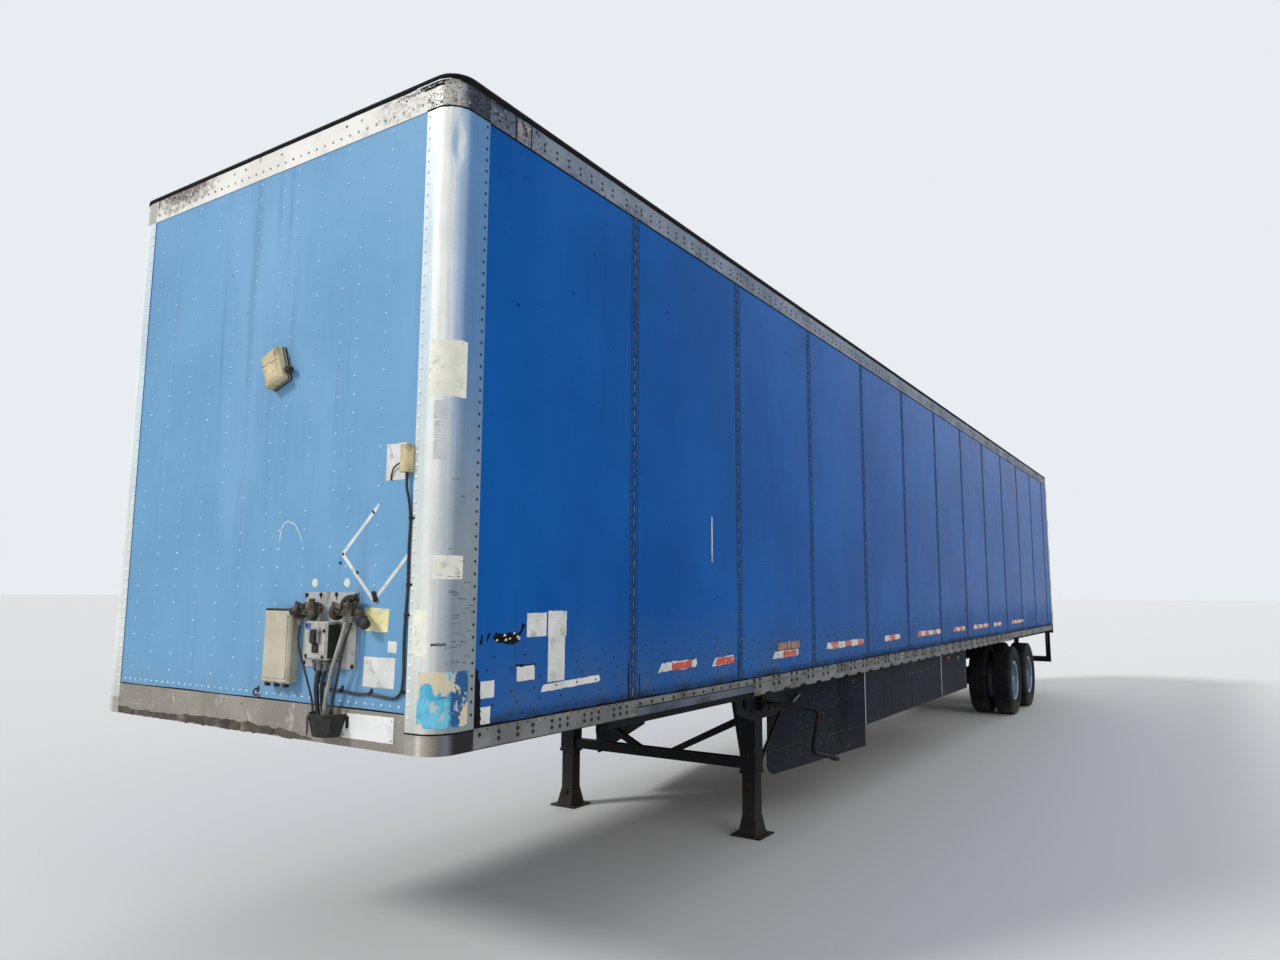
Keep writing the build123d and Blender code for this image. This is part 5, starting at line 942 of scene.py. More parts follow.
# Dark blue rivet heads of the side walls and doors: the shaded copy of the front's pale rivets, painted
# shade.
RIVET = Finish(
    "rivet_heads", "bare_aluminium", (16, 28, 48), (12, 24, 44), 0.5, 0.2, tone_scale=40,
    layers=(patches((70, 86, 110), 0.5, 30, 0.6, 0.08, 0.7), ))
# Pale rivet heads of the front wall: the lit copy, with a painted glint.
LIT_NOSE_RIVET = Finish(
    "lit_front_rivet_heads", "bare_aluminium", (182, 214, 236), (132, 178, 212), 0.3, 0.2, tone_scale=40,
    layers=(patches((84, 92, 100), 0.6, 26, 0.58, 0.1, 0.8), ))
RAIL_RIVET = Finish(
    "rail_rivet_heads", "off_white_rail", (176, 170, 160), (128, 120, 112), 0.5, 0.3, tone_scale=40,
    layers=(patches((66, 62, 58), 0.7, 20, 0.5, 0.1, 0.85), ))
# White rivet heads of the posts' front flanges: the lit copy, painted light.
LIT_POST_RIVET = Finish(
    "lit_post_rivet_heads", "bare_aluminium", (240, 241, 238), (214, 218, 218), 0.32, 0.2, tone_scale=40,
    layers=(patches((120, 120, 116), 0.5, 26, 0.6, 0.1, 0.8), ))
BOLT = Finish(
    "dark_bolts", "black_steel", (24, 23, 24), (44, 41, 39), 0.5, 0.3, tone_scale=30,
    layers=(patches(DARK_RUST, 0.6, 24, 0.56, 0.1, 0.9), ))


class Shop:
    """Makes each finish's material at its first use."""

    def __init__(self, effects: EffectGroups) -> None:
        """Keeps the shared groups and an empty store of made materials."""
        self.effects = effects
        self.made: dict[str, bpy.types.Material] = {}

    def get(self, finish: Finish) -> bpy.types.Material:
        """Material of a finish, made at its first use."""
        if finish.name not in self.made:
            self.made[finish.name] = finish.make(self.effects)
        return self.made[finish.name]


class Draft:
    """Vertices and faces of one piece while it is drawn up."""

    def __init__(self) -> None:
        """Starts empty."""
        self.vertices: list[tuple[float, float, float]] = []
        self.faces: list[tuple[int, ...]] = []

    def add(self, vertices: Iterable[Point], faces: Iterable[Sequence[int]]) -> None:
        """Adds a closed shell, with its faces numbered from its own first vertex."""
        start = len(self.vertices)
        self.vertices += [tuple(v) for v in vertices]
        self.faces += [tuple(start + i for i in f) for f in faces]

    def loft(self, rings: Sequence[Sequence[Point]], ends: bool = True) -> None:
        """Adds a skin through rings of points.

        Args:
            rings: The rings, with as many points each.
            ends: Whether the two ends are closed; if not, the last ring joins the first.
        """
        count, total = len(rings[0]), len(rings)
        faces = [list(range(count))[::-1], [(total - 1) * count + k for k in range(count)]] if ends else []
        for i in range(total - 1 if ends else total):
            low, high = i * count, (i + 1) % total * count
            for k in range(count):
                j = (k + 1) % count
                faces.append([low + k, low + j, high + j, high + k])
        self.add([p for ring in rings for p in ring], faces)

    def shell(self, outer: Sequence[Point], inner: Sequence[Point], count: int) -> None:
        """Adds a thin sheet between two grids of points.

        Args:
            outer: Points of one face, row by row.
            inner: Points of the other face.
            count: Points in a row.
        """
        shift = len(outer)
        last = shift - count
        faces = []
        for start in range(0, last, count):
            for a in range(start, start + count - 1):
                quad = [a, a + 1, a + 1 + count, a + count]
                faces += [quad, [i + shift for i in quad[::-1]]]
        for a in range(count - 1):
            faces += [[a, a + shift, a + 1 + shift, a + 1],
                      [last + a, last + a + 1, last + a + 1 + shift, last + a + shift]]
        for start in range(0, last, count):
            for a in (start, start + count - 1):
                faces.append([a, a + count, a + count + shift, a + shift])
        self.add([*outer, *inner], faces)

    def block(self, centre: Point, size: Point, edge: float = 0.002, turn: Matrix | None = None) -> None:
        """Adds a box with chamfered edges.

        Args:
            centre: Middle of the box.
            size: Length along X, Y and Z.
            edge: Chamfer.
            turn: Rotation about the middle.
        """
        half = [s / 2 for s in size]
        edge = min(edge, *(h * 0.9 for h in half))
        corners = [(a, b, c) for a in (-1, 1) for b in (-1, 1) for c in (-1, 1)]
        points, index = [], {}
        for corner in corners:
            for axis in range(3):
                index[corner, axis] = len(points)
                points.append(Vector([
                    corner[k] * (half[k] if k == axis else half[k] - edge) for k in range(3)]))
        faces: list[list[int]] = []
        for axis in range(3):
            one, two = [k for k in range(3) if k != axis]
            for sign in (-1, 1):
                loop = []
                for u, v in ((-1, -1), (1, -1), (1, 1), (-1, 1)):
                    corner = [0, 0, 0]
                    corner[axis], corner[one], corner[two] = sign, u, v
                    loop.append(index[tuple(corner), axis])
                faces.append(loop)
            for u in (-1, 1):
                for v in (-1, 1):
                    ends = []
                    for sign in (-1, 1):
                        corner = [0, 0, 0]
                        corner[axis], corner[one], corner[two] = sign, u, v
                        ends.append(tuple(corner))
                    faces.append([index[ends[0], one], index[ends[1], one],
                                  index[ends[1], two], index[ends[0], two]])
        for corner in corners:
            faces.append([index[corner, axis] for axis in range(3)])
        matrix = turn or Matrix.Identity(3)
        self.add([Vector(centre) + matrix @ p for p in points], faces)

    def slab(self, outline: Outline, origin: Point, across: Point, up: Point, depth: float,
             edge: float = 0.0) -> None:
        """Adds a flat plate from an outline.

        Args:
            outline: Corners as (across, up).
            origin: Where (0, 0) lies, on the plate's back.
            across: Direction of the first coordinate.
            up: Direction of the second coordinate.
            depth: Thickness, along across x up, which faces outwards.
            edge: Chamfer of the outer face, for outlines that are convex or nearly so.
        """
        u, v, start = Vector(across), Vector(up), Vector(origin)
        out = u.cross(v).normalized()
        middle = Vector((sum(p[0] for p in outline), sum(p[1] for p in outline))) / len(outline)
        rings = [[start + u * a + v * b for a, b in outline]]
        rings.append([p + out * (depth - edge) for p in rings[0]])
        if edge > 0:
            top = []
            for a, b in outline:
                away = Vector((a, b)) - middle
                inner = Vector((a, b)) - away.normalized() * edge * 1.3
                top.append(start + u * inner[0] + v * inner[1] + out * depth)
            rings.append(top)
        self.loft(rings)

    def lathe(self, profile: Sequence[tuple[float, float]], centre: Point, axis: Point,
              segments: int = 32, sector: tuple[float, float] | None = None) -> None:
        """Adds a turned shape from a closed profile.

        Args:
            profile: Corners as (radius, along the axis), closed from last to first.
            centre: Point of the axis where along is 0.
            axis: Direction of the axis.
            segments: Number of steps round it.
            sector: First and last angle in degrees, for part of a turn.
        """
        way = Vector(axis).normalized()
        side = way.orthogonal().normalized()
        other = way.cross(side)
        start, end = sector or (0, 360)
        rings = segments + 1 if sector else segments
        count = len(profile)
        points, faces = [], []
        for step in range(rings):
            angle = math.radians(start + (end - start) * step / segments)
            out = side * math.cos(angle) + other * math.sin(angle)
            points += [Vector(centre) + out * r + way * h for r, h in profile]
        for step in range(segments):
            nxt = (step + 1) % rings
            for i in range(count):
                j = (i + 1) % count
                if profile[i][0] < 1e-6 and profile[j][0] < 1e-6:
                    continue
                faces.append([step * count + i, step * count + j, nxt * count + j, nxt * count + i])
        if sector:
            faces += [list(range(count)), [segments * count + i for i in range(count)]]
        self.add(points, faces)

    def stud(self, place: Point, normal: Point, radius: float, height: float, sides: int = 8) -> None:
        """Adds a domed rivet head.

        Args:
            place: Middle of its foot.
            normal: Outward direction.
            radius: Radius of its foot.
            height: Height of its dome.
            sides: Number of sides.
        """
        way = Vector(normal)
        side = way.orthogonal().normalized()
        other = way.cross(side)
        points = [Vector(place) + way * height]
        for share, level in ((0.62, 0.78), (1, 0.12), (1, -0.3)):
            for i in range(sides):
                angle = 2 * math.pi * i / sides
                out = side * math.cos(angle) + other * math.sin(angle)
                points.append(Vector(place) + out * radius * share + way * height * level)
        faces = []
        for i in range(sides):
            j = (i + 1) % sides
            faces.append([0, 1 + i, 1 + j])
            for ring in (0, 1):
                low, high = 1 + (ring + 1) * sides, 1 + ring * sides
                faces.append([high + i, low + i, low + j, high + j])
        faces.append([1 + 2 * sides + i for i in range(sides)][::-1])
        self.add(points, faces)

    def bolt(self, place: Point, normal: Point, flats: float, height: float) -> None:
        """Adds a hexagon bolt head on a washer."""
        self.lathe([(0, 0), (flats * 0.85, 0), (flats * 0.85, height * 0.18),
                    (flats * 0.8, height * 0.25), (0, height * 0.25)], place, normal, 12)
        top = height
        self.lathe([(0, height * 0.2), (flats * 0.57, height * 0.2), (flats * 0.57, top * 0.85),
                    (flats * 0.47, top), (0, top)], place, normal, 6)

    def tube(self, route: Sequence[Point], radius: float, sides: int = 10) -> None:
        """Adds a round bar along given points, with closed ends.

        Args:
            route: Points of its middle line.
            radius: Its radius.
            sides: Number of sides.
        """
        points = [Vector(p) for p in route]
        rings, up = [], None
        for i, here in enumerate(points):
            ahead = points[min(i + 1, len(points) - 1)] - points[max(i - 1, 0)]
            ahead.normalize()
            up = (ahead.orthogonal() if up is None else up - ahead * up.dot(ahead)).normalized()
            other = ahead.cross(up)
            rings.append([here + (up * math.cos(a) + other * math.sin(a)) * radius
                          for a in (2 * math.pi * k / sides for k in range(sides))])
        self.loft(rings)


@dataclass
class Assembly:
    """A group of pieces that share one store of materials."""

    shop: Shop

    def piece(self, draft: Draft, name: str, finish: Finish, body: str = "van",
              replaces: Sequence[str] = (), sharp: float = 38.0) -> None:
        """Turns a draft into a dressed object that rides on a body.

        Args:
            draft: Its vertices and faces.
            name: Name of the piece.
            finish: Its finish.
            body: Body that it rides on.
            replaces: CAD nodes that it stands for.
            sharp: Angle in degrees above which an edge stays sharp.
        """
        mesh = bpy.data.meshes.new(name)
        mesh.from_pydata(draft.vertices, [], draft.faces)
        work = bmesh.new()
        work.from_mesh(mesh)
        bmesh.ops.remove_doubles(work, verts=work.verts, dist=1e-6)
        bmesh.ops.recalc_face_normals(work, faces=work.faces)
        work.to_mesh(mesh)
        work.free()
        mesh.shade_smooth()
        mesh.set_sharp_from_angle(angle=math.radians(sharp))
        mesh.materials.append(self.shop.get(finish))
        made = bpy.data.objects.new(name, mesh)
        bpy.context.scene.collection.objects.link(made)
        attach(made, body)
        if replaces:
            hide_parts(*replaces)
        log.info("%s: %d faces on %s", name, len(mesh.polygons), body)


@dataclass
class Studio:
    """Floor, lights, world and the photograph's camera."""

    eye: tuple[float, float, float] = (3.945, -10.667, 1.82)
    yaw: float = 32.947
    pitch: float = 7.325
    roll: float = 0.29
    focal_share: float = 880.31 / 1280
    sensor: float = 36.0
    floor_half: float = 400.0

    def build(self) -> None:
        """Makes everything that isn't part of the trailer."""
        self._camera()
        self._lights()
        self._floor()
        bpy.context.scene.view_settings.view_transform = "Standard"

    def _camera(self) -> None:
        """Stands the camera where the photograph was taken."""
        yaw, pitch, roll = (math.radians(a) for a in (self.yaw, self.pitch, self.roll))
        ahead = Vector((-math.sin(yaw) * math.cos(pitch), math.cos(yaw) * math.cos(pitch), math.sin(pitch)))
        level = ahead.cross(Vector((0, 0, 1))).normalized()
        above = level.cross(ahead)
        right = level * math.cos(roll) + above * math.sin(roll)
        top = above * math.cos(roll) - level * math.sin(roll)
        data = bpy.data.cameras.new("photo_camera")
        data.sensor_width = self.sensor
        data.lens = self.focal_share * self.sensor
        data.clip_end = 500
        camera = bpy.data.objects.new("photo_camera", data)
        bpy.context.scene.collection.objects.link(camera)
        turn = Matrix((right, top, -ahead)).transposed().to_4x4()
        camera.matrix_world = Matrix.Translation(self.eye) @ turn
        bpy.context.scene.camera = camera

    def _lights(self) -> None:
        """A soft key on the front wall, a weaker one on the road side, and an even world."""
        for name, strength, spread, toward in (
                ("key", 1.9, 12, (0.5, 0.7, -0.62)),
                ("side", 0.55, 50, (-0.8, 0.25, -0.42)),
                ("rear", 0.8, 50, (0.15, -0.85, -0.45))):
            data = bpy.data.lights.new(name, "SUN")
            data.energy = strength
            data.angle = math.radians(spread)
            lamp = bpy.data.objects.new(name, data)
            lamp.rotation_mode = "QUATERNION"
            lamp.rotation_quaternion = Vector(toward).to_track_quat("-Z", "Y")
            bpy.context.scene.collection.objects.link(lamp)
        world = bpy.data.worlds.new("studio")
        world.use_nodes = True
        bpy.context.scene.world = world
        wiring = Wiring(world.node_tree)
        ground = world.node_tree.nodes["Background"]
        ground.inputs["Color"].default_value = (0.93, 0.96, 1, 1)
        rays = wiring.node("ShaderNodeLightPath")
        seen = wiring.math("MAXIMUM", rays.outputs["Is Camera Ray"], rays.outputs["Is Glossy Ray"])
        wiring.feed(ground.inputs["Strength"], wiring.span(seen, 0, 1, 0.52, 0.88))

    def _floor(self) -> None:
        """Plain pale floor."""
        half = self.floor_half
        mesh = bpy.data.meshes.new("floor")
        mesh.from_pydata([(-half, -half, 0), (half, -half, 0), (half, half, 0), (-half, half, 0)],
                         [], [(0, 1, 2, 3)])
        material = bpy.data.materials.new("pale_floor")
        material.use_nodes = True
        shader = material.node_tree.nodes["Principled BSDF"]
        shader.inputs["Base Color"].default_value = shade(214, 214, 213)
        shader.inputs["Roughness"].default_value = 0.85
        mesh.materials.append(material)
        floor = bpy.data.objects.new("floor", mesh)
        bpy.context.scene.collection.objects.link(floor)
        floor.location.z = -0.001


class CadDressing:
    """Gives every CAD node its finish and smooth round faces."""

    def __init__(self, shop: Shop) -> None:
        """Keeps the store of materials and makes the smoothing node tree."""
        self.shop = shop
        self.smoothing = self._smoothing()

    @staticmethod
    def _finish_of(node: str) -> Finish:
        """Finish of a CAD node by its name."""
        named = {
            "side_panels": SHADED_SIDE_PAINT, "nose_panel": LIT_NOSE_PAINT,
            "seam_posts": LINER, "scuff_liners": LINER,
            "corner_posts": POST_METAL_PAINTED_LIGHT, "rail_corner_caps": CAP_METAL_PAINTED_LIGHT,
            "front_top_rail": TOP_FRONT_PAINT, "front_bottom_rail": BAND_METAL,
            "top_rails": SHADED_TOP_RAIL_PAINT, "bottom_rails": RAIL_PAINT,
            "roof_skin": ROOF_METAL, "roof_bows": GREY_STEEL,
            "floor_boards": FLOOR_WOOD, "kingpin": GREASED,
            "rear_posts": REAR_METAL, "rear_header": REAR_METAL,
            "dock_bumpers": RUBBER, "hinge_brackets": GREY_STEEL,
            "side_skirts": SKIRT, "back_plate": BACK_PLATE,
            "document_box": DOCUMENT_BOX, "junction_box": GREY_BOX,
            "gladhands": CASTING, "hose_tray": RUBBER,
            "front_lamps": BEIGE, "side_markers": AMBER,
            "tail_lamps": RED, "air_lines": HOSE,
            "electric_lines": HOSE, "lamp_harness": HOSE,
        }
        if node in named:
            return named[node]
        for start, finish in (("door_panel", DOOR_PAINT), ("door_hardware", GREY_STEEL),
                              ("wheels", WHEEL), ("tyres", TYRE)):
            if node.startswith(start):
                return finish
        return BLACK_STEEL

    @staticmethod
    def _smoothing() -> bpy.types.NodeTree:
        """Geometry nodes that shade smooth and keep edges over 30 degrees sharp."""
        group = bpy.data.node_groups.new("Smooth round faces", "GeometryNodeTree")
        group.interface.new_socket("Geometry", in_out="INPUT", socket_type="NodeSocketGeometry")
        group.interface.new_socket("Geometry", in_out="OUTPUT", socket_type="NodeSocketGeometry")
        wiring = Wiring(group)
        entry = wiring.node("NodeGroupInput")
        result = wiring.node("NodeGroupOutput")
        whole = wiring.node("GeometryNodeSetShadeSmooth", domain="FACE")
        sharp = wiring.node("GeometryNodeSetShadeSmooth", domain="EDGE")
        angle = wiring.node("GeometryNodeInputMeshEdgeAngle")
        over = wiring.node("FunctionNodeCompare", data_type="FLOAT", operation="GREATER_THAN")
        wiring.feed(over.inputs[0], angle.outputs[0])
        over.inputs[1].default_value = math.radians(30)
        wiring.feed(whole.inputs["Geometry"], entry.outputs[0])
        wiring.feed(sharp.inputs["Geometry"], whole.outputs[0])
        wiring.feed(sharp.inputs["Selection"], over.outputs[0])
        sharp.inputs["Shade Smooth"].default_value = False
        wiring.feed(result.inputs[0], sharp.outputs[0])
        return group

    def dress(self, nodes: dict[str, bpy.types.Object]) -> None:
        """Dresses the nodes.

        Args:
            nodes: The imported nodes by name.
        """
        for name, node in nodes.items():
            material = self.shop.get(self._finish_of(name))
            for slot in node.material_slots:
                slot.material = material
            if not node.material_slots:
                log.warning("%s has no material slot", name)
            node.modifiers.new("smooth_round", "NODES").node_group = self.smoothing
        log.info("%d CAD nodes dressed", len(nodes))


@dataclass
class SideWalls(Assembly):
    """Rivets, seam strips and joints of the two long walls."""

    seam_row: float = 0.021
    seam_pitch: float = 0.038
    rivet_radius: float = 0.007
    rivet_height: float = 0.0036
    foot: float = 1.275
    head: float = 3.945
    flange_row: float = 0.157
    foot_rows: tuple[tuple[float, float], ...] = (
        (1.285, 0.08), (1.335, 0.16), (1.386, 0.16), (1.436, 0.16), (1.486, 0.16), (1.54, 0.205))

    def build(self) -> None:
        """Makes the wall pieces."""
        self._seam_rivets()
        self._foot_rivets()
        self._flange_rivets()

    def _seam_rivets(self) -> None:
        """Two rows of rivets on each seam."""
        rows = Draft()
        for sign in BOTH:
            for seam in SEAMS:
                for step in (-self.seam_row, self.seam_row):
                    for level in steps(self.foot, self.head, self.seam_pitch):
                        rows.stud((sign * PANEL_FACE, back(seam + step), level), (sign, 0, 0),
                                  self.rivet_radius, self.rivet_height, 6)
        self.piece(rows, "seam_rivets", RIVET)
        lines = Draft()
        for sign in BOTH:
            for seam in SEAMS:
                for shift, width in ((-0.011, 0.0075), (0.011, 0.0075), (-0.036, 0.0034), (0.036, 0.0034)):
                    lines.block((sign * PANEL_FACE, back(seam + shift), (self.foot + self.head) / 2),
                                (0.0026, width, self.head - self.foot + 0.02), 0.0008)
        self.piece(lines, "seam_sealant", SEAM_LINE)
        dashes = Draft()
        for sign in BOTH:
            for seam in SEAMS:
                for count, level in enumerate(steps(self.foot + 0.02, self.head, 0.076)):
                    dashes.block((sign * PANEL_FACE, back(seam + (0.003 if count % 2 else -0.003)), level),
                                 (0.003, 0.0065, 0.044), 0.0008)
        self.piece(dashes, "seam_dashes", SEAM_DASH)

    def _foot_rivets(self) -> None:
        """Rows that hold the scuff liner and the panels' feet."""
        rows = Draft()
        papers = SideMarks(self.shop).papers
        for sign in BOTH:
            for row, (level, pitch) in enumerate(self.foot_rows):
                for place in steps(0.3 + 0.04 * (row % 2), WALL_END - 0.05, pitch):
                    if sign > 0 and any(start < place < end and low < level < high
                                        for start, end, low, high in papers):
                        continue
                    rows.stud((sign * PANEL_FACE, back(place), level), (sign, 0, 0), 0.0072, 0.0032, 6)
        self.piece(rows, "wall_foot_rivets", RIVET)

    def _flange_rivets(self) -> None:
        """Rows down the flanges of the front corner posts: white in front as painted light, dark on the
        sides as painted shade.
        """
        rows = Draft()
        for sign in BOTH:
            for level in steps(1.307, 3.93, 0.0525):
                rows.stud((sign * (HALF_WIDTH - self.flange_row), FRONT, level), (0, -1, 0),
                          0.0085, 0.0055, 10)
        self.piece(rows, "corner_flange_rivets", LIT_POST_RIVET)
        # The side flanges' rivets take the dark bolt finish: painted shade, the shaded copy of the front
        # flanges' white rivets.
        dark = Draft()
        for sign in BOTH:
            for level in steps(1.31, 3.93, 0.054):
                dark.stud((sign * HALF_WIDTH, back(0.204), level), (sign, 0, 0), 0.007, 0.004, 8)
        self.piece(dark, "shaded_side_flange_rivets", BOLT)


@dataclass
class SideRails(Assembly):
    """Fasteners and trim of the top and bottom side rails."""

    rail_start: float = 0.222
    lip_start: float = 1.48
    deep_start: float = 2.93
    deep_end: float = 11.97
    cross_first: float = 3.0
    cross_pitch: float = 0.312

    def _low_bolts(self) -> Iterable[tuple[float, float, float]]:
        """Distance behind the front, height and radius of each bottom rail fastener."""
        for d in (0.26, 0.38, 0.505, 0.61):
            yield d, 1.222, 0.0105
            if d > 0.3:
                yield d, 1.193, 0.0105
        for first in steps(0.749, WALL_END - 0.25, 0.2555):
            for d in (first, first + 0.06, first + 0.12):
                if d < self.lip_start:
                    yield d, 1.224, 0.0095
                    yield d, 1.194, 0.0105
        for d in steps(self.lip_start + 0.03, self.deep_start, 0.12):
            yield d, 1.228, 0.0105
        for d in steps(self.rail_start + 0.02, self.lip_start, 0.064):
            yield d, 1.2415, 0.004

    def build(self) -> None:
        """Makes the rail pieces."""
        top = Draft()
        for sign in BOTH:
            pairs = [seam + shift for seam in SEAMS for shift in (-0.1, 0)]
            places = [d for d in steps(0.614, WALL_END - 0.05, 0.0985)
                      if all(abs(d - pair) > 0.045 for pair in pairs)]
            for place in places + pairs:
                for level in (3.997, 4.029):
                    top.stud((sign * HALF_WIDTH, back(place), level), (sign, 0, 0), 0.0088, 0.0044, 8)
            top.stud((sign * HALF_WIDTH, back(0.552), 4.066), (sign, 0, 0), 0.0088, 0.0044, 8)
        self.piece(top, "top_rail_rivets", BOLT)
        low = Draft()
        for sign in BOTH:
            for d, z, radius in self._low_bolts():
                low.stud((sign * HALF_WIDTH, back(d), z), (sign, 0, 0), radius, radius * 0.75, 8)
            for place in steps(self.cross_first, self.deep_end - 0.1, self.cross_pitch):
                for shift in (-0.072, 0.02):
                    low.bolt((sign * HALF_WIDTH, back(place + shift), 1.194), (sign, 0, 0), 0.018, 0.008)
                    low.bolt((sign * HALF_WIDTH, back(place + shift), 1.241), (sign, 0, 0), 0.017, 0.008)
        self.piece(low, "bottom_rail_bolts", BOLT)
        # Thin dark line along the foot of each top rail.
        edge = Draft()
        for sign in BOTH:
            edge.block((sign * (PANEL_FACE + 0.001), back((self.rail_start + WALL_END) / 2), 3.9565),
                       (0.004, WALL_END - self.rail_start, 0.007), 0.001)
        self.piece(edge, "top_rail_foot_dark_line", SEALANT)


@dataclass
class FrontWall(Assembly):
    """Rivets of the front wall, its top rail and the band at its foot."""

    columns: tuple[float, ...] = (
        -1.02, -0.84, -0.655, -0.461, -0.276, -0.098, 0.097, 0.211, 0.4, 0.592, 0.706, 0.9)
    pitch: float = 0.088

    def build(self) -> None:
        """Makes the front wall's pieces."""
        rivets = Draft()
        for column in self.columns:
            for level in steps(1.41, 3.93, self.pitch):
                if not self._covered(column, level):
                    rivets.stud((column, WALL_FACE, level), (0, -1, 0), 0.0068, 0.0042, 8)
        for place in steps(-1.08, 1.08, 0.053):
            rivets.stud((place, WALL_FACE, 1.345), (0, -1, 0), 0.0078, 0.0046, 8)
        self.piece(rivets, "front_wall_rivets", LIT_NOSE_RIVET)
        rail = Draft()
        for place in steps(-1.09, 1.09, 0.062):
            rail.stud((place, FRONT, 4), (0, -1, 0), 0.007, 0.004, 8)
        for place in (-0.93, -0.352, -0.252, 0.057, 0.565, 0.674, 0.98):
            rail.stud((place, FRONT, 4.053), (0, -1, 0), 0.007, 0.004, 8)
        for place in steps(-1.09, 1.09, 0.124):
            if not 0.55 < place < 1.08:
                rail.stud((place, FRONT, 1.286), (0, -1, 0), 0.006, 0.0035, 8)
        self.piece(rail, "front_rail_rivets", RAIL_RIVET)

    @staticmethod
    def _covered(x: float, z: float) -> bool:
        """Whether a fitting covers this place of the wall."""
        boxes = ((0.2, 0.43, 1.38, 1.75), (0.43, 0.82, 1.47, 1.83), (0.03, 0.28, 2.79, 3.02),
                 (0.94, 1.13, 2.28, 2.47), (0.45, 0.9, 1.3, 1.5), (0.83, 1.07, 1.41, 1.76))
        return any(a <= x <= b and c <= z <= d for a, b, c, d in boxes)


@dataclass
class CornerPosts(Assembly):
    """Rounded posts at the front corners, with the near one's dent, labels and scuffs."""

    foot: float = 1.245
    front_flange: float = 0.058
    side_flange: float = 0.107
    thickness: float = 0.004
    dent_place: tuple[float, float] = (0.108, 3.8)
    dent_size: tuple[float, float] = (0.03, 0.105)
    dent_depth: float = 0.013
    levels: int = 150
    seed: int = 11

    @property
    def arc(self) -> float:
        """Length of the quarter round."""
        return math.pi / 2 * CORNER_RADIUS

    def at(self, along: float, level: float, out: float, sign: int = 1) -> Vector:
        """Point on a post, from its plan length and its height.

        Args:
            along: Length from the start of the round, less than 0 on the front flange.
            level: Height.
            out: Distance outside the skin.
            sign: 1 for the road side and -1 for the other.

        Returns:
            The point.
        """
        centre = HALF_WIDTH - CORNER_RADIUS
        if along < 0:
            x, y = centre + along, FRONT - out
        elif along < self.arc:
            angle = along / CORNER_RADIUS
            reach = CORNER_RADIUS + out
            x, y = centre + reach * math.sin(angle), back(CORNER_RADIUS) - reach * math.cos(angle)
        else:
            x, y = HALF_WIDTH + out, back(CORNER_RADIUS) + along - self.arc
        return Vector((sign * x, y, level))

    def _dent(self, along: float, level: float) -> float:
        """How deep the skin is pushed in, with slight waves all over."""
        u = (along - self.dent_place[0]) / self.dent_size[0]
        v = (level - self.dent_place[1]) / self.dent_size[1]
        push = self.dent_depth * math.exp(-(u * u) * 1.4 - (v * v) * 1.6)
        crease = 0.003 * math.exp(-((u - 0.5) ** 2) * 12 - (v * v) * 1.2) * math.sin(v * 7)
        inside = math.sin(math.pi * min(1, max(0, along / self.arc)))
        wave = 0.0006 * math.sin(level * 5.1 + along * 9) + 0.0004 * math.sin(level * 13.7)
        return push + crease + wave * inside

    def build(self) -> None:
        """Makes the posts and what is on them."""
        self._skins()
        self._labels()
        self._scuffs()

    def _skins(self) -> None:
        """Both posts as bent sheets."""
        skins = Draft()
        runs = [-self.front_flange, -0.03, -0.006]
        runs += [self.arc * i / 22 for i in range(23)]
        runs += [self.arc + 0.006, self.arc + 0.04, self.arc + self.side_flange]
        heights = steps(self.foot, TOP_RAIL_BOTTOM, (TOP_RAIL_BOTTOM - self.foot) / self.levels)
        for sign in BOTH:
            outer, inner = [], []
            for level in heights:
                for along in runs:
                    push = self._dent(along, level) if sign > 0 else 0
                    outer.append(self.at(along, level, -push, sign))
                    inner.append(self.at(along, level, -push - self.thickness, sign))
            skins.shell(outer, inner, len(runs))
        self.piece(skins, "bent_corner_posts", POST_METAL_PAINTED_LIGHT, "van", ("corner_posts",), 50)

    def wrap(self, draft: Draft, first: float, last: float, low: float, high: float,
              lift: float = 0.0007, wander: float = 0.0) -> None:
        """Adds a thin patch that follows the near post.

        Args:
            draft: Where it is added.
            first: Plan length at one side.
            last: Plan length at the other side.
            low: Height of its foot.
            high: Height of its head.
            lift: How far it stands off the skin.
            wander: Largest random shift of its edge.
        """
        rng = random.Random(f"{first}{low}{self.seed}")
        columns = max(2, round((last - first) / 0.01))
        points = []
        for i in range(columns + 1):
            along = first + (last - first) * i / columns
            for level in (low, high):
                moved = level + rng.uniform(-wander, wander)
                push = self._dent(along, moved)
                points += [self.at(along, moved, lift - push), self.at(along, moved, -0.001 - push)]
        faces = []
        for i in range(columns):
            a, b = 4 * i, 4 * i + 4
            faces += [[a, a + 2, b + 2, b], [a + 1, b + 1, b + 3, a + 3],
                      [a, b, b + 1, a + 1], [a + 2, a + 3, b + 3, b + 2]]
        end = 4 * columns
        faces += [[0, 1, 3, 2], [end, end + 2, end + 3, end + 1]]
        draft.add(points, faces)

    def _labels(self) -> None:
        """Blank aged labels and the worn two-colour square."""
        aged = Draft()
        self.wrap(aged, 0.008, self.arc + 0.004, 2.646, 2.896, wander=0.002)
        self.wrap(aged, 0.058, self.arc + 0.014, 1.874, 1.972, wander=0.001)
        self.wrap(aged, -0.034, 0.046, 1.558, 1.746, wander=0.001)
        self.piece(aged, "blank_post_labels", POST_LABEL)
        squares = Draft()
        for first, last, low, high in ((0.041, 0.097, 2.548, 2.628), (0.044, 0.105, 2.464, 2.541),
                                       (0.044, 0.105, 2.376, 2.459)):
            self.wrap(squares, first, last, low, high, wander=0.001)
        self.piece(squares, "blank_number_squares", SMALL_SQUARE)
        worn = Draft()
        self.wrap(worn, 0.008, self.arc + 0.066, 1.271, 1.495, wander=0.001)
        self.piece(worn, "worn_square_sticker", GHOST_STICKER)

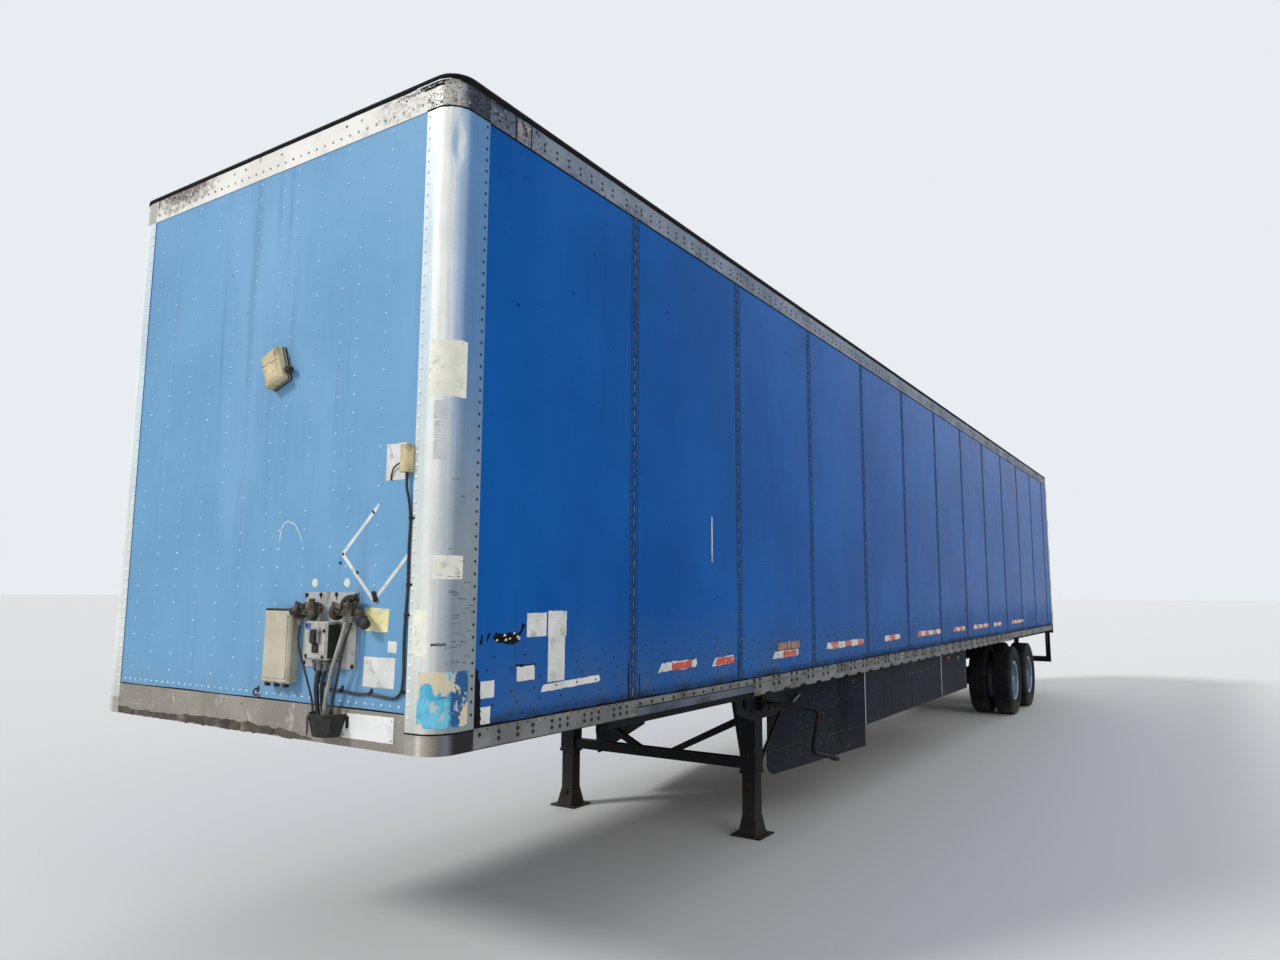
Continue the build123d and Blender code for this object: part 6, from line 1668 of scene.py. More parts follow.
    def _scuffs(self) -> None:
        """Short dark rubs near the post's outer edge, and its blackened lower flange."""
        rng = random.Random(self.seed)
        rubs = Draft()
        for _ in range(46):
            along = rng.uniform(0.115, self.arc + 0.06)
            level = rng.choice((rng.uniform(1.5, 1.9), rng.uniform(1.26, 2.3)))
            self.wrap(rubs, along, along + rng.uniform(0.012, 0.045), level,
                       level + rng.uniform(0.0012, 0.0035), 0.0011)
        for place in ((0.062, 1.6, 0.064, 0.052), (0.1, 1.392, 0.11, 0.006)):
            along, level, width, height = place
            self.wrap(rubs, along, along + width, level, level + height * 0.2, 0.0012, 0.003)
        self.piece(rubs, "post_rubs", RUB)
        black = Draft()
        outline = ragged([(0.196, 1.214), (0.266, 1.222), (0.262, 1.33), (0.254, 1.42), (0.24, 1.488),
                          (0.226, 1.5), (0.212, 1.486), (0.204, 1.38)], 0.012, 0.005, rng)
        black.slab([(-a, b) for a, b in outline], (HALF_WIDTH - 0.001, FRONT, 0), (0, -1, 0),
                   (0, 0, 1), 0.0022)
        self.piece(black, "blackened_flange", SEALANT)


@dataclass
class SideMarks(Assembly):
    """Blank papers, tape remains, torn places and seal lines on the road side."""

    seed: int = 5
    skin: float = 0.0007
    tapes: tuple[tuple[float, float, float], ...] = (
        (4.272, 5.19, 1.402),
        (5.77, 6.29, 1.404), (6.9, 7.85, 1.406), (8.43, 9.01, 1.405), (9.48, 10.43, 1.406),
        (10.73, 11.3, 1.404), (12.09, 13.07, 1.404))
    front_tapes: tuple[tuple[float, float, float, float, float], ...] = (
        (1.7, 2.145, 1.402, 1.85, 2.085), (2.34, 2.64, 1.396, 2.392, 2.636),
        (3.24, 3.705, 1.387, 3.425, 3.668))
    papers: tuple[tuple[float, float, float, float], ...] = (
        (0.559, 0.7, 1.618, 1.727), (0.712, 0.854, 1.612, 1.734), (0.715, 0.844, 1.404, 1.612),
        (0.494, 0.619, 1.424, 1.49), (0.262, 0.347, 1.37, 1.442), (0.262, 0.325, 1.262, 1.333))
    marker: tuple[float, float, float, float] = (3.305, 3.722, 1.413, 1.474)
    cover: tuple[float, float] = (2.203, 1.446)
    fold: tuple[float, float] = (7.45, 9.02)

    def _plate(self, draft: Draft, outline: Outline, lift: float = 0.0, face: float = PANEL_FACE) -> None:
        """Adds a thin plate on the road side, from (distance behind the front, height) corners."""
        draft.slab([(d, z) for d, z in outline], (face - 0.0005, FRONT, 0), (0, 1, 0), (0, 0, 1),
                   self.skin + 0.0005 + lift)

    def build(self) -> None:
        """Makes the road side's marks."""
        rng = random.Random(self.seed)
        tape = Draft()
        for start, end, level in self.tapes:
            half = 0.026
            outline = [(start, level - half), (end - 0.02, level - half + 0.004),
                       (end, level - 0.004), (end - 0.012, level + half),
                       (start + 0.035, level + half)]
            self._plate(tape, ragged(outline, 0.03, 0.0055, rng))
        self.piece(tape, "torn_reflective_tape", TAPE)
        pale, red = Draft(), Draft()
        for start, end, level, first, last in self.front_tapes:
            foot, head = level - 0.026, level + 0.026
            self._plate(pale, ragged([(start, foot), (end - 0.02, foot + 0.004), (end, level - 0.004),
                                      (end - 0.008, head), (start + 0.045, head)], 0.03, 0.004, rng))
            self._plate(red, ragged([(first, foot + 0.003), (last, foot + 0.005),
                                     (last - 0.004, head - 0.004), (first + 0.006, head - 0.006)],
                                    0.03, 0.004, rng), 0.0003)
        self.piece(pale, "pale_front_tapes", PALE_TAPE)
        self.piece(red, "red_front_tapes", RED_TAPE)
        papers = Draft()
        for start, end, low, high in self.papers:
            outline = [(start, low), (end, low), (end, high), (start, high)]
            self._plate(papers, ragged(outline, 0.02, 0.0014, rng))
        strip = [(0.668, 1.362), (1.13, 1.375), (1.142, 1.384), (1.128, 1.408), (0.69, 1.396),
                 (0.676, 1.386)]
        self._plate(papers, ragged(strip, 0.025, 0.002, rng), 0.0004)
        mark = [(2.342, 2.018), (2.354, 2.018), (2.354, 2.303), (2.342, 2.303)]
        self._plate(papers, ragged(mark, 0.02, 0.001, rng))
        self.piece(papers, "blank_side_papers", STICKER)
        tears = Draft()
        for outline in (
                [(0.332, 1.622), (0.35, 1.604), (0.392, 1.6), (0.42, 1.592), (0.47, 1.588),
                 (0.5, 1.6), (0.52, 1.632), (0.546, 1.668), (0.532, 1.69), (0.516, 1.65),
                 (0.494, 1.636), (0.44, 1.646), (0.402, 1.634), (0.352, 1.648)],
                [(0.25, 1.6), (0.262, 1.598), (0.268, 1.636), (0.256, 1.64)],
                [(0.29, 1.612), (0.3, 1.61), (0.316, 1.64), (0.308, 1.646)],
                [(0.488, 1.486), (0.622, 1.49), (0.622, 1.497), (0.492, 1.5)]):
            self._plate(tears, ragged(outline, 0.014, 0.004, rng))
        for place, low, high in ((1.392, 1.26, 1.45), (1.502, 1.26, 1.38), (2.7, 1.26, 1.42)):
            outline = [(place, low), (place + 0.016, low), (place + 0.009, high), (place + 0.004, high)]
            self._plate(tears, ragged(outline, 0.03, 0.004, rng))
        self.piece(tears, "torn_paint", SEALANT)
        bare = Draft()
        for _ in range(9):
            place, level = rng.uniform(0.35, 0.51), rng.uniform(1.604, 1.634)
            chip = [(place, level), (place + 0.016, level + 0.002), (place + 0.012, level + 0.01),
                    (place + 0.002, level + 0.008)]
            self._plate(bare, ragged(chip, 0.008, 0.002, rng), 0.0006)
        self.piece(bare, "bare_tear_chips", STICKER)
        self._seal_lines(rng)
        self._markers()

    def _markers(self) -> None:
        """Long marker lamps with a round middle and two wings."""
        lens, base = Draft(), Draft()
        low, high = self.marker[2], self.marker[3]
        level, middle = (low + high) / 2, (self.marker[0] + self.marker[1]) / 2
        for sign in BOTH:
            base.block((sign * (PANEL_FACE + 0.001), back(middle), level),
                       (0.004, self.marker[1] - self.marker[0], high - low), 0.0018)
            for side in (-1, 1):
                length = (self.marker[1] - self.marker[0]) / 2 - 0.046
                centre = middle + side * (0.04 + length / 2)
                lens.block((sign * (PANEL_FACE + 0.0045), back(centre), level),
                           (0.009, length - 0.004, high - low - 0.012), 0.0036)
                base.stud((sign * (PANEL_FACE + 0.009), back(middle + side * (0.03 + length)), level),
                          (sign, 0, 0), 0.0055, 0.0005, 10)
            lens.lathe([(0, 0), (0.033, 0), (0.033, 0.004), (0.028, 0.0085), (0.012, 0.0095), (0, 0.0095)],
                       (sign * PANEL_FACE, back(middle), level), (sign, 0, 0), 28)
        self.piece(lens, "side_marker_lamps", MARKER, "van", ("side_markers",))
        self.piece(base, "side_marker_bases", RUB)

    def _seal_lines(self, rng: random.Random) -> None:
        """Dark sealant along the top of both bottom rails, with the rails' cover strips and thin dark
        lines.
        """
        seal = Draft()
        for sign in BOTH:
            places = steps(0.235, 16.055, 0.06)
            upper = [(d, 1.2575 + rng.uniform(-0.002, 0.006)) for d in places]
            lower = [(d, 1.2495) for d in reversed(places)]
            way = (0, 1, 0) if sign > 0 else (0, -1, 0)
            outline = [(sign * d, z) for d, z in lower[::-1] + upper[::-1]]
            seal.slab(outline, (sign * (PANEL_FACE - 0.0005), FRONT, 0), way, (0, 0, 1), 0.0022)
        self.piece(seal, "rail_sealant", SEALANT)
        cover = Draft()
        for sign in BOTH:
            cover.block((sign * (HALF_WIDTH + 0.0015), back(self.cover[0]), 1.185),
                        (0.003, self.cover[1], 0.044), 0.0012)
        self.piece(cover, "rail_cover_strips", RAIL_LIP)
        lines = Draft()
        for sign in BOTH:
            lines.block((sign * HALF_WIDTH, back(self.cover[0]), 1.2095),
                        (0.004, self.cover[1], 0.005), 0.0012)
            lines.block((sign * HALF_WIDTH, back(self.fold[0]), 1.218),
                        (0.0024, self.fold[1], 0.0026), 0.0008)
        self.piece(lines, "rail_fold_lines", SEALANT)


@dataclass
class FrontMarks(Assembly):
    """Blank stickers, tape and small things on the front wall."""

    seed: int = 8

    @staticmethod
    def plate(draft: Draft, outline: Outline, depth: float = 0.0008, face: float = WALL_FACE) -> None:
        """Adds a thin plate on the front wall from (x, z) corners."""
        draft.slab(outline, (0, face + 0.0005, 0), (1, 0, 0), (0, 0, 1), depth + 0.0005)

    def band(self, draft: Draft, route: Outline, width: float, depth: float = 0.0008) -> None:
        """Adds straight strips from point to point."""
        for (a, b), (c, d) in zip(route, route[1:]):
            along = Vector((c - a, d - b)).normalized()
            side = Vector((-along[1], along[0])) * width / 2
            ends = [Vector((a, b)) - along * width * 0.3, Vector((c, d)) + along * width * 0.3]
            outline = [tuple(ends[0] - side), tuple(ends[1] - side), tuple(ends[1] + side),
                       tuple(ends[0] + side)]
            self.plate(draft, outline, depth)

    def build(self) -> None:
        """Makes the front wall's marks."""
        rng = random.Random(self.seed)
        white = Draft()
        self.band(white, ((0.904, 2.196), (0.874, 2.166), (0.68, 1.987), (0.898, 1.781),
                          (1.104, 1.979)), 0.017)
        self.band(white, ((0.217, 2.058), (0.222, 2.112), (0.245, 2.142), (0.277, 2.151),
                          (0.33, 2.13), (0.362, 2.094), (0.383, 2.054)), 0.005, 0.0004)
        for x in (0.497, 0.719):
            white.lathe([(0, -0.0005), (0.02, -0.0005), (0.02, 0.0008), (0, 0.001)],
                        (x, WALL_FACE, 1.859), (0, -1, 0), 28)
        for outline in ([(1, 1.566), (1.053, 1.565), (1.053, 1.613), (1, 1.614)],
                        [(0.851, 1.417), (1.045, 1.417), (1.047, 1.544), (0.853, 1.543)],
                        [(0.944, 2.3), (1.064, 2.3), (1.064, 2.46), (0.944, 2.46)]):
            self.plate(white, ragged(outline, 0.03, 0.0012, rng))
        self.piece(white, "front_stickers", STICKER)
        plate = Draft()
        self.plate(plate, [(0.738, 1.196), (1.058, 1.196), (1.058, 1.303), (0.738, 1.3)], 0.0016, FRONT)
        self.piece(plate, "blank_front_plate", BLANK_PLATE)
        fixings = Draft()
        for x in (0.75, 1.046):
            for z in (1.208, 1.288):
                fixings.stud((x, FRONT - 0.0016, z), (0, -1, 0), 0.005, 0.0025, 10)
        self.piece(fixings, "front_plate_rivets", RAIL_RIVET)
        yellow = Draft()
        self.plate(yellow, ragged([(0.85, 1.652), (0.994, 1.65), (0.998, 1.749), (0.846, 1.752)],
                                  0.03, 0.0015, rng))
        self.piece(yellow, "blank_yellow_sticker", YELLOW_STICKER)
        tie = Draft()
        tie.block((0.91, WALL_FACE - 0.008, 1.8), (0.02, 0.016, 0.05), 0.005, tilt(-28))
        for place in ((0.785, 1.905), (0.668, 1.948)):
            tie.block((place[0], WALL_FACE - 0.003, place[1]), (0.012, 0.006, 0.012), 0.002)
        self.piece(tie, "wall_line_tie", RUBBER)
        hook = Draft()
        hook.tube([(0.118, WALL_FACE - 0.002, 1.362), (0.117, WALL_FACE - 0.016, 1.364),
                   (0.116, WALL_FACE - 0.024, 1.354), (0.117, WALL_FACE - 0.024, 1.34),
                   (0.12, WALL_FACE - 0.014, 1.334), (0.122, WALL_FACE - 0.006, 1.338)], 0.0045, 10)
        hook.block((0.118, WALL_FACE - 0.0015, 1.362), (0.018, 0.003, 0.03), 0.001)
        self.piece(hook, "small_wall_hook", CASTING)
        runs = Draft()
        self.plate(runs, ragged([(0.116, 1.272), (0.122, 1.27), (0.126, 1.336), (0.114, 1.336)],
                                0.012, 0.002, rng), 0.0003)
        for x in (0.446, 0.552, 0.659):
            outline = [(x - 0.004, 1.79), (x + 0.004, 1.78), (x + 0.005, 1.8), (x - 0.005, 1.8)]
            self.plate(runs, ragged(outline, 0.01, 0.001, rng), 0.0003, WALL_FACE - 0.006)
        self.piece(runs, "rust_runs", RUST_STAIN)
        stain = Draft()
        outline = [(-1.12, 1.161), (0.56, 1.161), (0.52, 1.172), (0.4, 1.19), (0.3, 1.198),
                   (0.22, 1.196), (0.06, 1.205), (-0.3, 1.206), (-0.7, 1.19), (-1.12, 1.196)]
        self.plate(stain, ragged(outline, 0.03, 0.006, rng), 0.0006, FRONT)
        self.piece(stain, "band_stain", STAIN)
        line = Draft()
        line.tube([(x, WALL_FACE - 0.001, 1.3205 + 0.0015 * math.sin(x * 9))
                   for x in steps(-1.11, 1.11, 0.06)], 0.0032, 8)
        self.piece(line, "band_top_sealant", SEALANT)


@dataclass
class FrontFittings(Assembly):
    """Small parts of the boxes, couplings, lamps and lines on the front wall."""

    box_face: float = WALL_FACE - 0.056
    junction_face: float = WALL_FACE - 0.078
    tray_middle: float = 0.665
    lamp_tilt: float = 20.0

    def build(self) -> None:
        """Makes the fittings' details."""
        self._document_box()
        self._junction_box()
        self._couplings()
        self._lamps()
        self._line_fixings()
        self._pale_line()
        self._tray()

    def _document_box(self) -> None:
        """Raised lid field, hinge barrel and catches."""
        lid = Draft()
        lid.slab([(0.23, 1.424), (0.394, 1.424), (0.394, 1.714), (0.23, 1.714)],
                 (0, self.box_face + 0.001, 0), (1, 0, 0), (0, 0, 1), 0.0045, 0.003)
        self.piece(lid, "document_box_lid", DOCUMENT_BOX)
        catches = Draft()
        catches.tube([(0.216, WALL_FACE - 0.044, 1.7365), (0.408, WALL_FACE - 0.044, 1.7365)], 0.006, 12)
        for x in (0.245, 0.312, 0.38):
            catches.block((x, WALL_FACE - 0.038, 1.397), (0.03, 0.012, 0.018), 0.003)
            catches.block((x, WALL_FACE - 0.047, 1.403), (0.02, 0.008, 0.03), 0.002)
        for x in (0.232, 0.392):
            for z in (1.432, 1.706):
                catches.stud((x, self.box_face - 0.001, z), (0, -1, 0), 0.004, 0.002, 8)
        self.piece(catches, "document_box_catches", BOLT)

    def _junction_box(self) -> None:
        """Cover plate, latch with its springs, screws and a black slab on its side that is painted shade.
        """
        cover = Draft()
        cover.slab([(0.553, 1.529), (0.691, 1.529), (0.691, 1.683), (0.553, 1.683)],
                   (0, self.junction_face + 0.001, 0), (1, 0, 0), (0, 0, 1), 0.005, 0.003)
        self.piece(cover, "junction_box_cover", GREY_BOX)
        dark = Draft()
        face = self.junction_face - 0.004
        dark.block((0.629, face - 0.01, 1.628), (0.034, 0.02, 0.056), 0.005)
        dark.block((0.629, face - 0.016, 1.604), (0.026, 0.0118, 0.02), 0.004)
        dark.block((0.631, face - 0.004, 1.575), (0.04, 0.008, 0.04), 0.003)
        for x, z in ((0.682, 1.65), (0.566, 1.54), (0.678, 1.538), (0.564, 1.672)):
            dark.bolt((x, face + 0.001, z), (0, -1, 0), 0.011, 0.006)
        # black slab along the box's side: painted shade where the side lies in shade
        dark.block((0.699, WALL_FACE - 0.04, 1.604), (0.006, 0.062, 0.146), 0.002)
        dark.block((0.64, WALL_FACE - 0.034, 1.521), (0.12, 0.05, 0.01), 0.003)
        self.piece(dark, "junction_box_latch_and_side_shade", RUBBER)
        blue = Draft()
        blue.slab([(0.553, 1.656), (0.592, 1.654), (0.59, 1.682), (0.554, 1.682)],
                  (0, self.junction_face - 0.0035, 0), (1, 0, 0), (0, 0, 1), 0.0012)
        self.piece(blue, "junction_blue_patch", BLUE_PATCH)
        springs = Draft()
        for x in (0.602, 0.656):
            coil = [(x + 0.006 * math.cos(t * 0.9), face - 0.009 + 0.006 * math.sin(t * 0.9),
                     1.598 + 0.0007 * t) for t in range(0, 84)]
            springs.tube(coil, 0.0016, 6)
        self.piece(springs, "latch_springs", GREY_STEEL)
        screws = Draft()
        for x, z in ((0.452, 1.805), (0.79, 1.804), (0.552, 1.806), (0.659, 1.808), (0.784, 1.497),
                     (0.456, 1.5)):
            screws.bolt((x, WALL_FACE - 0.006, z), (0, -1, 0), 0.012, 0.007)
        self.piece(screws, "back_plate_screws", BOLT)

    def _couplings(self) -> None:
        """Seals, cover arcs, locking plates and hose ends of the two air couplings."""
        metal, seals = Draft(), Draft()
        out = WALL_FACE - 0.047
        for x, z in ((0.545, 1.745), (0.8, 1.745)):
            head = (x - 0.081, out, z - 0.013)
            seals.lathe([(0.012, 0.013), (0.024, 0.013), (0.026, 0.017), (0.024, 0.021),
                         (0.012, 0.021), (0.01, 0.017)], head, (-1, 0, 0), 28)
            metal.lathe([(0.027, 0.01), (0.035, 0.01), (0.037, 0), (0.035, -0.01),
                         (0.027, -0.01)], head, (-1, 0, 0), 28)
            metal.block((x - 0.06, out - 0.022, z + 0.016), (0.06, 0.006, 0.022), 0.002, tilt(14))
            metal.bolt((x + 0.014, WALL_FACE - 0.062, z + 0.012), (0, -1, 0), 0.016, 0.01)
            metal.bolt((x - 0.018, WALL_FACE - 0.062, z - 0.014), (0, -1, 0), 0.013, 0.008)
            metal.lathe([(0, 0), (0.014, 0), (0.014, 0.012), (0.01, 0.016), (0, 0.016)],
                        (x, out, z + 0.028), (0, 0, 1), 16)
        metal.block((0.56, out - 0.006, 1.716), (0.05, 0.034, 0.04), 0.008, tilt(20))
        metal.block((0.858, out + 0.008, 1.724), (0.05, 0.03, 0.034), 0.008, tilt(35))
        self.piece(metal, "coupling_castings", CASTING)
        for level, step in enumerate((0, 0.01, 0.02)):
            inner = 0.04 + 0.006 * level
            seals.lathe([(inner, 0), (inner + 0.018, 0), (inner + 0.016, 0.014), (inner, 0.014)],
                        (0.815, out + 0.02 - step, 1.738), (0, -1, 0), 16, (200, 330))
        seals.lathe([(0, 0), (0.016, 0), (0.018, 0.01), (0.026, 0.016), (0.028, 0.04),
                     (0.022, 0.048), (0.024, 0.054), (0.022, 0.074), (0.014, 0.08), (0, 0.08)],
                    (0.856, out, 1.716), (0.86, -0.1, -0.5), 24)
        seals.lathe([(0, 0), (0.02, 0), (0.022, 0.008), (0.018, 0.014), (0.022, 0.02),
                     (0.019, 0.038), (0, 0.04)], (0.4478, out, 1.732), (-1, 0, -0.05), 24)
        self.piece(seals, "coupling_rubbers", RUBBER)

    def _lamps(self) -> None:
        """Gasket, connector and crack line of the tilted lamp, and the small lamp's trim."""
        turn = tilt(-self.lamp_tilt)
        centre = Vector((0.15, 0, 2.905))
        rubber = Draft()
        rubber.block((centre.x, WALL_FACE - 0.018, centre.z), (0.134, 0.008, 0.179), 0.002, turn)
        rubber.block((centre.x, WALL_FACE - 0.004, centre.z), (0.138, 0.008, 0.183), 0.002, turn)
        plug = centre + turn @ Vector((0.078, FRONT - 0.026, -0.045))
        rubber.lathe([(0, 0), (0.016, 0), (0.018, 0.012), (0.015, 0.03), (0.01, 0.036),
                      (0, 0.036)], plug, turn @ Vector((1, 0.2, -0.5)), 18)
        rubber.tube([(1.058, WALL_FACE - 0.01, 2.372), (1.03, WALL_FACE - 0.014, 2.366),
                     (1, WALL_FACE - 0.01, 2.352), (0.985, WALL_FACE - 0.006, 2.326),
                     (0.98, WALL_FACE - 0.005, 2.3)], 0.0035, 8)
        self.piece(rubber, "lamp_gaskets", RUBBER)
        lens = Draft()
        lens.slab([(-0.048, -0.07), (0.048, -0.07), (0.048, 0.07), (-0.048, 0.07)],
                  centre + Vector((0, WALL_FACE - 0.059, 0)), turn @ Vector((1, 0, 0)),
                  turn @ Vector((0, 0, 1)), 0.004, 0.003)
        self.piece(lens, "tilted_lamp_face", BEIGE)
        crack = Draft()
        path = [(-0.06, 0.028), (-0.028, 0.02), (-0.004, 0.026), (0.022, 0.012), (0.056, 0.016)]
        for (a, b), (c, d) in zip(path, path[1:]):
            crack.slab([(a, b - 0.0015), (c, d - 0.001), (c, d + 0.0012), (a, b + 0.0015)],
                       centre + Vector((0, WALL_FACE - 0.0625, 0)), turn @ Vector((1, 0, 0)),
                       turn @ Vector((0, 0, 1)), 0.0008)
        self.piece(crack, "lamp_crack", SEALANT)

    def _line_fixings(self) -> None:
        """Strain reliefs at the boxes and clips of the harness."""
        glands = Draft()
        for x, out, z, radius in ((0.574, 0.04, 1.523, 0.005), (0.618, 0.046, 1.523, 0.011),
                                  (0.652, 0.04, 1.523, 0.009), (0.59, 0.024, 1.523, 0.006)):
            glands.lathe([(radius, 0), (radius + 0.008, 0), (radius + 0.007, 0.014),
                          (radius + 0.003, 0.02), (radius + 0.0015, 0.046), (radius * 0.98, 0.046)],
                         (x, WALL_FACE - out, z), (0, 0, -1), 18)
        for x, out, z, radius in ((0.466, 0.047, 1.699, 0.005), (0.782, 0.047, 1.717, 0.007),
                                  (0.814, 0.047, 1.717, 0.006)):
            glands.lathe([(radius * 0.98, 0), (radius + 0.007, 0), (radius + 0.006, 0.024),
                          (radius + 0.002, 0.03), (radius * 0.98, 0.03)],
                         (x, WALL_FACE - out, z), (0, 0, -1), 6)
        glands.lathe([(0, 0), (0.01, 0), (0.012, 0.006), (0.012, 0.046), (0.008, 0.054),
                      (0, 0.054)], (0.588, WALL_FACE - 0.036, 1.47), (0.1, 0.06, -1), 16)
        self.piece(glands, "line_glands", GREY_STEEL)
        clips = Draft()
        for x, z, way in ((0.722, 1.393, 0), (0.91, 1.391, 0), (1.103, 1.408, 1), (1.109, 1.725, 1),
                          (1.116, 1.85, 1), (1.117, 2.13, 1)):
            axis = (0, 0, 1) if way else (1, 0, 0)
            clips.lathe([(0.006, -0.006), (0.0085, -0.006), (0.0085, 0.006), (0.006, 0.006)],
                        (x, WALL_FACE - 0.009, z), axis, 16)
            foot = (x + 0.014, WALL_FACE - 0.002, z) if way else (x, WALL_FACE - 0.002, z + 0.014)
            clips.block(foot, (0.014, 0.004, 0.014), 0.001)
            clips.stud((foot[0], WALL_FACE - 0.004, foot[2]), (0, -1, 0), 0.004, 0.003, 8)
        self.piece(clips, "harness_clips", RUBBER)

    def _pale_line(self) -> None:
        """Sleeve of the pale air line, from its coupling into the tray."""
        points = [Vector((x, WALL_FACE - out, z)) for x, out, z in (
            (0.782, 0.047, 1.694), (0.78, 0.056, 1.655), (0.773, 0.069, 1.596), (0.752, 0.068, 1.545),
            (0.73, 0.066, 1.495), (0.714, 0.062, 1.454), (0.698, 0.058, 1.413), (0.687, 0.055, 1.386),
            (0.678, 0.052, 1.36), (0.672, 0.051, 1.33), (0.668, 0.05, 1.298), (0.67, 0.05, 1.262))]
        sleeve = Draft()
        sleeve.tube(points, 0.0086, 14)
        self.piece(sleeve, "pale_air_line", PALE_HOSE)

    def _tray(self) -> None:
        """Rolled rim, mounting ears and the two loose flaps of the line tray."""
        tray = Draft()
        rim = [(self.tray_middle + 0.0952 * math.cos(a), FRONT - 0.0952 * math.sin(a), 1.2935)
               for a in (math.pi * k / 28 for k in range(29))]
        tray.tube(rim, 0.004, 10)
        for sign in BOTH:
            ear = self.tray_middle + sign * 0.104
            tray.block((ear, FRONT - 0.002, 1.262), (0.02, 0.004, 0.052), 0.0015)
            tray.stud((ear + sign * 0.002, FRONT - 0.004, 1.262), (0, -1, 0), 0.005, 0.004, 8)
            flap = [(0, 0), (0.052, -0.004), (0.05, -0.06), (0.03, -0.086), (0.004, -0.066)]
            tray.slab([(sign * u, v) if sign > 0 else (-u, v) for u, v in flap][::sign],
                      (self.tray_middle + sign * 0.034, FRONT - 0.0935, 1.286),
                      (math.cos(0.5 * sign), math.sin(0.5 * sign), 0), (0, 0, 1), 0.003)
        self.piece(tray, "line_tray_trim", RUBBER)


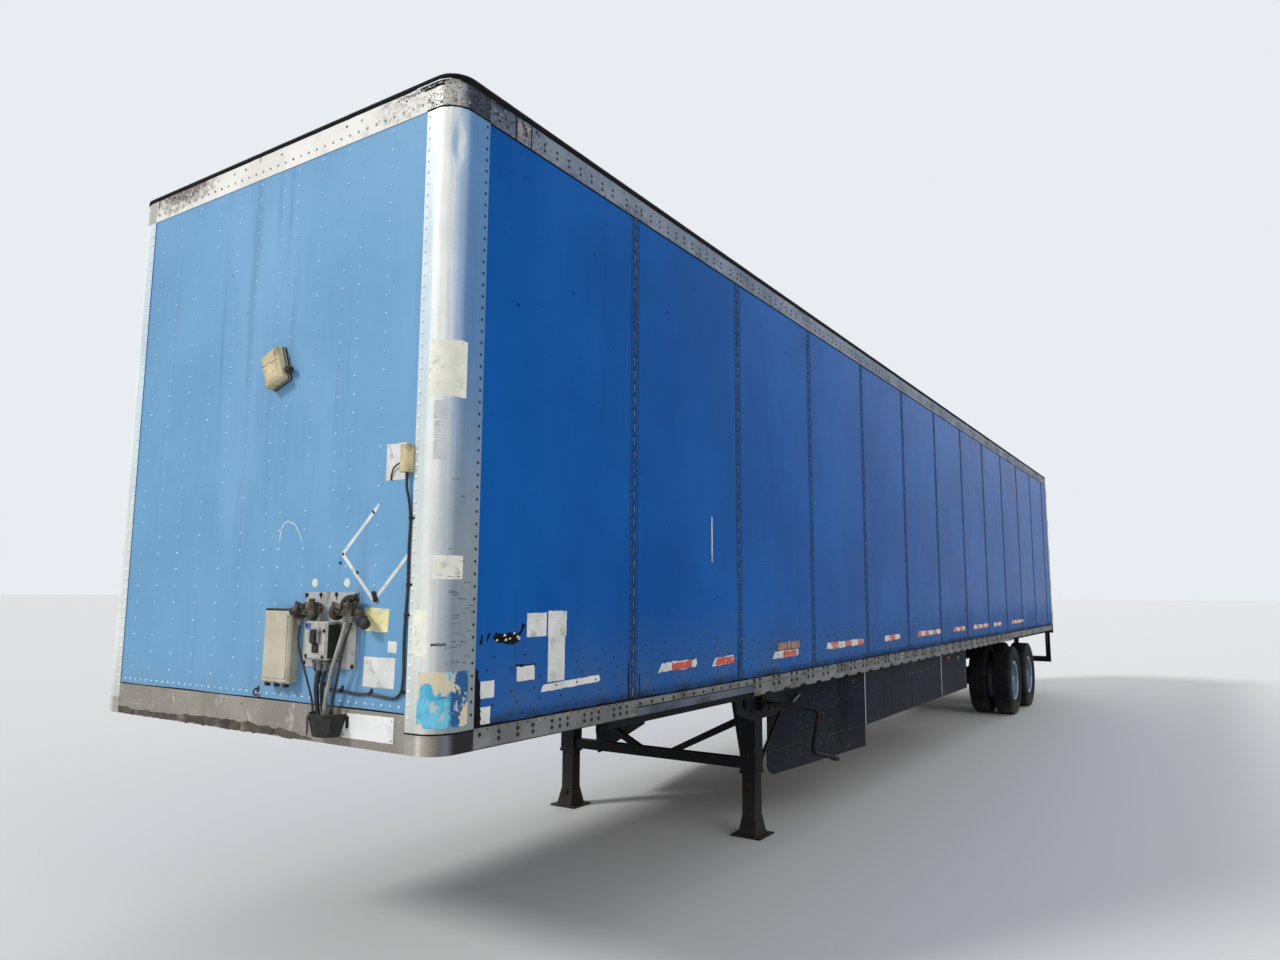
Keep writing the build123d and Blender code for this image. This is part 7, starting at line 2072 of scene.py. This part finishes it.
@dataclass
class RoofEdges(Assembly):
    """Black and pale edge bands round the roof, and the crumbled near front corner."""

    seed: int = 21
    cap_end: float = 0.222
    pitch: float = 0.05
    inset: float = 0.022
    sheet_top: float = 4.1135
    sheet_thick: float = 0.0015
    sag: float = 0.0025

    def build(self) -> None:
        """Makes the roof edge's pieces."""
        rng = random.Random(self.seed)
        black = Draft()
        self._band(black, [(0.0012, 4.081), (0.0034, 4.087), (0.0042, 4.096), (0.0038, 4.104),
                           (0.0022, 4.1105), (-0.001, 4.1105), (-0.001, 4.081)],
                   [(0.0012, 4.089), (0.0036, 4.094), (0.0046, 4.1), (0.0038, 4.106),
                    (0.0022, 4.1105), (-0.001, 4.1105), (-0.001, 4.089)], 0.002, rng)
        self.piece(black, "roof_edge_band", SEALANT)
        pale = Draft()
        fold = [(0.0018, 4.1097), (0.0036, 4.1107), (0.0032, 4.1126), (0.001, 4.114),
                (-0.024, 4.1144), (-0.024, 4.1122), (-0.001, 4.1097)]
        self._band(pale, fold, fold, 0, rng)
        self.piece(pale, "roof_edge_fold", PALE_TRIM)
        self._near_corner(rng)
        self._sheet()

    def _sheet(self) -> None:
        """Roof sheet with round front corners that sags a little between the bows, and its rivets."""
        front, rear = FRONT + self.inset, REAR - self.inset
        radius, side = CORNER_RADIUS - self.inset, HALF_WIDTH - self.inset
        rows = [front + radius * (1 - math.cos(math.pi * k / 16)) for k in range(8)]
        rows += steps(front + radius, rear, 0.16)
        holds = [front] + [back(seam) for seam in SEAMS] + [rear]
        shares = [k / 8 for k in range(-8, 9)]
        tops = []
        for y in rows:
            turned = max(0, front + radius - y)
            half = side - radius + math.sqrt(radius ** 2 - turned ** 2)
            before = max((hold for hold in holds if hold <= y), default=front)
            after = min((hold for hold in holds if hold > y), default=rear)
            swing = math.sin(math.pi * (y - before) / (after - before)) ** 2 if after > before else 0
            for share in shares:
                tops.append((half * share, y, self.sheet_top - self.sag * swing * (1 - share ** 2)))
        sheet = Draft()
        sheet.shell(tops, [(x, y, z - self.sheet_thick) for x, y, z in tops], len(shares))
        self.piece(sheet, "roof_sheet", ROOF_METAL, "van", ("roof_skin",))
        rivets = Draft()
        for y in steps(front + 0.12, rear - 0.03, 0.1):
            for sign in BOTH:
                rivets.stud((sign * (side - 0.018), y, self.sheet_top), (0, 0, 1), 0.0065, 0.0014, 8)
        for x in steps(0.14 - side, side - 0.14, 0.1):
            rivets.stud((x, front + 0.018, self.sheet_top), (0, 0, 1), 0.0065, 0.0014, 8)
        self.piece(rivets, "roof_sheet_rivets", PALE_TRIM)

    def _path(self) -> list[tuple[Vector, Vector]]:
        """Points round the roof from one rear end to the other, with their outward directions."""
        halves = []
        for sign in BOTH:
            half = [(Vector((sign * HALF_WIDTH, y, 0)), Vector((sign, 0, 0)))
                    for y in steps(REAR - 0.066, back(self.cap_end), self.pitch)]
            centre = Vector((sign * (HALF_WIDTH - CORNER_RADIUS), back(CORNER_RADIUS), 0))
            for k in range(13):
                angle = math.radians(90 - 7.5 * k)
                way = Vector((sign * math.sin(angle), -math.cos(angle), 0))
                half.append((centre + way * CORNER_RADIUS, way))
            halves.append(half)
        reach = HALF_WIDTH - CORNER_RADIUS - self.pitch
        front = [(Vector((x, FRONT, 0)), Vector((0, -1, 0))) for x in steps(reach, -reach, -self.pitch)]
        return halves[0] + front + halves[1][::-1]

    def _band(self, draft: Draft, side: Outline, square: Outline, wander: float,
              rng: random.Random) -> None:
        """Adds a strip along the roof's edge.

        Args:
            draft: Where it is added.
            side: Its section along the sides, as (out, height) from the foot round to the back.
            square: Its section on the front, with as many points.
            wander: Largest random drop of its lower edge.
            rng: Seeded source of random numbers.
        """
        rings = []
        for corner, way in self._path():
            drop = rng.uniform(0, wander)
            drops = [drop] + [0] * (len(side) - 2) + [drop]
            rings.append([corner + way * out + Vector((0, 0, level - less))
                          for (out, level), less in zip(square if way.y < -0.5 else side, drops)])
        draft.loft(rings)

    def _near_corner(self, rng: random.Random) -> None:
        """Joint lines, open slot, crumbled seal and smeared plate of the near top corner."""
        post = CornerPosts(self.shop)
        dark = Draft()
        for low, high, first, last in ((3.9565, 3.9635, -0.06, post.arc + 0.107),
                                       (1.243, 1.249, -0.06, post.arc + 0.107),
                                       (4.074, 4.0825, -0.11, -0.08), (4.061, 4.084, -0.08, 0.036),
                                       (4.07, 4.0825, 0.036, 0.058)):
            post.wrap(dark, first, last, low, high, 0.002, 0.001)
        lip = Draft()
        post.wrap(lip, -0.13, 0.07, 4.0852, 4.0886, 0.0034, 0.0004)
        self.piece(lip, "slot_lip", PALE_TRIM)
        for d in (0.398, 0.512):
            dark.block((HALF_WIDTH + 0.0006, back(d), 4.02), (0.003, 0.007, 0.116), 0.001)
        self.piece(dark, "cap_joint_lines", SEALANT)
        crumbs = Draft()
        for _ in range(150):
            along = rng.uniform(-0.26, 0.1)
            level = rng.choice((rng.gauss(4.072, 0.004), rng.gauss(4.1015, 0.002)))
            place = post.at(along, min(level, 4.104), 0)
            way = post.at(along, level, 1) - post.at(along, level, 0)
            crumbs.stud(place, way, rng.uniform(0.003, 0.008), rng.uniform(0.002, 0.004), 5)
        self.piece(crumbs, "corner_seal_crumbs", CRUMBS)
        plate = Draft()
        outline = ragged([(0.408, 3.984), (0.502, 3.99), (0.504, 4.066), (0.41, 4.07)], 0.009, 0.009, rng)
        plate.slab(outline, (HALF_WIDTH - 0.0005, FRONT, 0), (0, 1, 0), (0, 0, 1), 0.0017)
        self.piece(plate, "smeared_rail_plate", SMEAR)
        rivets = Draft()
        for along, level in ((-0.03, 3.991), (0.023, 3.984), (0.087, 3.986), (0.152, 3.993)):
            rivets.stud(post.at(along, level, 0), post.at(along, level, 1) - post.at(along, level, 0),
                        0.0085, 0.005, 10)
        self.piece(rivets, "pale_cap_rivets", RAIL_RIVET)
        rivets = Draft()
        for d, level in ((0.222, 4.031), (0.271, 4.028), (0.282, 3.996), (0.322, 4.029), (0.34, 3.994),
                         (0.365, 4.026), (0.451, 4.056), (0.473, 4.012)):
            rivets.stud((HALF_WIDTH + 0.001, back(d), level), (1, 0, 0), 0.0075, 0.004, 8)
        self.piece(rivets, "near_cap_rivets", BOLT)


@dataclass
class LandingGear(Assembly):
    """Bolts, welds, pins and the round crank bar of the landing gear."""

    leg_y: float = back(3.755)
    leg_x: float = 0.869
    wing: float = 0.9405
    gearbox_face: float = 0.9855
    gearbox_level: float = 0.985
    crank_x: float = 1.24
    crank_bend: float = 0.055
    crank_radius: float = 0.0175

    def build(self) -> None:
        """Makes the landing gear's details."""
        bolts, steel = Draft(), Draft()
        for sign in BOTH:
            for k in (-3, -2, -1, 1, 2, 3):
                bolts.bolt((sign * self.wing, self.leg_y + k * 0.105, 1.075), (sign, 0, 0), 0.024, 0.014)
            for shift in (-0.122, -0.04, 0.065, 0.19, 0.3):
                bolts.bolt((sign * self.wing, self.leg_y + shift, 0.926), (sign, 0, 0), 0.024, 0.014)
            x = sign * self.leg_x
            steel.lathe([(0, -0.082), (0.02, -0.082), (0.02, 0.082), (0, 0.082)],
                        (x, self.leg_y, 0.118), (0, 1, 0), 18)
            for z in (0.3, 0.36, 0.42):
                steel.lathe([(0, -0.058), (0.009, -0.058), (0.009, 0.058), (0, 0.058)],
                            (x, self.leg_y, z), (1, 0, 0), 12)
            for z in (0.482, 0.64, 1):
                steel.block((x, self.leg_y, z), (0.133, 0.133, 0.006), 0.002)
            for corner in ((0.0635, 0.0635), (0.0635, -0.0635), (-0.0635, 0.0635), (-0.0635, -0.0635)):
                steel.tube([(x + corner[0] * 0.985, self.leg_y + corner[1] * 0.985, 0.484),
                            (x + corner[0] * 0.985, self.leg_y + corner[1] * 0.985, 1.13)], 0.003, 6)
        self._crank(bolts, steel)
        self.piece(bolts, "leg_bolts", BOLT)
        self.piece(steel, "leg_details", BLACK_STEEL)

    def _crank(self, bolts: Draft, steel: Draft) -> None:
        """Gearbox bolts and boot, the crank's round bar and its grip."""
        box = Vector((self.gearbox_face, self.leg_y, self.gearbox_level))
        for y in (-0.028, 0.028):
            for z in (-0.042, 0.042):
                bolts.bolt(box + Vector((0, y, z)), (1, 0, 0), 0.013, 0.008)
        steel.lathe([(0.016, -0.006), (0.031, -0.006), (0.031, 0.012), (0.024, 0.02), (0.016, 0.02)],
                    box, (1, 0, 0), 24)
        steel.tube(rounded([box, box + Vector((0.07, 0, 0)),
                            (self.crank_x, self.leg_y + 0.485, 0.905),
                            (self.crank_x, self.leg_y + 0.305, 0.6),
                            (self.crank_x, self.leg_y + 0.845, 0.475)], self.crank_bend),
                   self.crank_radius, 18)
        steel.lathe([(0, 0), (0.0205, 0), (0.0235, 0.01), (0.021, 0.03), (0.0235, 0.06),
                     (0.021, 0.1), (0.0225, 0.118), (0, 0.124)],
                    (self.crank_x, self.leg_y + 0.727, 0.5023), (0, 0.974, -0.226), 20)


@dataclass
class Skirts(Assembly):
    """Joint strips, screws and small fittings of the side skirts."""

    face: float = 1.2
    joints: tuple[float, ...] = (5.45, 8.15)
    foot: float = 0.64
    head: float = 1.128
    front: tuple[float, float] = (0.85, 4.09)
    drop: float = 0.085
    bar: tuple[tuple[float, float], ...] = ((4.386, 0.933), (4.475, 0.987))

    def _first(self, sign: int, d: float, level: float, out: float = 0.0) -> tuple[Vector, Vector]:
        """Point of the slanted first panel's face, and the way that it faces.

        Args:
            sign: 1 for the road side and -1 for the other.
            d: Distance behind the front wall.
            level: Height.
            out: Distance outside the face.

        Returns:
            The point and the outward direction.
        """
        across, along = self.face - self.front[0], self.joints[0] - self.front[1]
        way = Vector((sign * along, -across, 0)).normalized()
        x = self.front[0] + across * (d - self.front[1]) / along
        return Vector((sign * x, back(d), level)) + way * out, way

    def _first_foot(self, d: float) -> float:
        """Height of the first panel's foot."""
        return self.foot - self.drop * (self.joints[0] - d) / (self.joints[0] - self.front[1])

    def build(self) -> None:
        """Makes the skirt's details."""
        strips, screws, edge = Draft(), Draft(), Draft()
        for sign in BOTH:
            for joint in self.joints:
                strips.block((sign * (self.face + 0.0015), back(joint), (self.foot + self.head) / 2),
                             (0.003, 0.016, self.head - self.foot - 0.01), 0.001)
            for d in steps(5.52, 9.34, 0.295):
                for z in (0.668, 1.096):
                    screws.stud((sign * self.face, back(d), z), (sign, 0, 0), 0.009, 0.004, 10)
            for d in steps(4.16, 5.38, 0.305):
                for z in (self._first_foot(d) + 0.028, 1.096):
                    screws.stud(*self._first(sign, d, z), 0.009, 0.004, 10)
            edge.tube([self._first(sign, d, self._first_foot(d) + 0.003, -0.003)[0]
                       for d in (4.096, 4.77, 5.44)], 0.0055, 8)
            edge.block((sign * (self.face - 0.002), back(7.425), 0.644), (0.01, 3.9, 0.012), 0.002)
        self.piece(strips, "skirt_joint_strips", PALE_TRIM)
        self.piece(screws, "skirt_screws", BOLT)
        self.piece(edge, "skirt_edge_trim", RUBBER)
        small = Draft()
        small.block((1.206, back(8.44), 1.072), (0.014, 0.06, 0.034), 0.004)
        small.lathe([(0, 0), (0.012, 0), (0.012, 0.01), (0, 0.012)],
                    (1.212, back(8.44), 1.072), (1, 0, 0), 16)
        self.piece(small, "skirt_red_handle", RED)
        bar, mounts = Draft(), Draft()
        bar.tube([self._first(1, d, z, 0.022)[0] for d, z in self.bar], 0.0115, 10)
        for d, z in self.bar:
            place, way = self._first(1, d, z)
            mounts.lathe([(0, 0), (0.02, 0), (0.017, 0.006), (0.01, 0.008), (0.01, 0.03), (0, 0.032)],
                         place, way, 14)
        self.piece(bar, "skirt_bar", GREY_STEEL)
        self.piece(mounts, "skirt_bar_mounts", BOLT)
        grey = Draft()
        grey.block((1.205, back(8.95), 1.04), (0.012, 0.05, 0.046), 0.003)
        grey.stud((1.211, back(8.95), 1.04), (1, 0, 0), 0.008, 0.004, 10)
        self.piece(grey, "skirt_grey_fitting", GREY_STEEL)


@dataclass
class DualTyres(Assembly):
    """Two treaded tyres on each end of an axle."""

    radius: float = WHEEL_LEVEL
    centres: tuple[float, float] = (1.145, 0.8)
    segments: int = 120
    groove_depth: float = 0.009
    cut_depth: float = 0.0065
    cut_every: int = 4

    def profile(self) -> list[tuple[float, float, int]]:
        """Half-section round the tyre: radius, across, and 1 where cross cuts reach.

        Returns:
            The points from the inner bead over the tread to the outer bead.
        """
        sidewall = [(0.288, 0.1), (0.292, 0.112), (0.306, 0.117), (0.33, 0.127), (0.362, 0.1345),
                    (0.4, 0.1375), (0.432, 0.135), (0.462, 0.129), (0.484, 0.1235),
                    (0.498, 0.1195)]
        outer = self.radius
        deep = outer - self.groove_depth
        tread = [(0.5085, 0.114, 1), (outer - 0.0015, 0.108, 1), (outer - 0.0006, 0.076, 1)]
        for middle in (0.069, 0.0245):
            tread += [(outer - 0.0004, middle + 0.0062, 0), (deep, middle + 0.0036, 0),
                      (deep, middle - 0.0036, 0), (outer, middle - 0.0062, 0)]
        half = [(r, -w, 0) for r, w in sidewall] + [(r, -w, c) for r, w, c in tread]
        return half + [(r, -w, c) for r, w, c in reversed(half)]

    def build(self) -> None:
        """Makes the tyres of the four wheel bodies."""
        profile = self.profile()
        for axle, place in AXLES:
            for sign in BOTH:
                draft = Draft()
                for centre in self.centres:
                    rings = []
                    for step in range(self.segments):
                        angle = 2 * math.pi * step / self.segments
                        cuts = self.cut_depth * (step % self.cut_every == 0)
                        rings.append([(sign * centre + w, back(place) + (r - cuts * cut) * math.cos(angle),
                                       self.radius + (r - cuts * cut) * math.sin(angle))
                                      for r, w, cut in profile])
                    draft.loft(rings, ends=False)
                place_name = f"{axle}_{SIDE_NAMES[sign]}"
                self.piece(draft, f"treaded_tyres_{place_name}", TYRE, f"dual_{place_name}",
                           (f"tyres_{place_name}",), 32)


@dataclass
class Wheels(Assembly):
    """Rim flanges, nuts, hub caps and valves of the dual wheels."""

    outer: float = 1.25
    disc: float = 1.1
    hub_end: float = 1.195
    cap_end: float = 1.23
    nuts: int = 10
    nut_circle: float = 0.131

    def build(self) -> None:
        """Makes the details of the four wheel bodies."""
        for axle, place in AXLES:
            for sign in BOTH:
                body = f"dual_{axle}_{SIDE_NAMES[sign]}"
                self._rims(sign, place, body)
                self._hubs(sign, place, body)

    def _rims(self, sign: int, place: float, body: str) -> None:
        """Rolled flanges, the dish's curved root and the hand holes' rims."""
        rim = Draft()
        way = (sign, 0, 0)
        centre = (sign * self.outer, back(place), WHEEL_LEVEL)
        for shift in (0, -0.21, -0.345, -0.555):
            flip = 1 if shift in (0, -0.345) else -1
            profile = [(0.27, -0.018), (0.2845, -0.016), (0.294, -0.006), (0.2965, 0.004),
                       (0.292, 0.01), (0.284, 0.01), (0.276, 0.004), (0.262, -0.01)]
            rim.lathe([(r, shift + flip * h) for r, h in profile], centre, way, 72)
        rim.lathe([(0.2625, -0.15), (0.2625, -0.06), (0.2615, -0.06), (0.258, -0.11),
                   (0.246, -0.134), (0.228, -0.1435), (0.228, -0.15)], centre, way, 72)
        rim.lathe([(0.106, -0.15), (0.126, -0.15), (0.12, -0.14), (0.11, -0.126),
                   (0.106, -0.1)], centre, way, 48)
        self.piece(rim, f"rim_flanges_{body}", WHEEL, body)

    def _hubs(self, sign: int, place: float, body: str) -> None:
        """Wheel nuts on the disc, and the hub's cap with its small bolts."""
        metal = Draft()
        way = (sign, 0, 0)
        y, z = back(place), WHEEL_LEVEL
        for k in range(self.nuts):
            angle = 2 * math.pi * (k + 0.5) / self.nuts
            spot = (sign * self.disc, y + self.nut_circle * math.cos(angle),
                    z + self.nut_circle * math.sin(angle))
            metal.bolt(spot, way, 0.03, 0.024)
            metal.lathe([(0, 0.02), (0.01, 0.02), (0.01, 0.04), (0.008, 0.043), (0, 0.043)], spot, way, 10)
        for k in range(8):
            angle = 2 * math.pi * k / 8
            spot = (sign * self.hub_end, y + 0.088 * math.cos(angle), z + 0.088 * math.sin(angle))
            metal.bolt(spot, way, 0.016, 0.01)
        metal.lathe([(0, 0), (0.06, 0), (0.064, 0.004), (0.062, 0.009), (0.03, 0.012),
                     (0.028, 0.017), (0, 0.018)], (sign * self.cap_end, y, z), way, 40)
        metal.tube([(sign * 1.108, y + 0.02, z + 0.238), (sign * 1.15, y + 0.02, z + 0.236),
                    (sign * 1.186, y + 0.02, z + 0.226)], 0.005, 8)
        self.piece(metal, f"hub_fasteners_{body}", GREY_STEEL, body)


@dataclass
class Tandem(Assembly):
    """Nuts, clamps, leaf lines and holes of the sliding tandem."""

    spring_x: float = 0.52
    rail_face: float = 0.565
    hanger_face: float = 0.57
    hangers: tuple[float, ...] = (11.66, 12.8925, 14.125)
    lock_pins: tuple[float, ...] = (11.5, 11.9, 13.9, 14.3)

    def build(self) -> None:
        """Makes the tandem's details."""
        bolts, steel = Draft(), Draft()
        for _, place in AXLES:
            y = back(place)
            for sign in BOTH:
                x = sign * self.spring_x
                for u in (-0.046, 0.046):
                    for v in (-0.045, 0.045):
                        bolts.bolt((x + u, y + v, 0.671), (0, 0, 1), 0.026, 0.02)
                        bolts.bolt((x + u, y + v, 0.434), (0, 0, -1), 0.026, 0.018)
                steel.block((x, y, 0.441), (0.11, 0.12, 0.014), 0.003)
                for leaf, half in enumerate((0.22, 0.33, 0.44)):
                    level = 0.617 + 0.012 * leaf
                    route = [(x, y + t, level + 0.036 * (t / 0.59) ** 2) for t in steps(-half, half, 0.055)]
                    for a, b in zip(route, route[1:]):
                        middle = (Vector(a) + Vector(b)) / 2
                        run = Vector(b) - Vector(a)
                        turn = Matrix.Rotation(math.atan2(run.z, run.y), 3, "X")
                        steel.block(middle, (0.0775, run.length + 0.001, 0.0035), 0.001, turn)
                can = Vector((sign * 0.35, y + 0.0835, WHEEL_LEVEL + 0.06))
                steel.lathe([(0.0775, 0.078), (0.085, 0.078), (0.0865, 0.085), (0.085, 0.092),
                             (0.0775, 0.092)], can, (0, 1, 0), 40)
                steel.lathe([(0, 0.168), (0.06, 0.168), (0.054, 0.184), (0.03, 0.19), (0, 0.19)],
                            can, (0, 1, 0), 32)
                bolts.bolt((can.x, can.y + 0.19, can.z), (0, 1, 0), 0.018, 0.01)
                steel.tube([(can.x, can.y - 0.01, can.z), (can.x, can.y - 0.13, can.z - 0.006)], 0.01, 10)
                steel.block((can.x, y - 0.04, WHEEL_LEVEL + 0.03), (0.03, 0.06, 0.15), 0.008)
                steel.tube([(sign * 0.34, y + 0.03, WHEEL_LEVEL + 0.07),
                            (sign * 0.655, y + 0.03, WHEEL_LEVEL + 0.07)], 0.02, 12)
        self._frame(bolts, steel)
        self.piece(bolts, "tandem_bolts", BOLT, "tandem")
        self.piece(steel, "tandem_details", BLACK_STEEL, "tandem")
        self._rail_holes()

    def _frame(self, bolts: Draft, steel: Draft) -> None:
        """Hanger bolts, lock pins and the tank's straps and drain."""
        for place in self.hangers:
            for sign in BOTH:
                for u in (-0.055, 0.055):
                    for z in (0.905, 0.86):
                        bolts.bolt((sign * self.hanger_face, back(place) + u, z), (sign, 0, 0),
                                   0.024, 0.012)
                bolts.bolt((sign * self.hanger_face, back(place), 0.628), (sign, 0, 0), 0.036, 0.018)
        for place in self.lock_pins:
            for sign in BOTH:
                steel.lathe([(0, 0), (0.022, 0), (0.022, 0.008), (0.018, 0.012), (0, 0.012)],
                            (sign * self.rail_face, back(place), 1.015), (sign, 0, 0), 18)
        tank = Vector((0, back(14.285), 0.802))
        for sign in BOTH:
            steel.lathe([(0.1155, 0), (0.1185, 0), (0.1185, 0.036), (0.1155, 0.036)],
                        tank + Vector((sign * 0.3 - 0.018, 0, 0)), (1, 0, 0), 44)
            steel.lathe([(0, 0), (0.114, 0), (0.106, 0.014), (0.08, 0.028), (0.04, 0.036),
                         (0, 0.038)], tank + Vector((sign * 0.379, 0, 0)), (sign, 0, 0), 40)
        steel.lathe([(0, 0), (0.014, 0), (0.014, 0.016), (0.008, 0.024), (0, 0.024)],
                    tank + Vector((0.1, 0, -0.112)), (0, 0, -1), 12)

    def _rail_holes(self) -> None:
        """Pressed rings of the lock-pin holes along the body's slide rails."""
        rings = Draft()
        for sign in BOTH:
            for place in steps(9.6, 15.9, 0.102):
                rings.lathe([(0.012, 0), (0.021, 0), (0.019, 0.003), (0.014, 0.004), (0.012, 0.002)],
                            (sign * self.rail_face, back(place), 1.099), (sign, 0, 0), 14)
        self.piece(rings, "lock_hole_rings", BOLT)


@dataclass
class RearDoors(Assembly):
    """Seals, rivets, rod bearings and handle parts of the rear doors and frame."""

    face: float = REAR
    edge: float = 1.1945
    foot: float = 1.278
    head: float = 3.956
    rods: tuple[float, float] = (0.33, 0.74)
    hinge_x: float = 1.2795
    lamps: tuple[float, ...] = (0.88, 1.005, 1.13)
    lamp_level: float = 1.189

    def build(self) -> None:
        """Makes the rear end's details."""
        hinge_levels = steps(1.447, 3.787, 0.585)
        for sign in BOTH:
            side = SIDE_NAMES[sign]
            body = f"door_{side}"
            seal = Draft()
            middle = (self.edge + 0.006) / 2
            width = self.edge - 0.006
            for x in (0.016, self.edge - 0.01):
                seal.block((sign * x, self.face + 0.0015, (self.foot + self.head) / 2),
                           (0.018, 0.005, self.head - self.foot), 0.002)
            for z in (self.foot + 0.01, self.head - 0.01):
                seal.block((sign * middle, self.face + 0.0015, z), (width, 0.005, 0.018), 0.002)
            self.piece(seal, f"door_seal_{side}", RUBBER, body)
            rivets = Draft()
            for z in steps(self.foot + 0.05, self.head - 0.05, 0.11):
                for x in (0.038, self.edge - 0.034):
                    rivets.stud((sign * x, self.face, z), (0, 1, 0), 0.0055, 0.003, 8)
            for x in steps(0.07, self.edge - 0.07, 0.11):
                for z in (self.foot + 0.034, self.head - 0.034):
                    rivets.stud((sign * x, self.face, z), (0, 1, 0), 0.0055, 0.003, 8)
            self.piece(rivets, f"door_rivets_{side}", RIVET, body)
            self._hardware(sign, side, body, hinge_levels)
        self._frame(hinge_levels)

    def _hardware(self, sign: int, side: str, body: str, hinge_levels: list[float]) -> None:
        """Bolts, bearing caps and handle grips of one door."""
        metal = Draft()
        for z in hinge_levels:
            for x in (1.055, 1.105, 1.155):
                metal.bolt((sign * x, self.face + 0.008, z), (0, 1, 0), 0.017, 0.008)
        for rod in self.rods:
            for z in steps(1.368, 3.866, 0.8327):
                for u in (-0.028, 0.028):
                    metal.bolt((sign * rod + u, self.face + 0.02, z), (0, 1, 0), 0.013, 0.008)
                metal.lathe([(0.0135, -0.02), (0.0185, -0.02), (0.0185, 0.02), (0.0135, 0.02)],
                            (sign * rod, self.face + 0.02, z), (0, 0, 1), 20)
        for rod, way, z in ((self.rods[0], 1, 1.5), (self.rods[1], -1, 1.62)):
            grip = rod + way * 0.215
            metal.block((sign * grip, self.face + 0.02, z), (0.15, 0.017, 0.031), 0.007)
            metal.lathe([(0, -0.017), (0.007, -0.017), (0.007, 0.017), (0, 0.017)],
                        (sign * (rod + way * 0.022), self.face + 0.02, z), (0, 1, 0), 14)
            for u in (-0.018, 0.018):
                metal.bolt((sign * (rod + way * 0.3), self.face + 0.02, z + u), (0, 1, 0), 0.01, 0.006)
        self.piece(metal, f"door_fasteners_{side}", GREY_STEEL, body)

    def _frame(self, hinge_levels: list[float]) -> None:
        """Hinge bolts, lamp rims and bumper bolts on the frame."""
        metal = Draft()
        lamps = Draft()
        for sign in BOTH:
            for z in hinge_levels:
                for step in (-0.056, 0.056):
                    metal.bolt((sign * 1.246, self.face + 0.008, z + step), (0, 1, 0), 0.014, 0.007)
                for end, way in ((0.072, 1), (-0.072, -1)):
                    metal.lathe([(0, 0), (0.013, 0), (0.012, 0.004), (0, 0.006)],
                                (sign * self.hinge_x, self.face + 0.056, z + end), (0, 0, way), 16)
            for x in self.lamps:
                lamps.lathe([(0.05, -0.001), (0.0575, -0.001), (0.0575, 0.008), (0.053, 0.012),
                             (0.05, 0.012)], (sign * x, self.face, self.lamp_level), (0, 1, 0), 40)
            for z in (1.155, 1.215):
                metal.bolt((sign * 1.2355, self.face + 0.065, z), (0, 1, 0), 0.02, 0.004)
            for z in steps(1.33, 3.9, 0.13):
                metal.stud((sign * 1.212, self.face, z), (0, 1, 0), 0.006, 0.003, 8)
        for x in (-0.17, 0, 0.17):
            lamps.block((x, self.face + 0.003, 4.037), (0.112, 0.006, 0.046), 0.002)
        self.piece(metal, "rear_frame_fasteners", GREY_STEEL)
        self.piece(lamps, "tail_lamp_grommets", RUBBER)
        lenses = Draft()
        for sign in BOTH:
            for x in self.lamps:
                for ring in (0.012, 0.024, 0.036):
                    lenses.lathe([(ring, 0.0215), (ring + 0.004, 0.0215), (ring + 0.003, 0.0235),
                                  (ring + 0.001, 0.0235)],
                                 (sign * x, self.face, self.lamp_level), (0, 1, 0), 32)
        self.piece(lenses, "tail_lamp_rings", RED)


def main() -> dict:
    """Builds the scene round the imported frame.
    """
    logging.basicConfig(level=logging.INFO, format="%(message)s")
    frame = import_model()
    Studio().build()
    shop = Shop(EffectGroups())
    CadDressing(shop).dress(frame["nodes"])
    for assembly in (SideWalls(shop), SideRails(shop), CornerPosts(shop), SideMarks(shop),
                     FrontWall(shop), FrontMarks(shop), FrontFittings(shop), RoofEdges(shop),
                     LandingGear(shop), Skirts(shop), Tandem(shop), DualTyres(shop), Wheels(shop),
                     RearDoors(shop)):
        assembly.build()
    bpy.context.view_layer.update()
    return frame


if __name__ == "__main__":
    main()
